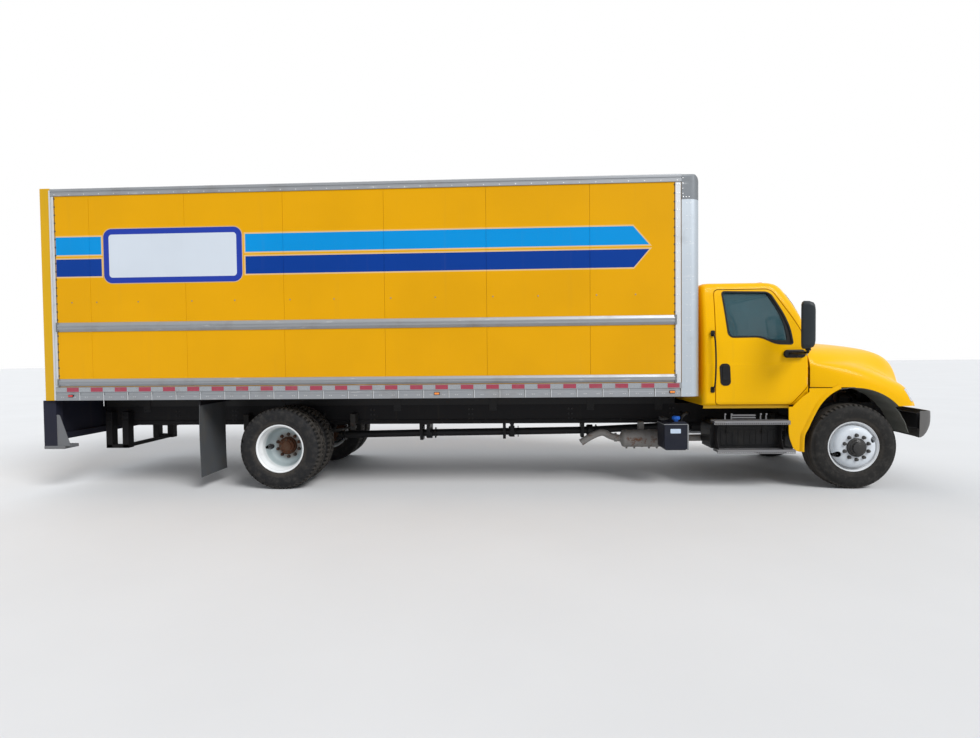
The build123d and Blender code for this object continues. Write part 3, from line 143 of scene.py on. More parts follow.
class Value:
    """One number in a node tree, with Python's operators."""

    def __init__(self, graph: "Graph", socket: bpy.types.NodeSocket) -> None:
        """Wraps a socket of the given graph."""
        self.graph = graph
        self.socket = socket

    def _math(self, operation: str, *others: Number, clamp: bool = False) -> "Value":
        """Adds a Math node on this value.

        Args:
            operation: the node's operation.
            others: its other inputs.
            clamp: whether the result is held between 0 and 1.

        Returns:
            The node's result.
        """
        node = self.graph.tree.nodes.new("ShaderNodeMath")
        node.operation = operation
        node.use_clamp = clamp
        for socket, value in zip(node.inputs, (self, *others)):
            self.graph.plug(socket, value)
        return Value(self.graph, node.outputs[0])

    def __add__(self, other: Number) -> "Value":
        """Sum."""
        return self._math("ADD", other)

    __radd__ = __add__

    def __mul__(self, other: Number) -> "Value":
        """Product."""
        return self._math("MULTIPLY", other)

    __rmul__ = __mul__

    def __sub__(self, other: Number) -> "Value":
        """Difference."""
        return self._math("SUBTRACT", other)

    def __rsub__(self, other: Number) -> "Value":
        """Difference from a number."""
        return self._math("MULTIPLY", -1.0)._math("ADD", other)

    def __truediv__(self, other: Number) -> "Value":
        """Quotient."""
        return self._math("DIVIDE", other)

    def __pow__(self, other: Number) -> "Value":
        """Power."""
        return self._math("POWER", other)

    def __gt__(self, other: Number) -> "Value":
        """1 where this is greater."""
        return self._math("GREATER_THAN", other)

    def __lt__(self, other: Number) -> "Value":
        """1 where this is less."""
        return self._math("LESS_THAN", other)

    def __abs__(self) -> "Value":
        """Magnitude."""
        return self._math("ABSOLUTE")

    def wrap(self, period: float) -> "Value":
        """This value folded into 0 to the period."""
        return self._math("WRAP", period, 0.0)

    def sin(self) -> "Value":
        """Sine."""
        return self._math("SINE")

    def most(self, other: Number) -> "Value":
        """The larger of two."""
        return self._math("MAXIMUM", other)

    def clamp(self) -> "Value":
        """This value held between 0 and 1."""
        return self._math("ADD", 0.0, clamp=True)

    def ramp(self, low: float, high: float) -> "Value":
        """0 at low, 1 at high, smooth between and held outside."""
        node = self.graph.tree.nodes.new("ShaderNodeMapRange")
        node.interpolation_type = "SMOOTHSTEP"
        self.graph.plug(node.inputs["Value"], self)
        for name, number in (("From Min", low), ("From Max", high), ("To Min", 0.0),
                             ("To Max", 1.0)):
            node.inputs[name].default_value = number
        return Value(self.graph, node.outputs["Result"])

    def between(self, low: float, high: float) -> "Value":
        """1 between two limits, else 0."""
        return (self > low) * (self < high)


class Graph:
    """A material's node tree, built from the surface backwards."""

    def __init__(self, name: str) -> None:
        """Starts an empty material."""
        self.material = bpy.data.materials.new(name)
        self.material.use_nodes = True
        self.tree = self.material.node_tree
        self.tree.nodes.clear()
        self._coords: Optional[bpy.types.Node] = None

    def plug(self, socket: bpy.types.NodeSocket, value: object) -> None:
        """Links or sets one input socket."""
        if isinstance(value, Value):
            self.tree.links.new(value.socket, socket)
        elif isinstance(value, bpy.types.NodeSocket):
            self.tree.links.new(value, socket)
        elif isinstance(value, tuple) and len(value) == 3 and socket.type == "RGBA":
            socket.default_value = (*value, 1.0)
        else:
            socket.default_value = value

    def node(self, kind: str, settings: Optional[dict] = None, **inputs: object) -> bpy.types.Node:
        """Adds any node.

        Args:
            kind: the node's type, without the ShaderNode prefix.
            settings: properties that are set first.
            inputs: values or links of its sockets, with _ for a space.

        Returns:
            The node.
        """
        node = self.tree.nodes.new("ShaderNode" + kind)
        for key, value in (settings or {}).items():
            setattr(node, key, value)
        for key, value in inputs.items():
            self.plug(node.inputs[key.replace("_", " ")], value)
        return node

    def place(self) -> bpy.types.NodeSocket:
        """The object's own coordinates, in metres."""
        if self._coords is None:
            self._coords = self.tree.nodes.new("ShaderNodeTexCoord")
        return self._coords.outputs["Object"]

    def xyz(self) -> tuple[Value, Value, Value]:
        """The three object coordinates as numbers."""
        parts = self.node("SeparateXYZ", Vector=self.place())
        return tuple(Value(self, s) for s in parts.outputs)

    def stretched(self, x: float, y: float, z: float) -> bpy.types.NodeSocket:
        """Object coordinates scaled along each axis."""
        return self.node("Mapping", Vector=self.place(), Scale=(x, y, z)).outputs[0]

    def noise(self, scale: float, detail: float = 3.0, rough: float = 0.55,
              at: Optional[bpy.types.NodeSocket] = None) -> Value:
        """Noise from 0 to 1 on object coordinates."""
        node = self.node("TexNoise", Vector=at or self.place(), Scale=scale, Detail=detail,
                         Roughness=rough)
        return Value(self, node.outputs[0])

    def cells(self, scale: float, feature: str = "F1") -> Value:
        """Distance to the nearest of scattered points."""
        node = self.node("TexVoronoi", {"feature": feature}, Vector=self.place(), Scale=scale)
        return Value(self, node.outputs["Distance"])

    def mix(self, factor: Number, a: object, b: object) -> bpy.types.NodeSocket:
        """A colour between two colours."""
        node = self.tree.nodes.new("ShaderNodeMix")
        node.data_type = "RGBA"
        self.plug(node.inputs[0], factor)
        self.plug(node.inputs[6], a)
        self.plug(node.inputs[7], b)
        return node.outputs[2]

    def bump(self, height: Value, depth: float, strength: float = 1.0) -> bpy.types.NodeSocket:
        """A normal bent by a height from 0 to 1, depth metres high."""
        return self.node("Bump", Height=height, Distance=depth, Strength=strength).outputs[0]

    def surface(self, **inputs: object) -> bpy.types.Material:
        """Closes the tree with the usual shader.

        Args:
            inputs: the shader's inputs, with _ for a space.

        Returns:
            The finished material.
        """
        shader = self.node("BsdfPrincipled", None, **inputs)
        out = self.node("OutputMaterial")
        self.tree.links.new(shader.outputs[0], out.inputs[0])
        return self.material


# Finishes

_made: dict[object, bpy.types.Material] = {}


@dataclass(frozen=True)
class Finish:
    """A named surface finish, made into a material once."""

    name: str
    colour: Colour

    def build(self, g: Graph) -> bpy.types.Material:
        """Lays the nodes of this finish."""
        grime = g.noise(7.0, 5.0)
        colour = g.mix(grime.ramp(0.4, 0.8) * 0.3, self.colour, tuple(c * 0.6 for c in self.colour))
        return g.surface(Base_Color=colour, Roughness=grime * 0.2 + 0.45)

    def material(self) -> bpy.types.Material:
        """The material, made on first use."""
        if self not in _made:
            _made[self] = self.build(Graph(self.name))
        return _made[self]


@dataclass(frozen=True)
class Paint(Finish):
    """Sprayed enamel with road film low down, faint mottling and fine scratches."""

    gloss: float = 0.28
    coat: float = 0.12
    shine: float = 0.25
    film: float = 0.5
    film_top: float = 1.5
    wear: float = 0.0

    def base(self, g: Graph) -> object:
        """The clean colour, before film and wear."""
        return self.colour

    def build(self, g: Graph) -> bpy.types.Material:
        """Lays the nodes of this finish."""
        _, _, z = g.xyz()
        broad = g.noise(0.9, 3.0)
        fine = g.noise(46.0, 4.0, 0.6)
        streak = g.noise(1.0, 5.0, 0.6, g.stretched(14.0, 14.0, 0.7))
        shade = self.base(g)
        darker = g.mix(0.85, (0.0, 0.0, 0.0), shade)
        colour = g.mix(broad.ramp(0.35, 0.7) * 0.4, shade, darker)
        colour = g.mix(streak.ramp(0.55, 0.80) * (0.03 + 0.10 * self.film), colour,
                       (0.20, 0.15, 0.08))
        low = (1.0 - z.ramp(0.35, self.film_top)) * (fine * 0.6 + streak * 0.8)
        colour = g.mix((low * self.film * 0.45).clamp(), colour, (0.15, 0.125, 0.09))
        rough = (fine * 0.10 + low * 0.25 + self.gloss).clamp()
        if self.wear:
            chips = g.cells(34.0).ramp(0.16, 0.10) * g.noise(3.2, 3.0).ramp(0.58, 0.70)
            colour = g.mix(chips * self.wear, colour, (0.16, 0.10, 0.07))
            rough = (rough + chips * 0.3 * self.wear).clamp()
        peel = g.noise(330.0, 2.0) * 0.5 + fine * 0.5
        return g.surface(Base_Color=colour, Roughness=rough, Coat_Weight=self.coat,
                         Coat_Roughness=0.06, Specular_IOR_Level=self.shine,
                         Normal=g.bump(peel, 0.0002, 0.3))


@dataclass(frozen=True)
class Livery(Paint):
    """Side-panel paint with two plain stripes that end in an arrow."""

    pale: Colour = (0.74, 0.50, 0.22)
    light: Colour = (0.0, 0.270, 0.66)
    dark: Colour = (0.0, 0.040, 0.27)

    def base(self, g: Graph) -> object:
        """Yellow with the stripes laid over it."""
        x, _, z = g.xyz()
        tip, slope, mid = ahead(-2.396), 0.86, 2.885

        def band(low: float, high: float, grow: float) -> Value:
            reach = abs(z - mid) * slope
            end = (x + reach) < tip + grow
            return z.between(low - grow, high + grow) * end * (x > ahead(-9.625) - grow)
        gap = x.between(ahead(-9.035), ahead(-7.265))
        edge = x.between(ahead(-9.048), ahead(-7.250))
        upper, lower = (2.912, 3.130), (2.648, 2.860)
        border = (band(*upper, 0.016).most(band(*lower, 0.016))) * (1.0 - gap)
        colour = g.mix(border, self.colour, self.pale)
        colour = g.mix(band(*upper, 0.0) * (1.0 - edge), colour, self.light)
        return g.mix(band(*lower, 0.0) * (1.0 - edge), colour, self.dark)


@dataclass(frozen=True)
class Metal(Finish):
    """Bare or galvanised metal with drawn lines, stains and scuffs."""

    rough: float = 0.36
    drawn: Point = (0.6, 60.0, 60.0)
    stain: float = 0.35
    metallic: float = 0.9

    def build(self, g: Graph) -> bpy.types.Material:
        """Lays the nodes of this finish."""
        lines = g.noise(6.0, 4.0, 0.6, g.stretched(*self.drawn))
        patch = g.noise(2.4, 5.0, 0.62)
        scuff = g.noise(1.0, 5.0, 0.7, g.stretched(3.0, 30.0, 22.0)).ramp(0.60, 0.74)
        colour = g.mix(lines * 0.25, self.colour, tuple(c * 0.72 for c in self.colour))
        colour = g.mix(patch.ramp(0.48, 0.75) * self.stain, colour, (0.23, 0.21, 0.19))
        colour = g.mix(scuff * 0.45, colour, (0.72, 0.72, 0.72))
        rough = (lines * 0.14 + patch.ramp(0.45, 0.8) * 0.25 + self.rough).clamp()
        return g.surface(Base_Color=colour, Metallic=self.metallic, Roughness=rough,
                         Normal=g.bump(lines, 0.0003, 0.4))


@dataclass(frozen=True)
class Rusted(Finish):
    """Cast or forged steel under flaking paint and rust."""

    rust: float = 0.4
    rust_colour: Colour = (0.20, 0.075, 0.03)

    def build(self, g: Graph) -> bpy.types.Material:
        """Lays the nodes of this finish."""
        big = g.noise(9.0, 6.0, 0.65)
        grain = g.noise(120.0, 4.0, 0.6)
        mask = (big * 0.7 + grain * 0.3).ramp(0.66 - 0.4 * self.rust, 0.74 - 0.25 * self.rust)
        colour = g.mix(grain * 0.4, self.colour,
                       tuple(min(1.0, c * 1.8 + 0.02) for c in self.colour))
        colour = g.mix(mask, colour,
                       g.mix(grain, self.rust_colour, tuple(c * 0.45 for c in self.rust_colour)))
        return g.surface(Base_Color=colour, Roughness=(mask * 0.35 + 0.5).clamp(),
                         Specular_IOR_Level=0.2,
                         Normal=g.bump(grain * 0.6 + mask * 0.6, 0.0012, 0.6))


@dataclass(frozen=True)
class Moulded(Finish):
    """Moulded plastic or rubber with a fine grain and grey dust."""

    rough: float = 0.55
    grain: float = 0.5
    dust: float = 0.15

    def build(self, g: Graph) -> bpy.types.Material:
        """Lays the nodes of this finish."""
        pores = g.cells(420.0)
        haze = g.noise(5.0, 5.0, 0.6)
        colour = g.mix(haze.ramp(0.4, 0.75) * self.dust, self.colour, (0.10, 0.09, 0.075))
        rough = (haze * 0.22 + self.rough - 0.08).clamp()
        return g.surface(Base_Color=colour, Roughness=rough, Specular_IOR_Level=0.2,
                         Normal=g.bump(pores, 0.0004, 0.35 * self.grain))


@dataclass(frozen=True)
class TyreRubber(Finish):
    """Tyre rubber about a wheel's axis, dusty on the tread and ringed on the wall."""

    axle_x: float = 0.0
    dust: float = 0.4

    def build(self, g: Graph) -> bpy.types.Material:
        """Lays the nodes of this finish."""
        x, _, z = g.xyz()
        dx, dz = x - self.axle_x, z - AXLE_Z
        radius = (dx * dx + dz * dz) ** 0.5
        dust = g.noise(16.0, 5.0, 0.62)
        tread = radius.ramp(0.475, 0.505)
        scrub = g.noise(3.0, 4.0, 0.6).ramp(0.3, 0.75)
        colour = g.mix(dust.ramp(0.40, 0.80) * self.dust, self.colour, (0.050, 0.046, 0.042))
        colour = g.mix(tread * (dust * 0.5 + 0.35) * 0.8, colour, (0.075, 0.066, 0.056))
        colour = g.mix(radius.ramp(0.37, 0.31) * scrub * self.dust, colour, (0.065, 0.055, 0.045))
        rings = (radius * 640.0).sin() * radius.between(0.335, 0.365)
        height = g.noise(150.0, 3.0) * 0.5 + rings * 0.3
        return g.surface(Base_Color=colour, Roughness=(dust * 0.2 + 0.62).clamp(),
                         Specular_IOR_Level=0.15, Normal=g.bump(height, 0.0007, 0.5))


@dataclass(frozen=True)
class WheelPaint(Finish):
    """White wheel enamel with dust, chips and rust that weeps from the nuts."""

    axle_x: float = 0.0
    rust: float = 0.4
    # Colour of the dish inside the rim: a darker blue-grey that is painted shade.
    disc: Colour = (0.62, 0.66, 0.70)

    def build(self, g: Graph) -> bpy.types.Material:
        """Lays the nodes of this finish."""
        x, _, z = g.xyz()
        dx, dz = x - self.axle_x, z - AXLE_Z
        radius = (dx * dx + dz * dz) ** 0.5
        broad = g.noise(11.0, 5.0, 0.6)
        fine = g.noise(70.0, 4.0, 0.6)
        # Inside the rim the dish takes the darker blue-grey: painted shade of the recessed dish.
        colour = g.mix(radius.ramp(0.256, 0.246), self.colour, self.disc)
        colour = g.mix(broad.ramp(0.45, 0.85) * 0.25, colour, (0.34, 0.33, 0.33))
        centre = radius.ramp(0.19, 0.125) * (broad * 0.7 + fine * 0.6)
        colour = g.mix((centre * self.rust * 1.5).clamp(), colour, (0.20, 0.10, 0.05))
        chips = g.cells(60.0).ramp(0.14, 0.08) * broad.ramp(0.55, 0.68)
        colour = g.mix(chips * 0.7, colour, (0.10, 0.06, 0.04))
        return g.surface(Base_Color=colour, Roughness=(broad * 0.2 + centre * 0.3 + 0.32).clamp(),
                         Coat_Weight=0.15, Specular_IOR_Level=0.3, Normal=g.bump(fine, 0.0003, 0.3))


@dataclass(frozen=True)
class Pane(Finish):
    """Tinted safety glass with a dusty film."""

    alpha: float = 0.66

    def build(self, g: Graph) -> bpy.types.Material:
        """Lays the nodes of this finish."""
        film = g.noise(3.0, 4.0, 0.6)
        alpha = (film.ramp(0.45, 0.8) * 0.12 + self.alpha).clamp()
        return g.surface(Base_Color=g.mix(film * 0.4, self.colour,
                                          tuple(c * 1.8 for c in self.colour)),
                         Roughness=(film * 0.05 + 0.03).clamp(), Alpha=alpha,
                         Specular_IOR_Level=0.5)


@dataclass(frozen=True)
class Lens(Finish):
    """Ribbed lamp lens over a bright reflector."""

    ribs: float = 260.0
    glow: float = 0.0

    def build(self, g: Graph) -> bpy.types.Material:
        """Lays the nodes of this finish."""
        x, y, z = g.xyz()
        rib = (y * self.ribs + x * self.ribs * 0.6).sin() * 0.5 + 0.5
        prism = (z * self.ribs).sin() * 0.5 + 0.5
        cell = rib * prism
        colour = g.mix(cell * 0.5, self.colour,
                       tuple(min(1.0, c * 1.7 + 0.05) for c in self.colour))
        return g.surface(Base_Color=colour, Roughness=cell * 0.1 + 0.08, Coat_Weight=1.0,
                         Coat_Roughness=0.03, Emission_Color=self.colour,
                         Emission_Strength=self.glow, Normal=g.bump(cell, 0.0012, 0.5))


@dataclass(frozen=True)
class Tape(Finish):
    """Retro-reflective tape with a honeycomb under a clear face."""

    def build(self, g: Graph) -> bpy.types.Material:
        """Lays the nodes of this finish."""
        comb = g.cells(260.0, "DISTANCE_TO_EDGE").ramp(0.02, 0.09)
        dirt = g.noise(9.0, 5.0, 0.6)
        colour = g.mix(comb, tuple(c * 0.55 for c in self.colour), self.colour)
        colour = g.mix(dirt.ramp(0.5, 0.8) * 0.4, colour, (0.18, 0.15, 0.13))
        return g.surface(Base_Color=colour, Roughness=(dirt * 0.2 + 0.25).clamp(), Coat_Weight=0.6,
                         Normal=g.bump(comb, 0.0003, 0.3))


@dataclass(frozen=True)
class Planks(Finish):
    """Laminated hardwood strips that run along the truck."""

    def build(self, g: Graph) -> bpy.types.Material:
        """Lays the nodes of this finish."""
        _, y, _ = g.xyz()
        board = y / 0.045
        seam = abs(board.wrap(1.0) - 0.5).ramp(0.45, 0.49)
        grain = g.noise(4.0, 5.0, 0.6, g.stretched(1.2, 40.0, 40.0))
        tone = g.noise(1.0, 0.0, 0.5, g.stretched(0.4, 22.0, 1.0))
        colour = g.mix(grain, self.colour, tuple(c * 0.55 for c in self.colour))
        colour = g.mix(tone.ramp(0.3, 0.7) * 0.4, colour, (0.20, 0.12, 0.06))
        colour = g.mix(seam, colour, (0.03, 0.02, 0.015))
        return g.surface(Base_Color=colour, Roughness=(grain * 0.25 + 0.5).clamp(),
                         Normal=g.bump(1.0 - seam, 0.0012, 0.6))


@dataclass(frozen=True)
class Cloth(Finish):
    """Woven seat cloth."""

    pitch: float = 0.0022

    def build(self, g: Graph) -> bpy.types.Material:
        """Lays the nodes of this finish."""
        x, y, z = g.xyz()
        wave = 2.0 * math.pi / self.pitch
        weft = (y * wave).sin()
        warp = ((x + z) * wave).sin()
        weave = (weft * warp) * 0.5 + 0.5
        worn = g.noise(4.0, 4.0)
        colour = g.mix(weave * 0.6, self.colour, tuple(min(1.0, c * 1.6) for c in self.colour))
        colour = g.mix(worn.ramp(0.5, 0.8) * 0.3, colour, (0.20, 0.19, 0.18))
        return g.surface(Base_Color=colour, Roughness=worn * 0.1 + 0.82,
                         Normal=g.bump(weave, 0.0006, 0.5))


class Look:
    """The finishes of this truck, by what they cover."""

    BODY = Livery("body_yellow", (0.745, 0.358, 0.0), gloss=0.40, coat=0.05, shine=0.10, film=0.15,
                  film_top=1.8)
    BODY_PLAIN = Paint("door_yellow", (0.745, 0.358, 0.0), gloss=0.40, coat=0.05, shine=0.10,
                       film=0.2, film_top=1.8)
    CAB = Paint("cab_yellow", (0.85, 0.450, 0.0), gloss=0.27, coat=0.06, shine=0.08, film=0.2,
                film_top=1.3)
    FRAME_YELLOW = Paint("portal_yellow", (0.66, 0.37, 0.01), gloss=0.38, coat=0.05, shine=0.12,
                         film=0.4, film_top=2.4, wear=0.5)
    ROOF = Paint("roof_white", (0.72, 0.72, 0.70), gloss=0.45, coat=0.1, film=0.2)
    SIGN_BLUE = Paint("sign_blue", (0.018, 0.045, 0.34), gloss=0.4, coat=0.05, shine=0.1, film=0.1)
    SIGN_CREAM = Paint("sign_cream", (0.60, 0.42, 0.22), gloss=0.4, coat=0.05, shine=0.1, film=0.1)
    PANEL_WHITE = Paint("sign_white", (0.62, 0.67, 0.73), gloss=0.35, coat=0.05, shine=0.15,
                        film=0.1)
    BLACK = Paint("chassis_black", (0.010, 0.010, 0.012), gloss=0.5, coat=0.0, shine=0.15,
                  film=0.16, film_top=1.1, wear=0.4)
    POST_BLUE = Paint("post_blue_black", (0.012, 0.014, 0.028), gloss=0.5, coat=0.0, shine=0.15,
                      film=0.2, wear=0.9)
    ALLOY = Metal("rail_alloy", (0.33, 0.345, 0.365))
    POST_ALLOY = Metal("post_alloy", (0.47, 0.52, 0.57), rough=0.40, drawn=(60.0, 60.0, 0.6),
                       stain=0.15)
    CASTING = Metal("cap_alloy", (0.20, 0.215, 0.23), rough=0.55, drawn=(9.0, 9.0, 9.0),
                    metallic=0.7)
    STEP = Metal("step_alloy", (0.24, 0.24, 0.25), rough=0.42, stain=0.4)
    BUMPER = Paint("bumper_grey", (0.125, 0.122, 0.120), gloss=0.35, coat=0.05, shine=0.2, film=0.4,
                   film_top=1.2, wear=0.7)
    CHROME = Metal("bright_trim", (0.70, 0.71, 0.73), rough=0.12, stain=0.1)
    STRIP = Metal("strip_alloy", (0.62, 0.64, 0.66), rough=0.42, stain=0.1, metallic=0.5)
    SEALANT = Moulded("sealant", (0.075, 0.06, 0.04), rough=0.6, dust=0.2)
    BOLT_GREY = Metal("bolt_grey", (0.30, 0.27, 0.20), rough=0.4)
    RIVET = Metal("rivet_alloy", (0.66, 0.66, 0.66), rough=0.3, stain=0.1)
    ZINC = Metal("zinc_bolt", (0.50, 0.49, 0.46), rough=0.35)
    HEAT = Rusted("heat_steel", (0.20, 0.19, 0.18), rust=0.35)
    CAST = Rusted("cast_iron", (0.035, 0.033, 0.03), rust=0.35)
    HUB_RUST = Rusted("hub_rust", (0.07, 0.038, 0.022), rust=0.75, rust_colour=(0.10, 0.038, 0.018))
    HUB_BLACK = Paint("hub_black", (0.008, 0.008, 0.009), gloss=0.2, coat=0.5, shine=0.3, film=0.1)
    NUT = Rusted("wheel_nut", (0.060, 0.058, 0.056), rust=0.10)
    NUT_RUST = Rusted("rear_wheel_nut", (0.05, 0.040, 0.034), rust=0.55,
                      rust_colour=(0.12, 0.045, 0.022))
    UNDER = Rusted("under_steel", (0.012, 0.012, 0.013), rust=0.22,
                   rust_colour=(0.060, 0.034, 0.022))
    CAST_ALLOY = Metal("cast_alloy", (0.34, 0.34, 0.35), rough=0.5, drawn=(9.0, 9.0, 9.0),
                       stain=0.6, metallic=0.7)
    CORE = Metal("radiator_fins", (0.16, 0.16, 0.17), rough=0.5, stain=0.5)
    SPRING = Rusted("spring_steel", (0.022, 0.021, 0.02), rust=0.25)
    PLASTIC = Moulded("grey_plastic", (0.020, 0.022, 0.026))
    BLACK_PLASTIC = Moulded("black_plastic", (0.007, 0.007, 0.008), rough=0.42)
    MIRROR_SHELL = Moulded("mirror_shell", (0.022, 0.028, 0.032), rough=0.42, dust=0.12)
    DIAL = Moulded("dial_grey", (0.10, 0.105, 0.11), rough=0.35, dust=0.15)
    BRACKET = Metal("bracket_grey", (0.26, 0.27, 0.28), rough=0.5, drawn=(9.0, 9.0, 9.0),
                    metallic=0.6)
    TANK_ALLOY = Metal("tank_alloy", (0.46, 0.47, 0.48), rough=0.30, drawn=(0.6, 60.0, 60.0),
                       stain=0.35)
    LABEL = Paint("label_pale", (0.55, 0.66, 0.80), gloss=0.4, coat=0.2, film=0.2)
    FOOT_GREY = Paint("foot_grey", (0.15, 0.155, 0.165), gloss=0.5, coat=0.0, shine=0.2, film=0.3,
                      wear=0.8)
    TANK = Moulded("tank_plastic", (0.011, 0.013, 0.022), rough=0.5, dust=0.15)
    RUBBER = Moulded("rubber", (0.010, 0.010, 0.011), rough=0.62, dust=0.12)
    # Flap rubber in a lighter grey with heavy dust: partly real dust, partly painted sunlight on
    # the flap.
    FLAP_DUST_AND_SUNLIGHT = Moulded("flap_rubber", (0.075, 0.080, 0.086), rough=0.6, dust=0.45)
    # Pale olive liner plastic: this colour is painted sunlight, lighter than the dark blue-grey
    # plastic itself.
    LINER_SUNLIT_TONE = Moulded("shield_plastic", (0.150, 0.152, 0.132), rough=0.5, dust=0.3)
    CAP_BLUE = Moulded("cap_blue", (0.02, 0.13, 0.55), rough=0.35, dust=0.1)
    # Dark, mostly opaque teal glass: partly tint, partly painted shade of the cab's inside and
    # painted reflection.
    GLASS = Pane("tinted_glass", (0.024, 0.078, 0.095), alpha=0.62)
    LAMP_GLASS = Pane("lamp_glass", (0.62, 0.66, 0.70), alpha=0.45)
    GRILLE = Metal("grille_grey", (0.30, 0.31, 0.32), rough=0.30, stain=0.1)
    RED_LENS = Lens("red_lens", (0.50, 0.012, 0.010))
    AMBER_LENS = Lens("amber_lens", (0.85, 0.22, 0.01))
    CLEAR_LENS = Lens("clear_lens", (0.62, 0.64, 0.67), ribs=180.0)
    RED_TAPE = Tape("red_tape", (0.36, 0.020, 0.055))
    WHITE_TAPE = Tape("white_tape", (0.33, 0.35, 0.37))
    DECK = Planks("deck_wood", (0.33, 0.19, 0.09))
    SEAT = Cloth("seat_cloth", (0.055, 0.06, 0.07))
    MIRROR = Metal("mirror_glass", (0.75, 0.77, 0.79), rough=0.03, stain=0.0)
    WHEEL_FRONT = WheelPaint("front_wheel_white", (0.70, 0.71, 0.72), axle_x=FRONT_AXLE_X,
                             rust=0.15)
    # The rear dish colour is a much darker blue-grey: painted shade of the deep rear dish.
    WHEEL_REAR = WheelPaint("rear_wheel_white", (0.78, 0.79, 0.79), axle_x=REAR_AXLE_X, rust=0.55,
                            disc=(0.36, 0.42, 0.43))
    TYRE_FRONT = TyreRubber("front_tyre", (0.016, 0.0155, 0.015), axle_x=FRONT_AXLE_X, dust=0.7)
    TYRE_REAR = TyreRubber("rear_tyre", (0.016, 0.016, 0.017), axle_x=REAR_AXLE_X, dust=0.8)


# Mesh building


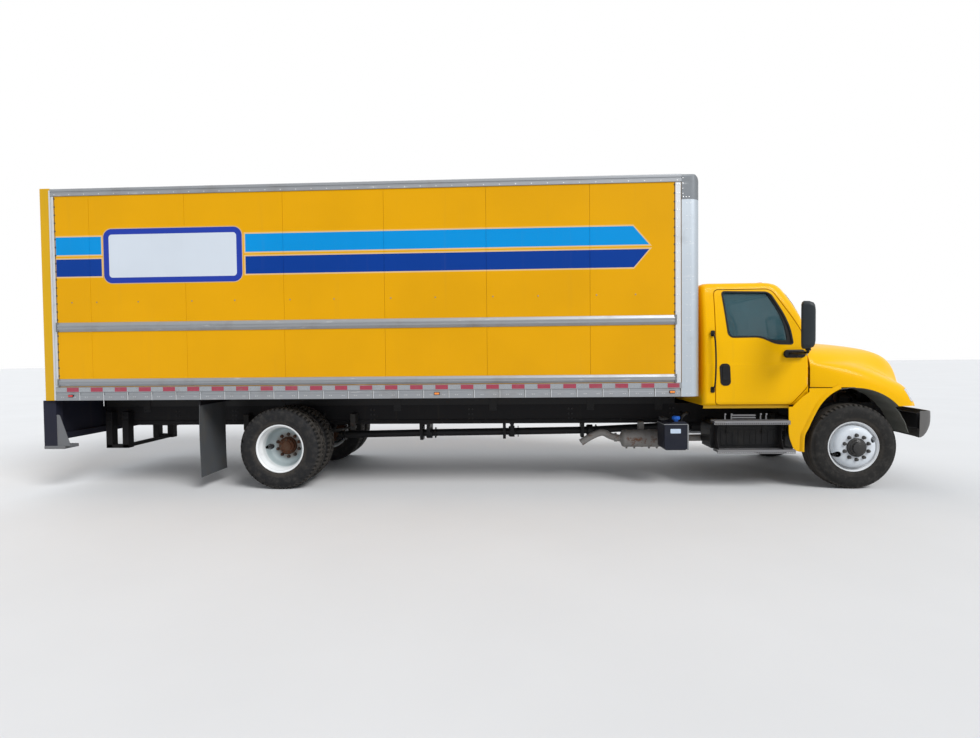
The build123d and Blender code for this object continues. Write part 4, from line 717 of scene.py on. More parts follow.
class Shape:
    """A mesh under way, shaped by bmesh operators in the frame's own axes."""

    def __init__(self) -> None:
        """Starts empty."""
        self.bm = bmesh.new()

    def _soften(self, edges: Iterable[bmesh.types.BMEdge], width: float, steps: int) -> None:
        """Rounds the given edges."""
        if width > 0.0:
            bmesh.ops.bevel(self.bm, geom=list(set(edges)), offset=width, offset_type="OFFSET",
                            segments=steps, profile=0.5, affect="EDGES", material=-1,
                            clamp_overlap=True)

    def box(self, low: Point, high: Point, soft: float = 0.0, steps: int = 2) -> "Shape":
        """Adds a block between two corners, with softened edges."""
        made = bmesh.ops.create_cube(self.bm, size=1.0)["verts"]
        a, b = Vector(low), Vector(high)
        bmesh.ops.scale(self.bm, vec=b - a, verts=made)
        bmesh.ops.translate(self.bm, vec=(a + b) / 2, verts=made)
        self._soften((e for v in made for e in v.link_edges), soft, steps)
        return self

    def rod(self, start: Point, end: Point, radius: float, tip: Optional[float] = None,
            sides: int = 24, soft: float = 0.0, steps: int = 2) -> "Shape":
        """Adds a round bar or a taper.

        Args:
            start: centre of its first end.
            end: centre of its other end.
            radius: radius at the start.
            tip: radius at the end, the same where it isn't given.
            sides: number of sides.
            soft: how far the end edges are rounded.
            steps: segments of that rounding.

        Returns:
            This shape.
        """
        a, b = Vector(start), Vector(end)
        turn = Vector((0.0, 0.0, 1.0)).rotation_difference(b - a).to_matrix().to_4x4()
        made = bmesh.ops.create_cone(
            self.bm, cap_ends=True, cap_tris=False, segments=sides, radius1=radius,
            radius2=radius if tip is None else tip, depth=(b - a).length,
            matrix=Matrix.Translation((a + b) / 2) @ turn)["verts"]
        caps = {f for v in made for f in v.link_faces if len(f.verts) == sides and sides > 4}
        self._soften((e for f in caps for e in f.edges), soft, steps)
        return self

    def prism(self, outline: Sequence[Sequence[float]], axis: str, low: float, high: float,
              soft: float = 0.0, steps: int = 2, round_steps: int = 5) -> "Shape":
        """Adds an outline drawn out along an axis.

        Args:
            outline: corners (a, b) or (a, b, radius) in the plane across the axis, in XYZ order.
            axis: X, Y or Z.
            low: where it starts.
            high: where it ends.
            soft: how far the end edges are rounded.
            steps: segments of that rounding.
            round_steps: segments of a rounded corner.

        Returns:
            This shape.
        """
        face = self.sheet(outline, axis, low, round_steps)
        drawn = bmesh.ops.extrude_face_region(self.bm, geom=[face])["geom"]
        moved = [g for g in drawn if isinstance(g, bmesh.types.BMVert)]
        step = {"X": (1, 0, 0), "Y": (0, 1, 0), "Z": (0, 0, 1)}[axis]
        bmesh.ops.translate(self.bm, vec=Vector(step) * (high - low), verts=moved)
        far = [g for g in drawn if isinstance(g, bmesh.types.BMFace)]
        self._soften([e for f in [face] + far for e in f.edges], soft, steps)
        return self

    def sheet(self, outline: Sequence[Sequence[float]], axis: str, at: float,
              round_steps: int = 5) -> bmesh.types.BMFace:
        """Adds one flat face with rounded corners, and returns it."""
        verts = []
        for a, b, *_ in outline:
            place = {"X": (at, a, b), "Y": (a, at, b), "Z": (a, b, at)}[axis]
            verts.append(self.bm.verts.new(place))
        face = self.bm.faces.new(verts)
        for vert, corner in zip(verts, outline):
            if len(corner) > 2 and corner[2] > 0.0:
                done = bmesh.ops.bevel(self.bm, geom=[vert], offset=corner[2], offset_type="OFFSET",
                                       segments=round_steps, profile=0.5, affect="VERTICES",
                                       material=-1, clamp_overlap=False)
                face = next((f for v in done["verts"] for f in v.link_faces), face)
        return face

    def loft(self, loops: Sequence[Sequence[Point]], closed: bool = True,
             caps: bool = True) -> "Shape":
        """Bridges a row of loops that have the same number of points."""
        rings, rows = [], []
        for loop in loops:
            verts = [self.bm.verts.new(p) for p in loop]
            count = len(verts) if closed else len(verts) - 1
            rings.append([self.bm.edges.new((verts[i], verts[(i + 1) % len(verts)]))
                          for i in range(count)])
            rows.append(verts)
        for first, second in zip(rings, rings[1:]):
            bmesh.ops.bridge_loops(self.bm, edges=first + second)
        if closed and caps:
            self.bm.faces.new(rows[0])
            self.bm.faces.new(rows[-1])
        return self

    def spun(self, profile: Sequence[Flat], centre: Point, steps: int = 64,
             axis: Point = (0.0, 1.0, 0.0)) -> "Shape":
        """Spins a profile of (radius, place along the axis) round an axis through the centre."""
        along = Vector(axis).normalized()
        across = Vector((0.0, 0.0, 1.0)) if abs(along.z) < 0.5 else Vector((1.0, 0.0, 0.0))
        across = (across - along * across.dot(along)).normalized()
        verts = [self.bm.verts.new(Vector(centre) + across * r + along * s) for r, s in profile]
        edges = [self.bm.edges.new(pair) for pair in zip(verts, verts[1:])]
        bmesh.ops.spin(self.bm, geom=verts + edges, cent=centre, axis=along, dvec=(0, 0, 0),
                       angle=2.0 * math.pi, steps=steps, use_merge=True, use_normal_flip=False,
                       use_duplicate=False)
        bmesh.ops.remove_doubles(self.bm, verts=self.bm.verts[:], dist=1e-6)
        return self

    def tube(self, points: Sequence[Point], radius: float, sides: int = 3, smooth: bool = True,
             steps: int = 8) -> "Shape":
        """Adds a bent bar or pipe along a few points."""
        curve = bpy.data.curves.new("route", "CURVE")
        curve.dimensions = "3D"
        curve.resolution_u = steps
        curve.bevel_depth = radius
        curve.bevel_resolution = sides
        curve.use_fill_caps = True
        spline = curve.splines.new("NURBS" if smooth else "POLY")
        spline.points.add(len(points) - 1)
        for held, point in zip(spline.points, points):
            held.co = (*point, 1.0)
        if smooth:
            spline.order_u = 3
            spline.use_endpoint_u = True
        held_by = bpy.data.objects.new("route", curve)
        mesh = bpy.data.meshes.new_from_object(held_by)
        self.bm.from_mesh(mesh)
        bpy.data.objects.remove(held_by)
        bpy.data.curves.remove(curve)
        bpy.data.meshes.remove(mesh)
        return self

    def copy(self) -> "Shape":
        """Another shape with the same mesh."""
        twin = Shape()
        twin.bm = self.bm.copy()
        return twin

    def mesh(self, name: str = "part") -> bpy.types.Mesh:
        """The shape as a mesh."""
        made = bpy.data.meshes.new(name)
        self.bm.to_mesh(made)
        return made

    def add(self, other: "Shape", *places: Matrix) -> "Shape":
        """Adds a copy of another shape at each place, or as it lies."""
        stamp = other.mesh()
        for place in places or (Matrix.Identity(4),):
            stamp.transform(place)
            self.bm.from_mesh(stamp)
            stamp.transform(place.inverted())
        bpy.data.meshes.remove(stamp)
        return self

    def move(self, x: float = 0.0, y: float = 0.0, z: float = 0.0) -> "Shape":
        """Shifts the whole shape."""
        bmesh.ops.translate(self.bm, vec=(x, y, z), verts=self.bm.verts[:])
        return self

    def on(self, side: Side) -> "Shape":
        """The left-hand shape as it lies on a side."""
        twin = self.copy()
        if side is Side.RIGHT:
            bmesh.ops.scale(twin.bm, vec=(1, -1, 1), verts=twin.bm.verts[:])
            bmesh.ops.reverse_faces(twin.bm, faces=twin.bm.faces[:])
        return twin

    def both(self) -> "Shape":
        """The left-hand shape with its right-hand twin."""
        return self.copy().add(self.on(Side.RIGHT))

    def weld(self, dist: float = 1e-5) -> "Shape":
        """Merges doubled points and turns all faces outwards."""
        bmesh.ops.remove_doubles(self.bm, verts=self.bm.verts[:], dist=dist)
        bmesh.ops.recalc_face_normals(self.bm, faces=self.bm.faces[:])
        return self

    def finer(self, levels: int) -> "Shape":
        """Subdivides the surface smoothly."""
        return self.shaped("SUBSURF", levels=levels, render_levels=levels,
                           boundary_smooth="PRESERVE_CORNERS")

    def thicken(self, depth: float) -> "Shape":
        """Gives a sheet a wall on its inner side."""
        return self.shaped("SOLIDIFY", thickness=depth, offset=-1.0, use_even_offset=True)

    def shaped(self, kind: str, **settings: object) -> "Shape":
        """Applies one modifier.

        Args:
            kind: the modifier's type.
            settings: its properties.

        Returns:
            This shape, with the result as its mesh.
        """
        mesh = self.mesh()
        held_by = bpy.data.objects.new("under_way", mesh)
        bpy.context.scene.collection.objects.link(held_by)
        modifier = held_by.modifiers.new("step", kind)
        for key, value in settings.items():
            setattr(modifier, key, value)
        bpy.context.view_layer.update()
        shaped = held_by.evaluated_get(bpy.context.evaluated_depsgraph_get())
        made = bpy.data.meshes.new_from_object(shaped)
        self.bm.free()
        self.bm = bmesh.new()
        self.bm.from_mesh(made)
        bpy.data.objects.remove(held_by)
        bpy.data.meshes.remove(mesh)
        bpy.data.meshes.remove(made)
        return self

    def cut(self, tool: "Shape", mode: str = "DIFFERENCE") -> "Shape":
        """Cuts this shape with another, or keeps what they share."""
        mesh = tool.mesh("tool")
        held_by = bpy.data.objects.new("tool", mesh)
        bpy.context.scene.collection.objects.link(held_by)
        self.shaped("BOOLEAN", operation=mode, object=held_by, solver="EXACT")
        bpy.data.objects.remove(held_by)
        bpy.data.meshes.remove(mesh)
        return self

    def soften(self, width: float, steps: int = 2, angle: float = 40.0) -> "Shape":
        """Rounds every edge whose faces meet at more than an angle."""
        limit = math.radians(angle)
        folds = (e for e in self.bm.edges if len(e.link_faces) == 2)
        sharp = [e for e in folds if e.calc_face_angle(0.0) > limit]
        self._soften(sharp, width, steps)
        return self


def rivet(radius: float = 0.006, height: float = 0.0035, sides: int = 8) -> Shape:
    """One domed rivet head that points along +Y, with its seat at the origin."""
    dome = Shape()
    dome.rod((0, -0.001, 0), (0, height * 0.55, 0), radius, sides=sides)
    dome.rod((0, height * 0.55, 0), (0, height, 0), radius * 0.93, radius * 0.45, sides=sides)
    return dome


def bolt(radius: float = 0.010, height: float = 0.007) -> Shape:
    """One hexagon bolt head on its washer, pointing along +Y."""
    head = Shape()
    head.rod((0, -0.001, 0), (0, 0.0015, 0), radius * 1.45, sides=16)
    head.rod((0, 0.0015, 0), (0, height, 0), radius, sides=6)
    return head


def at(x: float, y: float, z: float) -> Matrix:
    """A place."""
    return Matrix.Translation((x, y, z))


def spread(low: float, high: float, pitch: float) -> list[float]:
    """Evenly spaced places from low to high, about a pitch apart."""
    count = max(1, round((high - low) / pitch))
    return [low + (high - low) * i / count for i in range(count + 1)]


# Pieces


def make_piece(shape: Shape, name: str, finish: Finish, body: str, replaces: Sequence[str] = (),
               sharp: float = 38.0, flat: bool = True) -> bpy.types.Object:
    """Turns a shape into a finished piece of the truck.

    Args:
        shape: the mesh, which is used up.
        name: the piece's name.
        finish: what covers it.
        body: the body it rides on.
        replaces: CAD nodes that it stands for.
        sharp: angle in degrees past which an edge stays sharp.
        flat: whether large faces keep their own flat shading.

    Returns:
        The piece.
    """
    bmesh.ops.recalc_face_normals(shape.bm, faces=shape.bm.faces[:])
    for face in shape.bm.faces:
        face.smooth = True
    mesh = shape.mesh(name)
    shape.bm.free()
    mesh.set_sharp_from_angle(angle=math.radians(sharp))
    mesh.materials.append(finish.material())
    piece = bpy.data.objects.new(name, mesh)
    bpy.context.scene.collection.objects.link(piece)
    if flat:
        piece.modifiers.new("even_shading", "WEIGHTED_NORMAL").keep_sharp = True
    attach(piece, body)
    if replaces:
        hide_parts(*replaces)
    log.info("%s: %d faces on %s", name, len(mesh.polygons), body)
    return piece


def make_pieces(body: str, *rows: tuple) -> None:
    """Makes pieces of one body from rows of shape, name, finish and the nodes that it replaces."""
    for shape, name, finish, *replaces in rows:
        make_piece(shape, name, finish, body, replaces)


def node_shape(nodes: dict[str, bpy.types.Object], *names: str) -> Shape:
    """A merged copy of CAD nodes' meshes, with flat faces joined."""
    copy = Shape()
    for name in names:
        copy.bm.from_mesh(nodes[name].data)
    bmesh.ops.remove_doubles(copy.bm, verts=copy.bm.verts[:], dist=2e-5)
    bmesh.ops.dissolve_limit(copy.bm, angle_limit=math.radians(1.0), use_dissolve_boundaries=False,
                             verts=copy.bm.verts[:], edges=copy.bm.edges[:])
    return copy


def dress(nodes: dict[str, bpy.types.Object], name: str, finish: Finish) -> None:
    """Covers a CAD node as it is."""
    mesh = nodes[name].data
    mesh.materials.clear()
    mesh.materials.append(finish.material())


# Wheels and tyres


@dataclass
class Tyre:
    """A truck tyre with grooved ribs, shoulder lugs and a ringed side wall, on the left side.

    Attributes:
        radius: outer radius.
        groove: half width and depth of a main groove.
        grooves: where the main grooves lie across the tread.
        steps: steps round the tyre.
        drive: whether the ribs are cut into drive lugs.
    """

    radius: float = 0.506
    groove: Flat = (0.0048, 0.0130)
    grooves: tuple[float, ...] = (0.024, 0.069)
    steps: int = 162
    drive: bool = False

    def profile(self) -> list[Flat]:
        """Half a section from the middle of the tread to the bead, as (radius, across)."""
        half, depth = self.groove

        def crown(s: float) -> float:
            return self.radius - 0.0075 * (s / 0.108) ** 2
        points = [(crown(0.0), 0.0)]
        for s in self.grooves:
            points += [(crown(s), s - half), (crown(s) - depth, s - half + 0.0016),
                       (crown(s) - depth, s + half - 0.0016), (crown(s), s + half)]
        points += [
            (crown(0.092), 0.092), (0.4975, 0.1045), (0.4930, 0.1085), (0.4850, 0.1120),
            (0.4730, 0.1165), (0.4620, 0.1215), (0.4560, 0.1262), (0.4500, 0.1300),
            (0.4380, 0.1345), (0.4200, 0.1375), (0.4020, 0.1380), (0.3830, 0.1372),
            (0.3650, 0.1352), (0.3600, 0.1362), (0.3560, 0.1340), (0.3400, 0.1302),
            (0.3280, 0.1262), (0.3240, 0.1268), (0.3200, 0.1232), (0.3100, 0.1175),
            (0.3020, 0.1130), (0.2960, 0.1050), (0.2872, 0.1030),
        ]
        return points

    def build(self, centre: Point) -> Shape:
        """The tyre about its axle centre."""
        half = self.profile()
        section = [(r, -s) for r, s in half[:0:-1]] + half
        shape = Shape().spun(section + section[:1], centre, self.steps)
        step = 2.0 * math.pi / self.steps
        middle = Vector(centre)
        inner = self.grooves[-1] + self.groove[0]
        notched = []
        for face in shape.bm.faces:
            d = face.calc_center_median() - middle
            r, s = math.hypot(d.x, d.z), abs(d.y)
            k = math.floor((math.atan2(d.x, d.z) % (2.0 * math.pi)) / step + 1e-6)
            if d.y < 0:
                k += 1
            shoulder = inner < s < (0.1170 if self.drive else 0.1130) and r > 0.455 and k % 3 == 0
            centre_rib = r > 0.494 and s < inner - 2 * self.groove[0]
            rib = self.drive and centre_rib and (k + (0 if s < 0.02 else 1)) % 3 == 1
            if shoulder or rib:
                notched.append(face)
        drawn = bmesh.ops.extrude_face_region(shape.bm, geom=notched)["geom"]
        for vert in (g for g in drawn if isinstance(g, bmesh.types.BMVert)):
            d = vert.co - middle
            r = math.hypot(d.x, d.z)
            keep = max(0.4545, r - (0.006 if self.drive else 0.003)) / r
            vert.co = middle + Vector((d.x * keep, d.y, d.z * keep))
        return shape


@dataclass
class DiscWheel:
    """A pressed steel disc wheel, its rim and its dish, with the dish outboard on the left side.

    Attributes:
        offset: from the rim's middle to the mounting face.
        hole_turns: angles in degrees of the hand holes, seen from outside the left wheel.
    """

    offset: float = 0.167
    hole_turns: tuple[float, ...] = (45.0, 225.0)
    rim: tuple[Flat, ...] = (
        (0.2980, 0.1150), (0.2968, 0.1170), (0.2935, 0.1170), (0.2905, 0.1150), (0.2870, 0.1080),
        (0.2810, 0.1065), (0.2760, 0.0980), (0.2745, 0.0680), (0.2680, 0.0600), (0.2540, 0.0500),
        (0.2530, 0.0100), (0.2530, -0.0320), (0.2740, -0.0600), (0.2770, -0.1070),
        (0.2880, -0.1170), (0.2980, -0.1170), (0.2980, -0.1050), (0.2860, -0.1030),
        (0.2830, -0.0620), (0.2620, -0.0340), (0.2620, 0.0520), (0.2830, 0.0700), (0.2860, 0.1030),
        (0.2950, 0.1040), (0.2980, 0.1080),
    )
    dish: tuple[Flat, ...] = (
        (0.1103, 0.1550), (0.1103, 0.1655), (0.1118, 0.1670), (0.1650, 0.1670), (0.1850, 0.1645),
        (0.2050, 0.1580), (0.2250, 0.1480), (0.2400, 0.1340), (0.2490, 0.1100), (0.2530, 0.0600),
        (0.2530, 0.0280), (0.2405, 0.1020), (0.2320, 0.1250), (0.2190, 0.1380), (0.2015, 0.1475),
        (0.1830, 0.1535), (0.1650, 0.1558),
    )

    def build(self, centre: Point) -> Shape:
        """The wheel about the middle of its rim."""
        rim = Shape().spun(self.rim + self.rim[:1], centre, 96).weld()
        dish = Shape().spun(self.dish + self.dish[:1], centre, 96).weld()
        holes = Shape()
        for turn in self.hole_turns:
            x = centre[0] + 0.220 * math.cos(math.radians(turn))
            z = centre[2] + 0.220 * math.sin(math.radians(turn))
            holes.rod((x, centre[1] + 0.02, z), (x, centre[1] + 0.25, z), 0.036, sides=32)
        dish.cut(holes)
        dish.soften(0.0016, 2, 50.0)
        return rim.add(dish)


@dataclass
class Hub:
    """A hub with its drum and ten wheel nuts, on the left side.

    Attributes:
        profile: (radius, place along the axle) from the drum's rim to the cap.
        seat: where the nuts stand.
        circle: radius of the stud circle.
        studs: number of nuts.
    """

    profile: tuple[Flat, ...]
    seat: float
    circle: float = 0.1429
    studs: int = 10

    def body(self, centre: Point) -> Shape:
        """Drum, flange and cap."""
        return Shape().spun(self.profile, centre, 72).weld().soften(0.002, 2, 25.0)

    def nuts(self, centre: Point) -> Shape:
        """Flanged nuts on their studs."""
        nut = Shape()
        nut.rod((0, 0, 0), (0, 0.004, 0), 0.0225, 0.0205, sides=24)
        nut.rod((0, 0.004, 0), (0, 0.0255, 0), 0.0185, sides=6, soft=0.0012)
        nut.rod((0, 0.0255, 0), (0, 0.0295, 0), 0.0105, 0.0095, sides=16)
        ring = Shape()
        for i in range(self.studs):
            a = 2.0 * math.pi * (i + 0.5) / self.studs
            place = at(centre[0] + self.circle * math.cos(a), centre[1] + self.seat,
                       centre[2] + self.circle * math.sin(a))
            ring.add(nut, place @ Matrix.Rotation(a * 1.7, 4, "Y"))
        return ring


@dataclass
class RunningGear:
    """All six tyres with their wheels and hubs."""

    front_y: float = 1.025
    rear_face_y: float = 0.910
    front_hub: Hub = field(default_factory=lambda: Hub(seat=0.167, profile=(
        (0.0, -0.088), (0.205, -0.088), (0.205, 0.058), (0.120, 0.072), (0.120, 0.118),
        (0.165, 0.124), (0.165, 0.1545), (0.1100, 0.1545), (0.1100, 0.182), (0.1060, 0.186),
        (0.0960, 0.188), (0.0930, 0.192), (0.0860, 0.205), (0.0800, 0.208), (0.0740, 0.208),
        (0.0720, 0.214), (0.0700, 0.2285), (0.0660, 0.2325), (0.0480, 0.2340), (0.0440, 0.2360),
        (0.0240, 0.2360), (0.0220, 0.2375), (0.0, 0.2375))))
    rear_hub: Hub = field(default_factory=lambda: Hub(seat=0.012, profile=(
        (0.0, -0.236), (0.212, -0.236), (0.212, -0.058), (0.165, -0.046), (0.165, -0.0125),
        (0.1098, -0.0125), (0.1098, 0.049), (0.1060, 0.052), (0.0960, 0.054), (0.0960, 0.076),
        (0.0900, 0.079), (0.0660, 0.081), (0.0600, 0.090), (0.0420, 0.0915), (0.0, 0.0915))))

    def half_shaft_bolts(self, centre: Point) -> Shape:
        """The ring of small bolts round the rear drive flange."""
        bolts = Shape()
        for i in range(8):
            a = 2.0 * math.pi * i / 8
            bolts.add(bolt(0.0075, 0.012), at(centre[0] + 0.080 * math.cos(a), centre[1] + 0.079,
                                              centre[2] + 0.080 * math.sin(a)))
        return bolts

    def valve(self, centre: Point, turn: float, face: float) -> Shape:
        """A bent valve stem that comes out through a hand hole."""
        c, s = math.cos(math.radians(turn)), math.sin(math.radians(turn))
        route = [(centre[0] + r * c, centre[1] + y, centre[2] + r * s)
                 for r, y in ((0.245, face - 0.02), (0.225, face + 0.005), (0.216, face + 0.045))]
        return Shape().tube(route, 0.0042, sides=2)

    def build(self) -> None:
        """Makes the tyres, wheels and hubs of both sides."""
        front_tyre = Tyre(steps=162).build((FRONT_AXLE_X, self.front_y, AXLE_Z))
        front = (FRONT_AXLE_X, self.front_y, AXLE_Z)
        outer = (REAR_AXLE_X, self.rear_face_y + DiscWheel.offset, AXLE_Z)
        inner = (REAR_AXLE_X, self.rear_face_y - DiscWheel.offset, AXLE_Z)
        face = (REAR_AXLE_X, self.rear_face_y, AXLE_Z)
        drive_tyre = Tyre(steps=162, drive=True, grooves=(0.030, 0.071))
        rear_tyres = drive_tyre.build(outer).add(drive_tyre.build(inner))
        front_wheel = DiscWheel(hole_turns=(23.0, 203.0)).build(front)
        plain = DiscWheel(hole_turns=(3.0, 183.0)).build((REAR_AXLE_X, 0.0, AXLE_Z))
        rear_wheels = plain.on(Side.RIGHT).move(y=outer[1]).add(plain.move(y=inner[1]))
        rear_hub = self.rear_hub.body(face)
        rear_nuts = self.rear_hub.nuts(face).add(self.half_shaft_bolts(face))
        front_nuts = self.front_hub.nuts(front)
        front_nuts.add(self.valve(front, 203.0, 0.10))
        rear_nuts.add(self.valve(outer, 183.0, -0.12))
        front_hub = self.front_hub.body(front)
        for side in Side:
            word = side.word
            spin, spins = f"wheel_front_{word}", f"wheels_rear_{word}"
            make_pieces(
                spin,
                (front_tyre.on(side), f"front_tyre_{word}", Look.TYRE_FRONT, f"tyre_front_{word}"),
                (front_wheel.on(side), f"front_disc_{word}", Look.WHEEL_FRONT, spin),
                (front_hub.on(side), f"front_hub_{word}", Look.HUB_BLACK),
                (front_nuts.on(side), f"front_nuts_{word}", Look.NUT),
            )
            make_pieces(
                spins,
                (rear_tyres.on(side), f"rear_tyres_{word}", Look.TYRE_REAR, f"tyres_rear_{word}"),
                (rear_wheels.on(side), f"rear_discs_{word}", Look.WHEEL_REAR, spins),
                (rear_hub.on(side), f"rear_hub_{word}", Look.HUB_RUST),
                (rear_nuts.on(side), f"rear_nuts_{word}", Look.NUT_RUST),
            )


# Freight body


@dataclass
class FreightBody:
    """The long dry-freight body: walls, rails, posts, roof, portal and rear door."""

    nodes: dict[str, bpy.types.Object]
    back: float = -9.805
    front: float = -1.825
    wall: float = 1.270
    proud: float = 1.280
    floor_z: float = 1.125
    panel_z: Flat = (1.290, 3.630)
    top_z: float = 3.722
    seams: tuple[float, ...] = (-9.680, -9.199, -8.001, -6.785, -5.558, -4.333, -3.111, -2.050)
    sign_x: Flat = (-9.020, -7.290)
    sign_z: Flat = (2.560, 3.220)
    beam_pitch: float = 0.3048
    door_panels: int = 8

    def panels(self) -> Shape:
        """The side wall as separate sheets with a fine gap at each seam."""
        wall = Shape()
        for a, b in zip(self.seams, self.seams[1:]):
            wall.box((ahead(a) + 0.0012, self.wall - 0.020, self.panel_z[0]),
                     (ahead(b) - 0.0012, self.wall, self.panel_z[1]), soft=0.0012, steps=2)
        wall.box((ahead(self.seams[0]), self.wall - 0.025, self.panel_z[0]),
                 (ahead(self.seams[-1]), self.wall - 0.020, self.panel_z[1]))
        return wall

    def end_strips(self) -> Shape:
        """Bright strips that hold the wall's two ends."""
        strips = Shape()
        for x0, x1 in ((-9.682, -9.640), (-2.118, -2.056)):
            strips.box((ahead(x0), self.wall, self.panel_z[0] + 0.001),
                       (ahead(x1), self.wall + 0.0028, self.panel_z[1] - 0.001), soft=0.0008)
        return strips

    def scallops(self) -> Shape:
        """The dark sealant line with a swelling at each rivet, beside the end strips."""
        line = Shape()
        bead = Shape().rod((0, -0.0005, 0), (0, 0.0014, 0), 0.0125, sides=12)
        for x in (-9.632, -2.126):
            line.box((ahead(x) - 0.004, self.wall, self.panel_z[0] + 0.002),
                     (ahead(x) + 0.004, self.wall + 0.0012, self.panel_z[1] - 0.002))
            line.add(bead, *(at(ahead(x), self.wall, z) for z in spread(1.33, 3.60, 0.1)))
        return line

    def rivets(self) -> Shape:
        """Rivet rows of one side: end strips, top rail, bottom rail, posts and inner posts."""
        rows = Shape()
        head = rivet(0.0065, 0.0034)
        for x in (-9.661, -2.098, -2.072):
            rows.add(head, *(at(ahead(x), self.wall + 0.0028, z) for z in spread(1.33, 3.60, 0.1)))
        rows.add(head, *(at(ahead(x), self.proud, 3.648) for x in spread(-9.62, -2.10, 0.19)))
        small = rivet(0.0048, 0.0026)
        for x in spread(-9.60, -2.12, self.beam_pitch / 2):
            rows.add(small, at(ahead(x), self.proud, 1.166),
                     at(ahead(x) + 0.022, self.proud, 1.166))
        for x in (-1.990, -1.950):
            rows.add(small, *(at(ahead(x), self.proud, z) for z in spread(1.16, 3.38, 0.15)))
        return rows

    def inner_bolts(self) -> Shape:
        """Bolt heads of the lashing rail that show through the wall."""
        row = Shape()
        head = rivet(0.0085, 0.0036, 10)
        for seam_a, seam_b in zip(self.seams, self.seams[1:]):
            middle = (seam_a + seam_b) / 2
            places = [x for x in (seam_a + 0.075, middle) if x > -9.6]
            row.add(head, *(at(ahead(x), self.wall, 2.330) for x in places))
        return row

    def rail_joints(self) -> Shape:
        """Thin raised ribs where the beams meet the bottom rail's lower flange."""
        ribs = Shape()
        for low in self.joints():
            ribs.box((low + 0.006, self.proud - 0.002, 1.128),
                     (low + 0.014, self.proud + 0.0030, 1.222), soft=0.0008)
        return ribs

    def joints(self) -> list[float]:
        """Where a floor beam ends at the bottom rail."""
        first = -9.530 + self.beam_pitch / 2
        return [ahead(first + self.beam_pitch * i) for i in range(25)]

    def rail_gaps(self) -> Shape:
        """Dark gaps beside the ribs."""
        gaps = Shape()
        for low in self.joints():
            gaps.box((low + 0.001, self.proud - 0.002, 1.128),
                     (low + 0.006, self.proud + 0.0006, 1.222))
        return gaps

    def tape(self, first: float) -> Shape:
        """Blocks of one colour of the tape on the bottom rail.

        Args:
            first: where the first block starts, ahead of the front axle.

        Returns:
            The blocks of one side.
        """
        blocks = Shape()
        x = first
        while x < -2.08:
            end = min(x + self.beam_pitch / 2, -2.075)
            blocks.box((ahead(x) + 0.0006, self.proud - 0.0002, 1.232),
                       (ahead(end) - 0.0006, self.proud + 0.0007, 1.284))
            x += self.beam_pitch
        return blocks

    def rub_ends(self) -> Shape:
        """Dark cast ends of the two rub rails."""
        ends = Shape()
        for z, height in ((2.028, 0.112), (1.344, 0.092)):
            for x0, x1 in ((-9.640, -9.612), (-2.134, -2.106)):
                ends.box((ahead(x0), self.wall, z - height / 2 - 0.002),
                         (ahead(x1), self.wall + 0.0245, z + height / 2 + 0.002), soft=0.006,
                         steps=3)
        return ends

    def rub_rails(self) -> Shape:
        """The two ribbed rub rails of one side."""
        rails = Shape()
        for z, height in ((2.028, 0.112), (1.344, 0.092)):
            h, y = height / 2, self.wall
            rails.prism([(y, z - h), (y + 0.0060, z - h), (y + 0.0095, z - h + 0.004),
                         (y + 0.0220, z - 0.48 * h, 0.008), (y + 0.0245, z - 0.40 * h, 0.004),
                         (y + 0.0245, z - 0.12 * h), (y + 0.0215, z - 0.08 * h),
                         (y + 0.0215, z + 0.08 * h), (y + 0.0245, z + 0.12 * h),
                         (y + 0.0245, z + 0.40 * h, 0.004), (y + 0.0220, z + 0.48 * h, 0.008),
                         (y + 0.0095, z + h - 0.004), (y + 0.0060, z + h), (y, z + h)], "X",
                        ahead(-9.625), ahead(-2.120), round_steps=3)
        return rails

    def long_rails(self) -> Shape:
        """Bottom and top rails of one side, with their lips and drip edge."""
        inner, p, low, top = self.wall - 0.025, self.proud, self.floor_z, self.top_z
        rails = Shape()
        rails.prism([(inner, low), (p - 0.0015, low), (p, low + 0.0015), (p, low + 0.060),
                     (p - 0.006, low + 0.066), (p - 0.006, low + 0.094), (p, low + 0.100),
                     (p, low + 0.162), (p - 0.003, low + 0.165), (inner, low + 0.165)], "X",
                    ahead(self.seams[0]), ahead(self.seams[-1]))
        rails.prism([(inner, top - 0.092), (p - 0.003, top - 0.092), (p, top - 0.089),
                     (p, top - 0.052), (p - 0.006, top - 0.048), (p - 0.006, top - 0.040),
                     (p, top - 0.036, 0.002), (p, top - 0.006, 0.004), (p - 0.010, top),
                     (inner, top)], "X", ahead(self.seams[0]), ahead(self.seams[-1]), round_steps=3)
        return rails

    def sign(self, inset: float, height: float) -> Shape:
        """One layer of the blank sign on the wall, drawn in by inset and this high."""
        (a, b), (c, d) = self.sign_x, self.sign_z
        r = max(0.04, 0.105 - inset)
        return Shape().prism(rect((ahead(a) + inset, ahead(b) - inset), (c + inset, d - inset), r),
                             "Y", self.wall - 0.0005, self.wall + height, soft=0.0003, steps=1,
                             round_steps=10)

    def nose(self) -> tuple[Shape, Shape, Shape]:
        """Front wall with its posts, split into shell, cast corner caps and painted face."""
        shell = node_shape(self.nodes, "box_front")
        region = Shape()
        for s in (1, -1):
            y0, y1 = span(s, 1.115, 1.40)
            region.box((ahead(-2.070), y0, 3.425), (ahead(-1.70), y1, 3.80))
        caps = shell.copy().cut(region, "INTERSECT")
        shell.cut(region)
        face = Shape().prism(rect((-1.150, 1.150), (1.150, 3.590), 0.01), "X",
                             ahead(self.front) - 0.001, ahead(self.front) + 0.0025, soft=0.001,
                             steps=1)
        return shell, caps, face

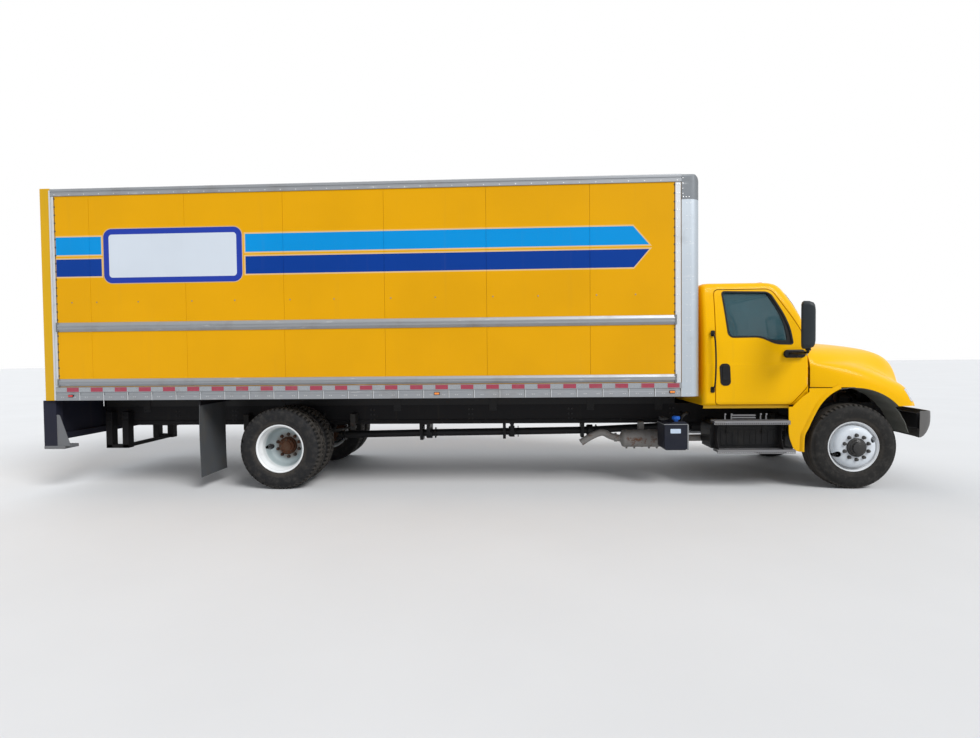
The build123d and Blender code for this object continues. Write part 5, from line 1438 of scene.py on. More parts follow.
    def cap_rivets(self) -> Shape:
        """Rivets along the lower edge of one corner cap and up its back edge."""
        head = rivet(0.0065, 0.0034)
        row = Shape().add(head, *(at(ahead(x), self.proud, 3.452)
                                  for x in spread(-2.030, -1.965, 0.033)))
        row.add(head, *(at(ahead(-2.036), self.proud, z) for z in spread(3.49, 3.67, 0.06)))
        return row

    def portal(self) -> Shape:
        """The rear frame with a rolled edge round the door."""
        return node_shape(self.nodes, "rear_frame").soften(0.004, 3, 60.0)

    def portal_trim(self) -> Shape:
        """Bright gutter strip just ahead of the portal, one side."""
        return Shape().box((ahead(-9.690), self.proud - 0.006, 1.130),
                           (ahead(-9.672), self.proud + 0.004, 3.700), soft=0.002)

    def rear_door(self) -> Shape:
        """Curtain of slats with rolled joints."""
        low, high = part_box("roll_door")
        pitch = (high.z - low.z) / self.door_panels
        door = Shape()
        for i in range(self.door_panels):
            z0 = low.z + i * pitch
            door.box((low.x, low.y, z0 + 0.0015), (high.x, high.y, z0 + pitch - 0.0015), soft=0.005,
                     steps=3)
            door.box((low.x, low.y + 0.01, z0 + 0.010), (low.x + 0.004, high.y - 0.01, z0 + 0.022),
                     soft=0.0015)
        return door

    def door_hardware(self) -> Shape:
        """Hinge leaves between the slats, the latch, the foot plate and the grab handle."""
        low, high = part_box("roll_door")
        pitch = (high.z - low.z) / self.door_panels
        parts = Shape()
        for i in range(1, self.door_panels):
            z = low.z + i * pitch
            for y in (-1.02, -0.51, 0.51, 1.02):
                parts.box((low.x - 0.004, y - 0.030, z - 0.034),
                          (low.x + 0.002, y + 0.030, z + 0.034), soft=0.001)
                parts.rod((low.x - 0.004, y - 0.030, z), (low.x - 0.004, y + 0.030, z), 0.006,
                          sides=12)
        x, z = low.x, low.z
        parts.box((x - 0.006, -0.085, z + 0.06), (x + 0.002, 0.085, z + 0.25), soft=0.002)
        parts.box((x - 0.030, -0.018, z + 0.035), (x - 0.004, 0.018, z + 0.23), soft=0.005, steps=3)
        parts.rod((x - 0.024, 0.0, z + 0.19), (x - 0.046, 0.0, z + 0.19), 0.009, sides=14)
        parts.tube([(x - 0.002, 0.30, z + 0.13), (x - 0.040, 0.30, z + 0.13),
                    (x - 0.044, 0.34, z + 0.13), (x - 0.044, 0.50, z + 0.13),
                    (x - 0.040, 0.54, z + 0.13), (x - 0.002, 0.54, z + 0.13)], 0.008)
        return parts

    def tail_lamps(self) -> tuple[Shape, Shape, Shape]:
        """Round lamps low on the portal, their grommets, and the small ones on its header."""
        x = ahead(self.back)
        lens, grommet, clear = Shape(), Shape(), Shape()
        z = self.floor_z + 0.070
        for y in (1.075, 1.215):
            grommet.spun([(0.0, 0.004), (0.0520, 0.004), (0.0540, 0.0), (0.0540, -0.006),
                          (0.0500, -0.0085), (0.0460, -0.006), (0.0, -0.006)], (x, y, z), 40, ALONG)
            target = clear if y < 1.1 else lens
            target.spun([(0.0, -0.0115), (0.0200, -0.0112), (0.0380, -0.0098), (0.0455, -0.0070),
                         (0.0455, 0.0), (0.0, 0.0)], (x, y, z), 40, ALONG)
        for y, z0 in ((1.220, self.top_z - 0.060), (0.190, self.top_z - 0.060)):
            lens.box((x - 0.0135, y - 0.030 if y > 1 else y - 0.050, z0),
                     (x, y + 0.030 if y > 1 else y + 0.050, z0 + 0.040), soft=0.006, steps=3)
        return lens, grommet, clear

    def side_lamps(self) -> tuple[Shape, Shape, Shape]:
        """Side marker lamps on the bottom rail of one side: red, amber, and their bases."""
        red, amber, bases = Shape(), Shape(), Shape()
        for x, kind in ((-9.480, red), (-4.940, amber), (-2.160, amber)):
            cx = ahead(x)
            bases.prism(rect((cx - 0.035, cx + 0.035), (1.164, 1.198), 0.008), "Y",
                        self.proud - 0.002, self.proud + 0.004, soft=0.001)
            kind.prism(rect((cx - 0.029, cx + 0.029), (1.169, 1.193), 0.008), "Y",
                       self.proud + 0.003, self.proud + 0.014, soft=0.004, steps=3)
        return red, amber, bases

    def build(self) -> None:
        """Makes every piece of the freight body."""
        body = Body.CHASSIS.value
        make_pieces(
            body,
            (self.panels().both(), "wall_panels", Look.BODY, "box_sides"),
            (self.long_rails().both(), "long_rails", Look.ALLOY, "side_rails"),
            (self.rub_rails().both(), "rub_rails", Look.ALLOY),
            (self.rub_ends().both(), "rub_rail_ends", Look.CASTING),
            (self.end_strips().both(), "end_strips", Look.STRIP),
            (self.scallops().both(), "sealant_lines", Look.SEALANT),
            (self.rivets().both(), "body_rivets", Look.RIVET),
            (self.inner_bolts().both(), "lashing_bolts", Look.BOLT_GREY),
            (self.rail_joints().both(), "rail_joints", Look.STRIP),
            (self.rail_gaps().both(), "rail_gaps", Look.SEALANT),
            (self.tape(-9.530).both(), "red_tape_blocks", Look.RED_TAPE),
            (self.tape(-9.530 - self.beam_pitch / 2).both(), "white_tape_blocks", Look.WHITE_TAPE),
            (self.sign(-0.010, 0.0010).both(), "sign_edges", Look.SIGN_CREAM),
            (self.sign(0.0, 0.0018).both(), "sign_borders", Look.SIGN_BLUE),
            (self.sign(0.068, 0.0026).both(), "sign_panels", Look.PANEL_WHITE),
        )
        shell, caps, face = self.nose()
        make_pieces(
            body,
            (shell.soften(0.002, 2, 60.0), "nose_shell", Look.POST_ALLOY, "box_front"),
            (caps, "corner_caps", Look.CASTING),
            (face, "nose_face", Look.FRAME_YELLOW),
            (self.cap_rivets().both(), "cap_rivets", Look.RIVET),
            (self.portal(), "rear_portal", Look.FRAME_YELLOW, "rear_frame"),
            (self.portal_trim().both(), "portal_trim", Look.STRIP),
            (self.rear_door(), "rear_door_slats", Look.BODY_PLAIN, "roll_door"),
            (self.door_hardware(), "rear_door_hardware", Look.ZINC),
        )
        lens, grommet, clear = self.tail_lamps()
        make_pieces(
            body,
            (lens.both(), "tail_lenses", Look.RED_LENS, "marker_lamps"),
            (grommet.both(), "lamp_grommets", Look.RUBBER),
            (clear.both(), "reversing_lenses", Look.CLEAR_LENS),
        )
        red, amber, bases = self.side_lamps()
        make_pieces(
            body,
            (red.both(), "side_lenses_red", Look.RED_LENS),
            (amber.both(), "side_lenses_amber", Look.AMBER_LENS),
            (bases.both(), "side_lamp_bases", Look.BLACK_PLASTIC),
        )
        dress(self.nodes, "box_roof", Look.ROOF)
        dress(self.nodes, "box_floor", Look.DECK)


# Cab


@dataclass(frozen=True)
class Ring:
    """One level of the cab's outer form."""

    z: float
    half: float
    front: float
    back: float = -1.745
    front_corner: float = 0.035
    back_corner: float = 0.060

    def loop(self, inset: float, share: float) -> list[Point]:
        """The level's rounded outline, drawn in by inset.

        Args:
            inset: how far it lies inside the outer face.
            share: how much of the inset also lowers it.

        Returns:
            Points of one closed loop, the same number for each level.
        """
        half, front, back = self.half - inset, ahead(self.front) - inset, ahead(self.back) + inset
        points: list[Point] = []
        corners = ((front, half, self.front_corner, 0), (back, half, self.back_corner, 90),
                   (back, -half, self.back_corner, 180), (front, -half, self.front_corner, 270))
        for x, y, radius, start in corners:
            r = max(0.012, radius - inset)
            cx, cy = x - math.copysign(r, x - ahead(-1.1)), y - math.copysign(r, y)
            for i in range(9):
                turn = math.radians(start + 90.0 * i / 8)
                points.append((cx + r * math.cos(turn), cy + r * math.sin(turn),
                               self.z - inset * share))
        return points


@dataclass
class Cab:
    """The three-place cab: shell, doors, glass, trim, lamps and the furniture inside."""

    nodes: dict[str, bpy.types.Object]
    skin: float = 0.055
    door_depth: float = 0.070
    trim_depth: float = 0.068
    side: float = 1.100
    gap: float = 0.010
    hinge: Flat = (-0.520, 1.090)
    rings: tuple[Ring, ...] = (
        Ring(1.000, 1.080, -0.512, -1.738), Ring(1.014, 1.093, -0.500, -1.745),
        Ring(1.040, 1.099, -0.494), Ring(1.100, 1.100, -0.494), Ring(1.480, 1.100, -0.494),
        Ring(1.500, 1.0985, -0.494), Ring(1.516, 1.094, -0.494), Ring(1.700, 1.093, -0.494),
        Ring(1.765, 1.090, -0.496, front_corner=0.050),
        Ring(1.810, 1.086, -0.497, front_corner=0.090),
        Ring(1.930, 1.074, -0.505, front_corner=0.115),
        Ring(2.060, 1.058, -0.528, front_corner=0.140),
        Ring(2.220, 1.032, -0.600, front_corner=0.165),
        Ring(2.350, 1.006, -0.674, front_corner=0.182), Ring(2.410, 0.990, -0.712, -1.738, 0.190),
        Ring(2.446, 0.972, -0.742, -1.728, 0.186), Ring(2.470, 0.950, -0.775, -1.710, 0.182),
        Ring(2.485, 0.920, -0.815, -1.682, 0.172), Ring(2.492, 0.872, -0.880, -1.640, 0.160),
    )
    door_edge: tuple[tuple[float, float, float], ...] = (
        (-1.590, 1.012, 0.040), (-0.706, 1.012, 0.030), (-0.512, 1.228, 0.030),
        (-0.512, 1.750, 0.060), (-0.640, 1.990, 0.100), (-0.905, 2.398, 0.060),
        (-1.580, 2.398, 0.050))
    window_edge: tuple[tuple[float, float, float], ...] = (
        (-1.432, 1.822, 0.060), (-1.060, 1.824, 0.050), (-0.880, 1.738, 0.050),
        (-0.682, 1.732, 0.030), (-0.712, 1.925, 0.060), (-0.780, 2.100, 0.060),
        (-0.925, 2.362, 0.055), (-1.488, 2.376, 0.035))
    windshield_edge: tuple[tuple[float, float, float], ...] = (
        (-0.985, 1.800, 0.060), (0.985, 1.800, 0.060), (0.892, 2.372, 0.090),
        (-0.892, 2.372, 0.090))
    back_edge: tuple[tuple[float, float, float], ...] = (
        (-0.560, 1.860, 0.060), (0.560, 1.860, 0.060), (0.560, 2.260, 0.060),
        (-0.560, 2.260, 0.060))

    def form(self, inset: float = 0.0) -> Shape:
        """The cab's closed form, drawn in by inset."""
        loops = []
        for ring in self.rings:
            share = -1.0 if ring.z < 1.05 else min(1.0, max(0.0, (ring.z - 2.06) / 0.35))
            loops.append(ring.loop(inset, share))
        return Shape().loft(loops).weld()

    def grown(self, edge: Sequence[Sequence[float]],
              grow: float) -> list[tuple[float, float, float]]:
        """An outline made larger on all sides, with its corners."""
        count = len(edge)
        made = []
        for i, (a, b, r) in enumerate(edge):
            before, here = Vector(edge[i - 1][:2]), Vector((a, b))
            after = Vector(edge[(i + 1) % count][:2])
            into, out = (here - before).normalized(), (after - here).normalized()
            normal = Vector((into.y + out.y, -into.x - out.x)).normalized()
            reach = grow / max(0.35, normal.dot(Vector((into.y, -into.x))))
            moved = here + normal * reach
            made.append((moved.x, moved.y, max(0.004, r + grow)))
        return made

    def side_prism(self, edge: Sequence[Sequence[float]], grow: float = 0.0) -> Shape:
        """A side outline drawn out across the left side."""
        moved = [(ahead(a), b, r) for a, b, r in self.grown(edge, grow)]
        return Shape().prism(moved, "Y", 0.60, 1.20, round_steps=7).weld()

    def front_prism(self, edge: Sequence[Sequence[float]], grow: float, low: float,
                    high: float) -> Shape:
        """A front or back outline drawn out along the truck."""
        return Shape().prism(self.grown(edge, grow), "X", ahead(low), ahead(high),
                             round_steps=7).weld()

    def windshield(self, grow: float = 0.0) -> Shape:
        """The windshield's opening, made larger by grow."""
        return self.front_prism(self.windshield_edge, grow, -1.10, -0.30)

    def back_window(self, grow: float = 0.0) -> Shape:
        """The back window's opening, made larger by grow."""
        return self.front_prism(self.back_edge, grow, -1.90, -1.60)

    def side_window(self, grow: float = 0.0) -> Shape:
        """The left window's opening, made larger by grow."""
        return self.side_prism(self.window_edge, grow)

    def beyond(self, depth: float) -> Shape:
        """All that lies outside the left side drawn in by depth."""
        edge = [(1.3, 0.90), (1.3, 2.55)]
        edge += [(ring.half - depth, ring.z) for ring in reversed(self.rings)
                 if 1.02 < ring.z < 2.42]
        edge += [(self.rings[3].half - depth, 0.90)]
        return Shape().prism(edge, "X", ahead(-1.80), ahead(-0.40)).weld()

    def layer(self, outer: float, inner: float) -> Shape:
        """The closed skin between two depths."""
        return self.form(outer).cut(self.form(inner))

    def shell_and_doors(self) -> tuple[Shape, Shape]:
        """The cab's shell with its openings, and the left door with its window."""
        whole = self.layer(0.0, self.skin)
        reach = self.beyond(self.door_depth + 2 * self.gap)
        hole = self.side_prism(self.door_edge, self.gap).cut(reach, "INTERSECT")
        panel = self.side_prism(self.door_edge).cut(self.beyond(self.door_depth), "INTERSECT")
        door = whole.copy().cut(panel, "INTERSECT").cut(self.side_window())
        shell = whole.cut(hole).cut(hole.on(Side.RIGHT))
        shell.cut(self.windshield())
        shell.cut(self.back_window())
        return shell, door

    def gasket(self, tool: Callable[[float], Shape], outer: float = -0.0035, inner: float = 0.030,
               wide: float = 0.016, lap: float = 0.012) -> Shape:
        """A rubber frame round one window."""
        return self.layer(outer, inner).cut(tool(wide), "INTERSECT").cut(tool(-lap))

    def window_post(self) -> Shape:
        """Broad black edge at the front and lower front of the left window."""
        back = [(a - 0.060, b + 0.045, r) for a, b, r in self.window_edge]
        edge = self.layer(0.008, 0.030).cut(self.side_window(), "INTERSECT")
        edge.cut(self.side_prism(back))
        front = Shape().box((ahead(-0.945), 0.9, 1.70), (ahead(-0.60), 1.2, 2.45))
        return edge.cut(front, "INTERSECT")

    def door_seal(self) -> Shape:
        """Rubber tube round one door opening, just inside the door."""
        ring = self.side_prism(self.door_edge, self.gap - 0.0005)
        ring.cut(self.side_prism(self.door_edge, -0.018))
        ring.cut(self.beyond(self.door_depth + 0.018), "INTERSECT")
        return ring.cut(self.beyond(self.door_depth + 0.004))

    def door_trim(self) -> tuple[Shape, Shape]:
        """The left door's moulded inner panel, and its armrest, map pocket and pull."""
        panel = self.side_prism(self.door_edge, -0.035).cut(self.side_window(0.030))
        panel.cut(self.beyond(self.trim_depth), "INTERSECT").cut(self.beyond(self.skin - 0.001))
        parts = Shape()
        y = self.side - self.trim_depth
        parts.prism([(ahead(-1.420), 1.395, 0.02), (ahead(-0.900), 1.420, 0.02),
                     (ahead(-0.900), 1.465, 0.02), (ahead(-1.420), 1.450, 0.02)], "Y", y - 0.050,
                    y + 0.004, soft=0.012, steps=3)
        parts.prism([(ahead(-1.450), 1.080, 0.03), (ahead(-0.860), 1.080, 0.03),
                     (ahead(-0.800), 1.220, 0.03), (ahead(-1.450), 1.220, 0.03)], "Y", y - 0.030,
                    y + 0.004, soft=0.010, steps=3)
        parts.tube([(ahead(-1.340), y, 1.62), (ahead(-1.340), y - 0.045, 1.615),
                    (ahead(-1.200), y - 0.050, 1.600), (ahead(-1.060), y - 0.045, 1.615),
                    (ahead(-1.060), y, 1.62)], 0.012)
        return panel, parts

    def outside_handle(self) -> Shape:
        """Black paddle handle in an oval cup on the left door."""
        y = self.side
        a0, a1, z0, z1 = ahead(-1.546), ahead(-1.418), 1.236, 1.507
        cup = Shape().prism([(a0 + 0.012, z0, 0.050), (a1 + 0.006, z0 + 0.004, 0.050),
                             (a1 - 0.006, z1, 0.050), (a0 - 0.004, z1 - 0.004, 0.050)], "Y",
                            y - 0.012, y + 0.006, soft=0.003, round_steps=8)
        hollow = Shape().prism([(a0 + 0.024, z0 + 0.014, 0.038), (a1 - 0.006, z0 + 0.016, 0.038),
                                (a1 - 0.016, z1 - 0.014, 0.038), (a0 + 0.010, z1 - 0.016, 0.038)],
                               "Y", y - 0.006, y + 0.02, round_steps=8)
        cup.cut(hollow)
        cup.prism([(a0 + 0.034, z0 + 0.065, 0.012), (a1 - 0.020, z0 + 0.065, 0.012),
                   (a1 - 0.026, z1 - 0.026, 0.016), (a0 + 0.026, z1 - 0.028, 0.016)], "Y",
                  y - 0.004, y + 0.0115, soft=0.004, steps=3)
        cup.rod(((a0 + a1) / 2, y - 0.006, z0 + 0.036), ((a0 + a1) / 2, y + 0.003, z0 + 0.036),
                0.013, sides=20, soft=0.001)
        return cup

    def grab_bar(self) -> Shape:
        """Black bowed bar beside one door, on two feet."""
        y = self.side
        bar = Shape().tube([(ahead(-1.628), y, 1.868), (ahead(-1.626), y + 0.034, 1.856),
                            (ahead(-1.612), y + 0.046, 1.79), (ahead(-1.604), y + 0.047, 1.53),
                            (ahead(-1.612), y + 0.046, 1.27), (ahead(-1.626), y + 0.034, 1.204),
                            (ahead(-1.628), y, 1.192)], 0.0095, sides=4, steps=10)
        for z in (1.868, 1.192):
            bar.prism(rect((ahead(-1.654), ahead(-1.604)), (z - 0.036, z + 0.036), 0.016), "Y",
                      y - 0.004, y + 0.010, soft=0.004, steps=2)
        return bar

    def sill(self) -> Shape:
        """Folded flange under the cab's left side."""
        return Shape().prism([(1.072, 1.010), (1.066, 0.962, 0.006), (1.030, 0.958, 0.006),
                              (1.030, 0.963), (1.058, 0.966, 0.004), (1.062, 1.010)], "X",
                             ahead(-1.728), ahead(-0.718), soft=0.001).weld()

    def mirror_head(self) -> Shape:
        """The left mirror's rounded housing, open at the back."""
        x0, x1, y0, y1, z0, z1 = ahead(-0.758), ahead(-0.618), 1.352, 1.528, 1.668, 2.212
        loops = []
        for share, inset in ((0.0, 0.040), (0.05, 0.014), (0.16, 0.0), (0.55, 0.004), (0.85, 0.022),
                             (0.96, 0.048), (1.0, 0.085)):
            x = x0 + (x1 - x0) * share
            loops.append(self.rounded(x, y0 + inset * 0.55, y1 - inset * 0.55, z0 + inset,
                                      z1 - inset, 0.055))
        return self.turned(Shape().loft(loops).weld().cut(self.mirror_mouth()))

    def turned(self, shape: Shape) -> Shape:
        """Turns a part of the left mirror towards the driver."""
        bmesh.ops.rotate(shape.bm, verts=shape.bm.verts[:], cent=(ahead(-0.688), 1.440, 0.0),
                         matrix=Matrix.Rotation(math.radians(24.0), 3, "Z"))
        return shape

    def rounded(self, x: float, y0: float, y1: float, z0: float, z1: float,
                radius: float) -> list[Point]:
        """A rounded rectangle of points across the truck."""
        r = min(radius, (y1 - y0) / 2 - 0.001)
        points: list[Point] = []
        for cy, cz, start in ((y1 - r, z1 - r, 0), (y0 + r, z1 - r, 90), (y0 + r, z0 + r, 180),
                              (y1 - r, z0 + r, 270)):
            for i in range(9):
                turn = math.radians(start + 90.0 * i / 8)
                points.append((x, cy + r * math.cos(turn), cz + r * math.sin(turn)))
        return points

    def mirror_mouth(self) -> Shape:
        """The hollow that holds the two mirror panes."""
        loops = [self.rounded(ahead(-0.768), 1.366, 1.514, 1.708, 2.172, 0.034),
                 self.rounded(ahead(-0.741), 1.370, 1.510, 1.714, 2.166, 0.032)]
        return Shape().loft(loops).weld()

    def mirror_panes(self) -> Shape:
        """A tall flat pane over a small bulging one."""
        panes = Shape()
        x = ahead(-0.7425)
        panes.prism(rect((1.372, 1.508), (1.868, 2.162), 0.025, 0.025, 0.030, 0.030), "X",
                    x, x + 0.004, soft=0.001, steps=1)
        loops = []
        for inset, depth in ((0.0, 0.0), (0.004, 0.004), (0.020, 0.008), (0.045, 0.0105),
                             (0.066, 0.0115)):
            loops.append(self.rounded(x + 0.003 - depth, 1.372 + inset, 1.508 - inset,
                                      1.720 + inset, 1.856 - inset, 0.026))
        return self.turned(panes.loft(loops))

    def mirror_bracket(self) -> Shape:
        """Capsule base on the door with the two arms to the head."""
        y = 1.094
        base = Shape().prism(rect((ahead(-0.800), ahead(-0.550)), (1.566, 1.664), 0.044), "Y",
                             y - 0.002, y + 0.044, soft=0.016, steps=4, round_steps=8)
        base.tube([(ahead(-0.640), y + 0.02, 1.618), (ahead(-0.650), 1.30, 1.626),
                   (ahead(-0.676), 1.40, 1.630), (ahead(-0.686), 1.438, 1.640),
                   (ahead(-0.688), 1.440, 1.730)], 0.017, sides=4, steps=10)
        base.tube([(ahead(-0.740), y + 0.02, 1.618), (ahead(-0.720), 1.24, 1.620),
                   (ahead(-0.688), 1.38, 1.628)], 0.012, sides=4)
        base.rod((ahead(-0.688), 1.440, 1.650), (ahead(-0.688), 1.440, 1.690), 0.030, 0.026,
                 sides=28, soft=0.004)
        return base

    def roof_lamps(self) -> tuple[Shape, Shape]:
        """Five amber lamps in low housings along the roof's front edge."""
        lens, base = Shape(), Shape()
        for y, x, z in ((0.0, -0.900, 2.492), (0.180, -0.900, 2.492), (-0.180, -0.900, 2.492),
                        (0.700, -0.905, 2.491), (-0.700, -0.905, 2.491)):
            loops = []
            for rise, half, length in ((-0.004, 0.056, 0.054), (0.006, 0.056, 0.054),
                                       (0.017, 0.048, 0.044), (0.0235, 0.034, 0.028),
                                       (0.0262, 0.018, 0.012)):
                loop = []
                for i in range(24):
                    turn = 2.0 * math.pi * i / 24
                    stretch = 1.35 if math.cos(turn) < 0 else 0.85
                    loop.append((ahead(x) + length * stretch * math.cos(turn),
                                 y + half * math.sin(turn), z + rise))
                loops.append(loop)
            lens.loft(loops)
            base.rod((ahead(x) - 0.012, y, z - 0.004), (ahead(x) - 0.012, y, z + 0.0035), 0.0665,
                     sides=32, soft=0.001)
        return lens, base

    def wipers(self) -> Shape:
        """Two parked wipers with their arms and blades, just off the windshield's foot."""
        parts = Shape()
        for y, reach in ((0.62, -0.66), (-0.10, -0.66)):
            x, z = ahead(-0.482), 1.792
            tip = (ahead(-0.520), y + reach + 0.06, 1.872)
            parts.rod((x - 0.02, y, z - 0.02), (x + 0.006, y, z + 0.012), 0.014, sides=16,
                      soft=0.003)
            parts.tube([(x + 0.002, y, z + 0.008), (x - 0.004, y - 0.10, z + 0.030),
                        (tip[0] + 0.016, y - 0.30, 1.850)], 0.0065, sides=3)
            parts.box((tip[0] + 0.006, y - 0.62, 1.846), (tip[0] + 0.017, y - 0.02, 1.856),
                      soft=0.002)
            parts.box((tip[0] + 0.001, y - 0.61, 1.843), (tip[0] + 0.007, y - 0.03, 1.850))
        return parts

    def cowl(self) -> Shape:
        """Black cowl grille between the hood and the windshield."""
        panel = Shape().prism([(ahead(-0.560), 1.740), (ahead(-0.487), 1.740),
                               (ahead(-0.487), 1.752, 0.006), (ahead(-0.530), 1.796, 0.012),
                               (ahead(-0.560), 1.796)], "Y", -0.99, 0.99, round_steps=3)
        slots = Shape()
        for y in spread(-0.93, 0.93, 0.030):
            slots.box((ahead(-0.530), y - 0.008, 1.755), (ahead(-0.480), y + 0.008, 1.790))
        return panel.cut(slots)

    def hinges(self) -> Shape:
        """The two hinge knuckles of the left door."""
        x, y = ahead(self.hinge[0]), self.hinge[1]
        parts = Shape()
        for z in (1.290, 1.640):
            parts.rod((x, y, z - 0.045), (x, y, z + 0.045), 0.0085, sides=20, soft=0.001)
        return parts

    def bench(self, y0: float, y1: float) -> list[Shape]:
        """One seat's cushion and backrest as crowned pads."""
        cushion = Shape()
        loops = []
        for drop, inset in ((-0.050, 0.012), (-0.030, 0.0), (0.0, 0.0), (0.030, 0.010),
                            (0.046, 0.045), (0.052, 0.11)):
            loops.append(self.pad_loop(ahead(-1.530) + inset, ahead(-0.995) - inset, y0 + inset,
                                       y1 - inset, 1.395 + drop, 0.050, 0.018))
        cushion.loft(loops)
        back = Shape()
        loops = []
        for off, inset in ((-0.050, 0.02), (-0.030, 0.0), (0.0, 0.0), (0.030, 0.012),
                           (0.044, 0.045), (0.050, 0.10)):
            loop = []
            for y, z in self.rounded_flat(y0 + 0.008 + inset, y1 - 0.008 - inset, 1.350 + inset,
                                          2.045 - inset, 0.070):
                lean = -(z - 1.35) * 0.085
                loop.append((ahead(-1.535) + off + lean, y, z))
            loops.append(loop)
        back.loft(loops)
        return [cushion.weld(), back.weld()]

    def pad_loop(self, x0: float, x1: float, y0: float, y1: float, z: float, radius: float,
                 dip: float) -> list[Point]:
        """A rounded level of a cushion that sags towards its middle."""
        points = []
        for a, b in self.rounded_flat(x0, x1, y0, y1, radius):
            away = abs((b - (y0 + y1) / 2) / ((y1 - y0) / 2))
            points.append((a, b, z + dip * away * away - dip * 0.5))
        return points

    def rounded_flat(self, a0: float, a1: float, b0: float, b1: float, radius: float) -> list[Flat]:
        """A rounded rectangle of flat points."""
        r = min(radius, (a1 - a0) / 2 - 0.002, (b1 - b0) / 2 - 0.002)
        points = []
        for ca, cb, start in ((a1 - r, b1 - r, 0), (a0 + r, b1 - r, 90), (a0 + r, b0 + r, 180),
                              (a1 - r, b0 + r, 270)):
            for i in range(7):
                turn = math.radians(start + 90.0 * i / 6)
                points.append((ca + r * math.cos(turn), cb + r * math.sin(turn)))
        return points

    def build_seats(self) -> None:
        """Driver's seat and the two-place bench on plain bases."""
        body = Body.CHASSIS.value
        bases = Shape()
        for y0, y1, label in ((0.280, 0.820, "driver"), (-0.860, -0.372, "outer"),
                              (-0.368, 0.120, "middle")):
            for pad, kind in zip(self.bench(y0, y1), ("cushion", "backrest")):
                stands_for = ["cab_seats"] if (label, kind) == ("driver", "cushion") else []
                piece = make_piece(pad.finer(2), f"{label}_{kind}", Look.SEAT, body, stands_for)
            bases.box((ahead(-1.450), y0 + 0.055, 1.056), (ahead(-1.060), y1 - 0.055, 1.352),
                      soft=0.012, steps=3)
        make_piece(bases, "seat_bases", Look.PLASTIC, body)

    def dash(self) -> tuple[Shape, Shape, Shape]:
        """Instrument panel, its dials and switches, and the steering wheel with its column."""
        front = ahead(-0.494) - self.skin - 0.001
        panel = Shape().prism([(front, 1.300), (front, 1.738), (ahead(-0.690), 1.742, 0.060),
                               (ahead(-0.862), 1.640, 0.060), (ahead(-0.850), 1.480, 0.050),
                               (ahead(-0.760), 1.300, 0.060)], "Y", -1.025, 1.025, soft=0.012,
                              steps=3, round_steps=8)
        hood_over = Shape().prism([(ahead(-0.640), 1.715), (ahead(-0.640), 1.772, 0.03),
                                   (ahead(-0.830), 1.745, 0.02), (ahead(-0.850), 1.700, 0.02)], "Y",
                                  0.300, 0.800, soft=0.020, steps=4)
        panel.add(hood_over)
        dials = Shape()
        lean = Vector((-0.93, 0.0, 0.36)).normalized()
        for y, r in ((0.470, 0.058), (0.630, 0.058), (0.375, 0.028), (0.725, 0.028)):
            c = Vector((ahead(-0.852), y, 1.640))
            dials.rod(tuple(c - lean * 0.010), tuple(c + lean * 0.006), r, sides=36, soft=0.003)
        for y in spread(-0.10, 0.16, 0.052):
            dials.box((ahead(-0.868), y - 0.018, 1.540), (ahead(-0.852), y + 0.018, 1.585),
                      soft=0.004, steps=3)
        for y in (-0.06, 0.03, 0.12):
            dials.rod((ahead(-0.850), y, 1.490), (ahead(-0.876), y, 1.494), 0.022, 0.018, sides=28,
                      soft=0.003)
        for y in (-0.92, -0.62, 0.92, 0.24):
            dials.box((ahead(-0.868), y - 0.055, 1.610), (ahead(-0.850), y + 0.055, 1.665),
                      soft=0.006, steps=3)
        wheel = Shape()
        hub, tilt = Vector((ahead(-1.010), 0.550, 1.640)), Vector((-0.62, 0.0, 0.78)).normalized()
        across = Vector((0.0, 1.0, 0.0))
        upward = tilt.cross(across)
        profile = []
        for i in range(15):
            turn = 2.0 * math.pi * i / 14
            profile.append((0.215 + 0.0145 * math.cos(turn), 0.0145 * math.sin(turn)))
        wheel.spun(profile, tuple(hub), 72, tuple(tilt))
        wheel.rod(tuple(hub - tilt * 0.030), tuple(hub + tilt * 0.012), 0.062, 0.052, sides=36,
                  soft=0.008, steps=3)
        for angle in (0.0, 120.0, 240.0):
            out = across * math.sin(math.radians(angle)) - upward * math.cos(math.radians(angle))
            wheel.tube([tuple(hub + out * 0.045 - tilt * 0.010),
                        tuple(hub + out * 0.13 - tilt * 0.016), tuple(hub + out * 0.208)], 0.0105,
                       sides=3)
        wheel.rod((ahead(-0.820), 0.550, 1.420), tuple(hub - tilt * 0.02), 0.034, 0.026, sides=24)
        wheel.rod((ahead(-0.930), 0.550, 1.560), (ahead(-0.945), 0.690, 1.620), 0.007, 0.009,
                  sides=12)
        return panel, dials, wheel

    def sun_visors(self) -> Shape:
        """Two folded visors over the windshield."""
        visors = Shape()
        for y in (0.48, -0.48):
            visors.box((ahead(-0.960), y - 0.29, 2.352), (ahead(-0.830), y + 0.29, 2.368),
                       soft=0.006, steps=3)
        return visors

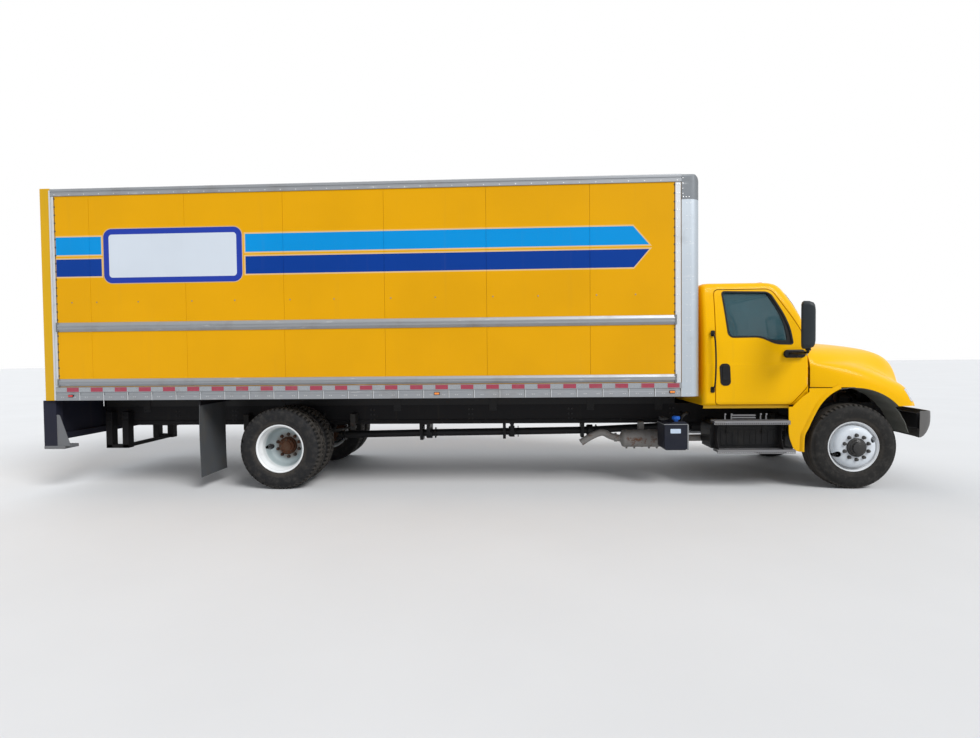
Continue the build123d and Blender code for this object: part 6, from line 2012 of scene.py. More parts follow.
    def build(self) -> None:
        """Makes every piece of the cab."""
        body = Body.CHASSIS.value
        shell, door = self.shell_and_doors()
        make_piece(shell, "cab_skin", Look.CAB, body, ["cab_shell"], sharp=32.0)
        panes = self.layer(0.018, 0.024)
        front_glass = panes.copy().cut(self.windshield(), "INTERSECT")
        back_glass = panes.copy().cut(self.back_window(), "INTERSECT")
        make_piece(front_glass.add(back_glass), "cab_panes", Look.GLASS, body, ["cab_glass"])
        side_glass = panes.cut(self.side_window(), "INTERSECT")
        rubber = self.gasket(self.windshield)
        rubber.add(self.gasket(self.back_window))
        make_pieces(
            body,
            (rubber, "window_rubbers", Look.RUBBER),
            (self.door_seal().both(), "door_seals", Look.RUBBER),
        )
        side_rubber = self.gasket(self.side_window, wide=0.009, lap=0.010)
        side_rubber.add(self.window_post())
        trim, fittings = self.door_trim()
        head, mouth_panes, bracket = self.mirror_head(), self.mirror_panes(), self.mirror_bracket()
        handle = self.outside_handle()
        for side in Side:
            w = side.word
            rides = f"door_{w}"
            make_piece(door.on(side), f"{w}_door_skin", Look.CAB, rides, [f"door_{w}"], sharp=32.0)
            make_pieces(
                rides,
                (side_glass.on(side), f"{w}_door_pane", Look.GLASS, f"door_glass_{w}"),
                (side_rubber.on(side), f"{w}_door_rubber", Look.RUBBER),
                (trim.on(side), f"{w}_door_trim", Look.PLASTIC),
                (fittings.on(side), f"{w}_door_fittings", Look.BLACK_PLASTIC),
                (handle.on(side), f"{w}_door_handle", Look.BLACK_PLASTIC),
                (head.on(side), f"{w}_mirror_head", Look.MIRROR_SHELL, f"mirror_{w}"),
                (mouth_panes.on(side), f"{w}_mirror_panes", Look.MIRROR),
                (bracket.on(side), f"{w}_mirror_bracket", Look.BLACK_PLASTIC),
            )
        make_pieces(
            body,
            (self.grab_bar().both(), "grab_bars", Look.BLACK_PLASTIC),
            # The sills take the darker portal yellow: painted shade under the cab's lower edge.
            (self.sill().both(), "cab_sills", Look.FRAME_YELLOW),
            (self.hinges().both(), "door_hinges", Look.ZINC),
        )
        lens, base = self.roof_lamps()
        make_pieces(
            body,
            (lens, "roof_lenses", Look.AMBER_LENS),
            (base, "roof_lamp_bases", Look.BLACK_PLASTIC),
            (self.wipers(), "wipers", Look.BLACK_PLASTIC),
            (self.cowl(), "cowl_grille", Look.BLACK_PLASTIC),
        )
        panel, dials, wheel = self.dash()
        make_pieces(
            body,
            (panel, "dash_panel", Look.PLASTIC, "dashboard"),
            (dials, "dials_and_switches", Look.DIAL),
            (wheel, "steering_wheel", Look.BLACK_PLASTIC),
            (self.sun_visors(), "sun_visors", Look.SEAT),
        )
        self.build_seats()


# Hood


@dataclass(frozen=True)
class Section:
    """One section of the hood and fender, as (half width, height) marks from the middle out."""

    a: float
    crown: Flat
    shoulder: Flat
    brow: Flat
    foot: Flat
    valley: Flat
    ledge: Flat
    fender: Flat
    cheek: Flat
    sill: Flat

    def row(self) -> list[Point]:
        """The section's cage points, the middle one first."""
        marks = (self.crown, self.shoulder, self.brow, self.foot, self.valley, self.ledge,
                 self.fender, self.cheek, self.sill)
        middle = (ahead(self.a), 0.0, self.crown[1] + 0.005)
        return [middle] + [(ahead(self.a), y, z) for y, z in marks]


@dataclass
class Hood:
    """Tilting hood in one smooth skin with the fenders, its grille and headlamps."""

    skin: float = 0.012
    arch: float = 0.700
    lip: float = 1.213
    grille_edge: tuple[tuple[float, float, float], ...] = (
        (-0.395, 0.985, 0.030), (0.395, 0.985, 0.030), (0.330, 1.320, 0.060),
        (-0.330, 1.320, 0.060))
    sections: tuple[Section, ...] = (
        Section(-0.484, (0.42, 1.766), (0.84, 1.722), (1.005, 1.645), (1.066, 1.560),
                (1.080, 1.520), (1.092, 1.490), (1.098, 1.440), (1.098, 1.20), (1.098, 0.985)),
        Section(-0.440, (0.42, 1.765), (0.83, 1.720), (0.998, 1.642), (1.060, 1.556),
                (1.077, 1.519), (1.097, 1.496), (1.108, 1.442), (1.110, 1.20), (1.110, 0.985)),
        Section(-0.240, (0.40, 1.762), (0.76, 1.716), (0.930, 1.632), (1.000, 1.550),
                (1.030, 1.514), (1.090, 1.488), (1.136, 1.425), (1.142, 1.20), (1.142, 0.985)),
        Section(0.060, (0.37, 1.744), (0.67, 1.700), (0.820, 1.612), (0.885, 1.542), (0.930, 1.502),
                (1.040, 1.468), (1.146, 1.395), (1.170, 1.20), (1.170, 0.985)),
        Section(0.320, (0.36, 1.712), (0.59, 1.672), (0.720, 1.580), (0.780, 1.500), (0.832, 1.450),
                (0.970, 1.410), (1.120, 1.322), (1.168, 1.16), (1.168, 0.985)),
        Section(0.530, (0.35, 1.680), (0.54, 1.640), (0.645, 1.548), (0.700, 1.445), (0.758, 1.368),
                (0.900, 1.325), (1.078, 1.262), (1.152, 1.13), (1.155, 0.985)),
        Section(0.680, (0.34, 1.642), (0.51, 1.598), (0.600, 1.510), (0.650, 1.385), (0.712, 1.290),
                (0.860, 1.262), (1.040, 1.205), (1.122, 1.095), (1.130, 0.985)),
    )
    brows: tuple[tuple[Point, ...], ...] = (
        ((0.815, 0.0, 1.596), (0.815, 0.31, 1.590), (0.806, 0.455, 1.546), (0.795, 0.540, 1.462),
         (0.780, 0.600, 1.330), (0.778, 0.665, 1.235), (0.772, 0.800, 1.205), (0.738, 0.965, 1.148),
         (0.708, 1.075, 1.066), (0.694, 1.104, 0.985)),
        ((0.893, 0.0, 1.526), (0.892, 0.30, 1.520), (0.880, 0.435, 1.478), (0.866, 0.518, 1.395),
         (0.842, 0.582, 1.272), (0.836, 0.652, 1.170), (0.830, 0.788, 1.140), (0.788, 0.945, 1.094),
         (0.738, 1.058, 1.031), (0.721, 1.088, 0.984)),
        ((0.942, 0.0, 1.420), (0.941, 0.28, 1.415), (0.933, 0.415, 1.382), (0.912, 0.502, 1.300),
         (0.888, 0.574, 1.190), (0.880, 0.650, 1.104), (0.868, 0.782, 1.080), (0.820, 0.930, 1.050),
         (0.760, 1.042, 1.008), (0.742, 1.070, 0.984)),
        ((0.958, 0.0, 1.235), (0.958, 0.27, 1.232), (0.953, 0.405, 1.212), (0.938, 0.492, 1.160),
         (0.918, 0.572, 1.090), (0.908, 0.655, 1.040), (0.892, 0.780, 1.026), (0.842, 0.918, 1.008),
         (0.778, 1.025, 0.992), (0.758, 1.054, 0.983)),
        ((0.958, 0.0, 0.985), (0.958, 0.27, 0.985), (0.954, 0.405, 0.985), (0.942, 0.495, 0.985),
         (0.925, 0.578, 0.984), (0.914, 0.662, 0.983), (0.898, 0.780, 0.983), (0.850, 0.910, 0.982),
         (0.790, 1.012, 0.982), (0.770, 1.040, 0.982)),
    )

    def surface(self) -> Shape:
        """The outer skin as one smooth open sheet over both sides."""
        rows = [section.row() for section in self.sections]
        rows += [[(ahead(a), y, z) for a, y, z in brow] for brow in self.brows]
        loops = [[(x, -y, z) for x, y, z in reversed(row[1:])] + row for row in rows]
        return Shape().loft(loops, closed=False).weld().finer(3)

    def outward(self, sheet: Shape) -> Shape:
        """Turns a sheet so that its faces look up and out."""
        top = max(sheet.bm.faces, key=lambda face: face.calc_center_median().z)
        if top.normal.z < 0.0:
            bmesh.ops.reverse_faces(sheet.bm, faces=sheet.bm.faces[:])
        return sheet

    def arch_tool(self) -> Shape:
        """What the wheel arches and the step over the splash panel take away."""
        tool = Shape()
        for side in Side:
            y0, y1 = span(side.value, 0.700, 1.300)
            wheel = Shape().rod((FRONT_AXLE_X, y0, AXLE_Z), (FRONT_AXLE_X, y1, AXLE_Z), self.arch,
                                sides=128)
            tool.cut(wheel, "UNION")
        tool.cut(Shape().box((ahead(-0.60), -1.30, 0.80), (FRONT_AXLE_X, 1.30, self.lip)), "UNION")
        return tool

    def inner_liner(self) -> Shape:
        """Ribbed liner over the left front tyre, and its tail down ahead of the tyre."""
        rows = []
        for i in range(33):
            turn = math.radians(12.0 + 91.0 * i / 32)
            r = self.arch + 0.005 - (0.005 if i % 4 == 2 else 0.0)
            x, z = FRONT_AXLE_X + r * math.cos(turn), AXLE_Z + r * math.sin(turn)
            wide = min(1.158, 1.158 - (x - ahead(0.36)) * 0.10) if z > 0.968 else 1.055
            rows.append([(x, y, z) for y in (0.728, 0.735, 0.90, wide - 0.02, wide)])
        return Shape().loft(rows, closed=False).weld().thicken(0.005)

    def lamp_prism(self, g: float) -> Shape:
        """The left headlamp's outline made larger by g, drawn out along the truck."""
        edge = [(0.660 - g, 1.046 - g, 0.045), (0.900, 1.030 - g, 0.05),
                (1.150 + g, 1.036 - g, 0.01), (1.150 + g, 1.182 + g, 0.01),
                (1.010, 1.182 + g, 0.06), (0.730, 1.172 + g, 0.06), (0.652 - g, 1.130, 0.05)]
        side = [(ahead(0.612) - g, 1.188 + g, 0.02), (ahead(0.672) - g, 1.034 - g, 0.02),
                (ahead(1.02), 1.020 - g), (ahead(1.02), 1.190)]
        prism = Shape().prism(edge, "X", ahead(0.52), ahead(0.99), round_steps=6).weld()
        return prism.cut(Shape().prism(side, "Y", 0.40, 1.30, round_steps=6).weld(), "INTERSECT")

    def lamp_inside(self) -> Shape:
        """Two bright bowls behind the left lens, each with a short rod at its middle."""
        bowls = Shape()
        for y, x, r in ((0.745, 0.755, 0.052), (0.900, 0.715, 0.052)):
            profile = [(0.0005, -0.070), (0.020, -0.066), (0.036, -0.050), (0.047, -0.026),
                       (r, 0.0), (r + 0.003, 0.0)]
            bowls.spun(profile, (ahead(x), y, 1.098), 40, (1.0, 0.15, 0.0))
            bowls.rod((ahead(x) - 0.045, y, 1.098), (ahead(x) - 0.012, y, 1.098), 0.011, sides=16,
                      soft=0.004)
        return bowls

    def grille(self) -> tuple[Shape, Shape]:
        """Bright surround with its bars, and the dark screen behind them."""
        face = ahead(0.936)
        inner = [(-0.358, 1.012, 0.020), (0.358, 1.012, 0.020), (0.300, 1.284, 0.045),
                 (-0.300, 1.284, 0.045)]
        ring = Shape().prism(self.grille_edge, "X", face - 0.024, face + 0.002, soft=0.006, steps=3,
                             round_steps=8)
        ring.weld().cut(Shape().prism(inner, "X", face - 0.05, face + 0.05, round_steps=8).weld())
        z = 1.040
        while z < 1.275:
            half = 0.372 - 0.062 * (z - 0.985) / 0.335
            profile = [(face - 0.020, z - 0.006), (face - 0.006, z - 0.011, 0.004),
                       (face - 0.002, z, 0.004), (face - 0.006, z + 0.011, 0.004),
                       (face - 0.020, z + 0.006)]
            ring.prism(profile, "Y", -half, half, round_steps=3)
            z += 0.052
        for y in (-0.12, 0.12):
            ring.box((face - 0.022, y - 0.006, 1.005), (face - 0.012, y + 0.006, 1.290))
        screen = Shape()
        for z in spread(1.000, 1.305, 0.012):
            half = 0.385 - 0.062 * (z - 0.985) / 0.335
            screen.box((face - 0.0300, -half, z - 0.0008), (face - 0.0285, half, z + 0.0008))
        for y in spread(-0.375, 0.375, 0.012):
            top = 1.312 if abs(y) < 0.318 else 1.312 - (abs(y) - 0.318) * 5.0
            screen.box((face - 0.0285, y - 0.0008, 0.995),
                       (face - 0.0270, y + 0.0008, max(1.02, top)))
        return ring, screen

    def build(self) -> None:
        """Makes the hood with its grille and lamps."""
        body = Body.HOOD.value
        sheet = self.outward(self.surface())
        skin = sheet.copy().thicken(self.skin)
        skin.cut(self.arch_tool())
        skin.cut(Shape().prism(self.grille_edge, "X", ahead(0.80), ahead(1.10),
                               round_steps=8).weld())
        skin.cut(self.lamp_prism(0.004).both())
        make_piece(skin, "hood_skin", Look.CAB, body, ["hood"], sharp=34.0, flat=False)
        # The liners' pale olive tone is painted sunlight.
        make_piece(self.inner_liner().both(), "hood_liners", Look.LINER_SUNLIT_TONE, body)
        lens = sheet.thicken(0.004).cut(self.lamp_prism(0.0).both(), "INTERSECT")
        make_pieces(
            body,
            (lens, "headlamp_lenses", Look.LAMP_GLASS, "headlamps"),
            (self.lamp_inside().both(), "headlamp_bowls", Look.CHROME),
        )
        ring, screen = self.grille()
        make_pieces(
            body,
            (ring, "grille_bars", Look.GRILLE, "grille"),
            (screen, "grille_screen", Look.BLACK_PLASTIC),
        )


# Chassis


def smooth_route(points: Sequence[Flat], steps: int = 6) -> list[Flat]:
    """A smooth flat curve through all its points."""
    made: list[Flat] = []
    ends = [points[0], *points, points[-1]]
    for p0, p1, p2, p3 in zip(ends, ends[1:], ends[2:], ends[3:]):
        for i in range(steps):
            t = i / steps
            made.append(tuple(
                0.5 * (2 * b + (c - a) * t + (2 * a - 5 * b + 4 * c - d) * t * t
                       + (3 * b - a - 3 * c + d) * t ** 3)
                for a, b, c, d in zip(p0, p1, p2, p3)))
    return made + [points[-1]]


def hexes(shape: Shape, places: Iterable[Point], axis: str, radius: float = 0.011,
          height: float = 0.009) -> Shape:
    """Adds hexagon bolt heads on washers at places, along a signed axis such as +X or -Z."""
    sign = -1.0 if axis[0] == "-" else 1.0
    step = {"X": Vector((1, 0, 0)), "Y": Vector((0, 1, 0)), "Z": Vector((0, 0, 1))}[axis[-1]] * sign
    for place in places:
        p = Vector(place)
        shape.rod(tuple(p - step * 0.001), tuple(p + step * 0.002), radius * 1.5, sides=16)
        shape.rod(tuple(p + step * 0.002), tuple(p + step * height), radius, radius * 0.96, sides=6)
    return shape


@dataclass
class FrontEnd:
    """Front bumper and the splash panels behind the front wheels."""

    high: float = 0.922
    low: float = 0.600
    end_y: float = 1.092
    splash_edge: tuple[Flat, ...] = (
        (-0.160, 1.204), (-0.279, 1.135), (-0.391, 1.021), (-0.477, 0.867), (-0.535, 0.739),
        (-0.580, 0.640), (-0.588, 0.500), (-0.588, 0.450))

    def plan(self, drawn: float) -> list[Flat]:
        """The bumper's plan from the middle to its left end, drawn in by a distance."""
        marks = []
        for i in range(23):
            y = 1.058 * i / 22
            a = 1.016 - 0.055 * y * y - 0.018 * max(0.0, (y - 0.55) / 0.51) ** 2.4
            marks.append((a - drawn, y))
        marks += [(max(0.7985 - 0.002 * i, a - drawn), y - 0.1 * drawn)
                  for i, (a, y) in enumerate(((0.918, 1.074), (0.900, 1.084), (0.870, 1.090),
                                              (0.792, self.end_y)))]
        return marks

    def bumper(self) -> Shape:
        """The bar as one pressed sheet whose foot curls back."""
        levels = ((self.high - 0.006, 0.018), (self.high, 0.014), (self.high, 0.008),
                  (self.high - 0.003, 0.002), (self.high - 0.012, 0.0), (0.850, -0.002),
                  (0.790, 0.0), (0.745, 0.008), (0.700, 0.024), (0.655, 0.048), (0.620, 0.078),
                  (0.602, 0.106), (self.low, 0.130))
        loops = []
        for z, drawn in levels:
            half = self.plan(drawn)
            right = [(ahead(a), -y, z) for a, y in reversed(half[1:])]
            loops.append(right + [(ahead(a), y, z) for a, y in half])
        bar = Shape().loft(loops, closed=False).weld()
        middle = max(bar.bm.faces, key=lambda f: f.calc_center_median().x)
        if middle.normal.x < 0.0:
            bmesh.ops.reverse_faces(bar.bm, faces=bar.bm.faces[:])
        return bar.shaped("SOLIDIFY", thickness=0.005, offset=-1.0)

    def bumper_bolts(self) -> Shape:
        """Bright dome bolts that hold the bar to its brackets."""
        bolts = Shape()
        for y in (-0.465, 0.465):
            for z in (0.835, 0.745):
                a = 1.016 - 0.055 * y * y
                x = ahead(a) - (0.008 if z < 0.78 else 0.0)
                bolts.rod((x - 0.004, y, z), (x + 0.0015, y, z), 0.017, 0.0155, sides=24)
                bolts.rod((x + 0.0015, y, z), (x + 0.0065, y, z), 0.0145, 0.007, sides=24)
        return bolts

    def brackets(self) -> Shape:
        """Frame horns, hood hinge ears and the black end stays of the bumper."""
        parts = Shape()
        for side in (1, -1):
            y0, y1 = span(side, RAIL_SIDE, 0.4480)
            parts.prism([(ahead(0.690), 0.735, 0.01), (ahead(0.962), 0.735, 0.01),
                         (ahead(0.985), 0.775, 0.01), (ahead(0.985), 0.895, 0.01),
                         (ahead(0.690), 0.895, 0.01)], "Y", y0, y1, soft=0.002)
            parts.prism([(ahead(0.908), 0.885), (ahead(0.942), 0.885), (ahead(0.938), 0.940, 0.012),
                         (ahead(0.912), 0.940, 0.012)], "Y", y0, y1, soft=0.001)
            parts.rod((ahead(0.925), y0, 0.940), (ahead(0.925), y1, 0.940), 0.016, sides=24,
                      soft=0.001)
            low, high = span(side, 0.449, 1.030)
            parts.prism(rect((ahead(0.800), ahead(0.838)), (0.700, 0.890), 0.02), "Y", low, high,
                        soft=0.004)
        for way, y in (("+Y", 0.4480), ("-Y", -0.4480)):
            hexes(parts, [(ahead(a), y, z) for a in (0.72, 0.80, 0.88) for z in (0.77, 0.86)], way)
        return parts

    def splash(self) -> tuple[Shape, Shape]:
        """The left splash panel's outer skin with its rolled flare, and the liner over the tyre."""
        edge = [(ahead(a), z) for a, z in smooth_route(self.splash_edge, 5)]
        skin = Shape().prism(edge + [(ahead(-0.690), 0.450, 0.060), (ahead(-0.757), 0.640, 0.060),
                                     (ahead(-0.757), 0.985), (ahead(-0.712), 0.985),
                                     (ahead(-0.690), 1.012), (ahead(-0.600), 1.100),
                                     (ahead(-0.518), 1.160), (ahead(-0.518), 1.204)], "Y", 1.140,
                             1.151, soft=0.003, steps=2, round_steps=6)
        loops = []
        for i, (x, z) in enumerate(edge):
            before, after = edge[max(0, i - 1)], edge[min(len(edge) - 1, i + 1)]
            run = Vector((after[0] - before[0], after[1] - before[1])).normalized()
            back = Vector((run.y, -run.x))
            if back.x > 0.0:
                back = -back
            ring = []
            for depth, y in ((-0.002, 1.118), (-0.006, 1.150), (-0.005, 1.166), (0.002, 1.1725),
                             (0.012, 1.1715), (0.024, 1.164), (0.040, 1.1535), (0.046, 1.146),
                             (0.030, 1.140), (0.008, 1.136)):
                ring.append((x + back.x * depth, y, z + back.y * depth))
            loops.append(ring)
        flare = Shape().loft(loops).weld()
        lined = Shape()
        rows = [[(x, y, z) for x, z in edge] for y in (0.722, 0.80, 0.93, 1.06, 1.137)]
        lined.loft(rows, closed=False).weld()
        lined.thicken(0.006)
        return skin.add(flare), lined

    def build(self) -> None:
        """Makes the bumper and the splash panels."""
        body = Body.CHASSIS.value
        make_pieces(
            body,
            (self.bumper(), "bumper_bar", Look.BUMPER, "front_bumper"),
            (self.bumper_bolts(), "bumper_bolts", Look.CHROME),
            (self.brackets(), "bumper_brackets", Look.BLACK),
        )
        skin, liner = self.splash()
        make_pieces(
            body,
            (skin.both(), "splash_skins", Look.CAB, "splash_panels"),
            (liner.both(), "splash_liners", Look.BLACK_PLASTIC),
        )
        ties = Shape()
        for side in (1, -1):
            y0, y1 = span(side, 0.433, 0.726)
            ties.tube([(ahead(-0.549), y0, 0.810), (ahead(-0.549), y1, 0.810)], 0.019, sides=4,
                      smooth=False)
        make_piece(ties, "splash_stays", Look.BLACK, body)


@dataclass
class Steps:
    """The cab steps with what stands behind them on each rail."""

    front: float = -0.765
    back: float = -1.650
    levels: tuple[float, float] = (0.470, 0.815)
    inner: float = 1.075
    outer: float = 1.212

    def ends(self, z: float) -> Flat:
        """Where the tread at a height begins and ends."""
        return (ahead(self.back + 0.036),
                ahead(-0.705)) if z == self.levels[0] else (ahead(self.back), ahead(self.front))

    def bar(self, y: float, z: float, tooth: float = 0.011) -> Shape:
        """One lengthwise bar of a tread with teeth along its top."""
        x0, x1 = self.ends(z)
        outline = [(x0, z - 0.014), (x1, z - 0.014)]
        count = 46
        for i in range(count):
            right = x1 - (x1 - x0) * i / count
            mid = x1 - (x1 - x0) * (i + 0.5) / count
            outline += [(right, z + 0.006), (mid, z + 0.006 + tooth)]
        outline.append((x0, z + 0.006))
        return Shape().prism(outline, "Y", y - 0.0050, y + 0.0050)

    def tread(self, z: float) -> Shape:
        """One grip tread: toothed bars, rungs and a rolled nose."""
        x0, x1 = self.ends(z)
        made = Shape()
        for y in (1.082, 1.107, 1.132, 1.157, 1.182, 1.206):
            made.add(self.bar(y, z))
        for x in spread(x0 + 0.002, x1 - 0.004, 0.049):
            made.box((x, self.inner + 0.002, z - 0.012),
                     (x + 0.0035, self.outer - 0.002, z + 0.005))
        made.box((x0, self.outer - 0.004, z - 0.0140), (x1, self.outer, z + 0.006), soft=0.001)
        made.box((x0, self.outer - 0.004, z - 0.0340), (x1, self.outer - 0.001, z - 0.0290))
        for x in spread(x0, x1 - 0.016, 0.0245):
            made.box((x, self.outer - 0.004, z - 0.0320), (x + 0.015, self.outer, z - 0.012))
        made.prism(rect((self.outer - 0.030, self.outer), (z - 0.0145, z - 0.011)), "X", x0, x1)
        for x in (x0, x1 - 0.006):
            made.box((x, self.inner, z - 0.0145), (x + 0.006, self.outer, z + 0.009), soft=0.001)
        return made

    def stays(self) -> Shape:
        """The upright side plates that carry both treads."""
        made = Shape()
        low, high = self.levels
        for a in (self.back + 0.060, self.front - 0.070):
            plate = Shape().prism([(self.inner - 0.020, low - 0.012, 0.012),
                                   (self.outer - 0.030, low - 0.012, 0.025),
                                   (self.outer - 0.030, low + 0.030, 0.02),
                                   (self.inner + 0.045, (low + high) / 2, 0.05),
                                   (self.outer - 0.030, high - 0.040, 0.02),
                                   (self.outer - 0.030, high - 0.014, 0.004),
                                   (self.inner - 0.020, high - 0.014, 0.004)], "X", ahead(a),
                                  ahead(a) + 0.006, soft=0.0015, round_steps=6).weld()
            made.add(plate)
        return made

    def arms(self) -> Shape:
        """Bright brackets that hold the upper tread up to the cab's side."""
        made = Shape()
        z = self.levels[1]
        for a in (-1.485, -1.410, -1.065, -1.000):
            made.prism([(ahead(a), z + 0.008), (ahead(a) + 0.018, z + 0.008),
                        (ahead(a) + 0.014, z + 0.080, 0.006), (ahead(a) + 0.002, z + 0.080, 0.006)],
                       "Y", 1.078, 1.084, soft=0.001)
            made.rod((ahead(a) + 0.008, 1.080, z + 0.078), (ahead(a) + 0.008, 1.100, z + 0.078),
                     0.011, sides=16, soft=0.002)
        for low, high in ((0.026, 0.044), (0.056, 0.072)):
            made.prism([(ahead(-1.392), z + low, 0.004), (ahead(-1.108), z + low, 0.004),
                        (ahead(-1.114), z + high, 0.006), (ahead(-1.386), z + high, 0.006)], "Y",
                       1.070, 1.080, soft=0.003)
        return made

    def battery_case(self) -> tuple[Shape, Shape]:
        """Ribbed battery box on the right, and its latches."""
        x0, x1 = ahead(-1.640), ahead(-0.820)
        case = Shape().prism(rect((x0, x1), (0.507, 0.712), 0.02, 0.02, 0.0, 0.0), "Y", -1.052,
                             -0.702, soft=0.010, steps=3)
        case.box((x0 + 0.015, -1.045, 0.474), (x1 - 0.015, -0.702, 0.509), soft=0.006)
        case.prism(rect((x0, x1), (0.708, 0.784), 0.006, 0.006, 0.030, 0.030), "Y", -1.060, -0.700,
                   soft=0.012, steps=3, round_steps=6)
        for x in spread(x0 + 0.06, x1 - 0.06, 0.070):
            case.prism(rect((x - 0.010, x + 0.010), (0.530, 0.690), 0.008), "Y", -1.0575, -1.048,
                       soft=0.002)
        for z in (0.735, 0.757):
            case.box((x0 + 0.05, -1.0635, z - 0.004), (x1 - 0.05, -1.058, z + 0.004), soft=0.002)
        latches = Shape()
        for x in (x0 + 0.20, x1 - 0.20):
            latches.prism([(x - 0.016, 0.655, 0.01), (x + 0.016, 0.655, 0.01),
                           (x + 0.013, 0.765, 0.01), (x - 0.013, 0.765, 0.01)], "Y", -1.070, -1.060,
                          soft=0.002)
            latches.rod((x - 0.022, -1.067, 0.668), (x + 0.022, -1.067, 0.668), 0.0065, sides=12)
        for a in (-1.500, -1.010):
            case.prism(rect((ahead(a), ahead(a) + 0.070), (0.720, 0.780), 0.006), "Y", -0.705,
                       -RAIL_SIDE, soft=0.002)
        return case, latches

    def round_tank(self) -> tuple[Shape, Shape]:
        """Left fuel tank with dished ends and a filler, and its straps and brackets."""
        y, z, r = 0.790, 0.660, 0.270
        x0, x1 = ahead(-1.690), ahead(-0.760)
        half = (x1 - x0) / 2
        middle = ((x0 + x1) / 2, y, z)
        profile = [(0.0005, -half + 0.012), (r * 0.55, -half + 0.010), (r - 0.055, -half + 0.004),
                   (r - 0.030, -half + 0.003), (r - 0.012, -half + 0.009),
                   (r - 0.003, -half + 0.020), (r, -half + 0.034), (r + 0.0025, -half + 0.044),
                   (r, -half + 0.054)]
        profile += [(radius, -along) for radius, along in reversed(profile)]
        tank = Shape().spun(profile, middle, 96, ALONG)
        tank.rod((ahead(-1.240), y + 0.150, z + 0.212), (ahead(-1.240), y + 0.162, z + 0.262),
                 0.046, sides=40, soft=0.003)
        straps = Shape()
        bracket = [(0.433, 0.962, 0.01), (0.450, 0.962, 0.01), (0.500, 0.560, 0.03),
                   (0.700, 0.396, 0.03), (0.760, 0.384, 0.01), (0.760, 0.372, 0.01),
                   (0.660, 0.372, 0.03), (0.433, 0.560, 0.03)]
        for a in (-1.560, -0.960):
            band = [(r + 0.0015, -0.030), (r + 0.006, -0.030), (r + 0.007, -0.024),
                    (r + 0.007, 0.024), (r + 0.006, 0.030), (r + 0.0015, 0.030)]
            straps.spun(band, (ahead(a), y, z), 96, ALONG)
            for x0, x1 in ((ahead(a) - 0.028, ahead(a) - 0.018),
                           (ahead(a) + 0.018, ahead(a) + 0.028)):
                straps.prism(bracket, "X", x0, x1, soft=0.001, round_steps=5)
            straps.rod((ahead(a), 0.560, 0.840), (ahead(a), 0.560, 0.930), 0.008, sides=12)
            straps.rod((ahead(a), 0.560, 0.905), (ahead(a), 0.560, 0.920), 0.014, sides=6)
        return tank, straps

    def filler_cap(self) -> Shape:
        """Black grip cap of the fuel tank."""
        cap = Shape()
        centre = Vector((ahead(-1.240), 0.952, 0.922))
        up = Vector((0.0, 0.235, 0.972))
        cap.rod(tuple(centre), tuple(centre + up * 0.024), 0.056, 0.053, sides=40, soft=0.004)
        for i in range(12):
            turn = 2.0 * math.pi * i / 12
            side = Vector((math.cos(turn), math.sin(turn) * 0.972,
                           -math.sin(turn) * 0.235)) * 0.0555
            cap.rod(tuple(centre + side + up * 0.003), tuple(centre + side + up * 0.021), 0.0065,
                    sides=10, soft=0.001)
        return cap

    def fluid_tank(self) -> tuple[Shape, Shape, Shape, Shape]:
        """Exhaust-fluid tank on the right: its body, band, label and cap."""
        x0, x1 = ahead(-2.210), ahead(-1.930)
        tank = Shape().prism(rect((x0, x1), (0.462, 0.778), 0.035, 0.035, 0.012, 0.012), "Y",
                             -1.116, -0.802, soft=0.018, steps=4, round_steps=6)
        tank.prism([(x0 + 0.006, 0.770), (x1 - 0.006, 0.770), (x1 - 0.010, 0.806, 0.02),
                    (x0 + 0.120, 0.806, 0.03), (x0 + 0.090, 0.790, 0.02),
                    (x0 + 0.008, 0.790, 0.01)], "Y", -1.108, -0.810, soft=0.010, steps=3,
                   round_steps=5)
        for x in (x0 + 0.012, x1 - 0.012):
            tank.rod((x, -1.108, 0.500), (x, -1.108, 0.765), 0.010, sides=16)
        band = Shape()
        band.box((x1 - 0.004, -1.119, 0.470), (x1 + 0.012, -0.800, 0.772), soft=0.003)
        band.box((x0 - 0.004, -1.1185, 0.772), (x1 + 0.006, -0.800, 0.780), soft=0.002)
        band.prism(rect((x0 + 0.110, x0 + 0.170), (0.760, 0.800), 0.006), "Y", -0.810, -RAIL_SIDE,
                   soft=0.002)
        label = Shape().prism(rect((ahead(-2.135), ahead(-2.012)), (0.668, 0.722), 0.008), "Y",
                              -1.1175, -1.1155)
        cx, cy = ahead(-2.048), -1.040
        cap = Shape().rod((cx, cy, 0.786), (cx, cy, 0.828), 0.026, sides=32)
        cap.rod((cx, cy, 0.828), (cx, cy, 0.868), 0.046, 0.042, sides=40, soft=0.006, steps=3)
        for i in range(16):
            turn = 2.0 * math.pi * i / 16
            cap.rod((cx + 0.0445 * math.cos(turn), cy + 0.0445 * math.sin(turn), 0.834),
                    (cx + 0.0435 * math.cos(turn), cy + 0.0435 * math.sin(turn), 0.860), 0.0035,
                    sides=8)
        return tank, band, label, cap

    def fluid_lines(self) -> Shape:
        """Hoses from the fluid tank's head to the rail."""
        lines = Shape()
        for k, (dy, dz) in enumerate(((0.0, 0.0), (0.030, 0.006), (0.058, -0.004))):
            lines.tube([(ahead(-1.975), -1.000 + dy, 0.795),
                        (ahead(-1.965), -1.000 + dy, 0.850 + dz),
                        (ahead(-1.900), -0.960 + dy, 0.885 + dz),
                        (ahead(-1.820 + 0.02 * k), -0.760 + dy, 0.880),
                        (ahead(-1.800), -0.560, 0.860 - 0.03 * k),
                        (ahead(-1.800), -0.437, 0.850 - 0.03 * k)], 0.009, sides=3)
        return lines

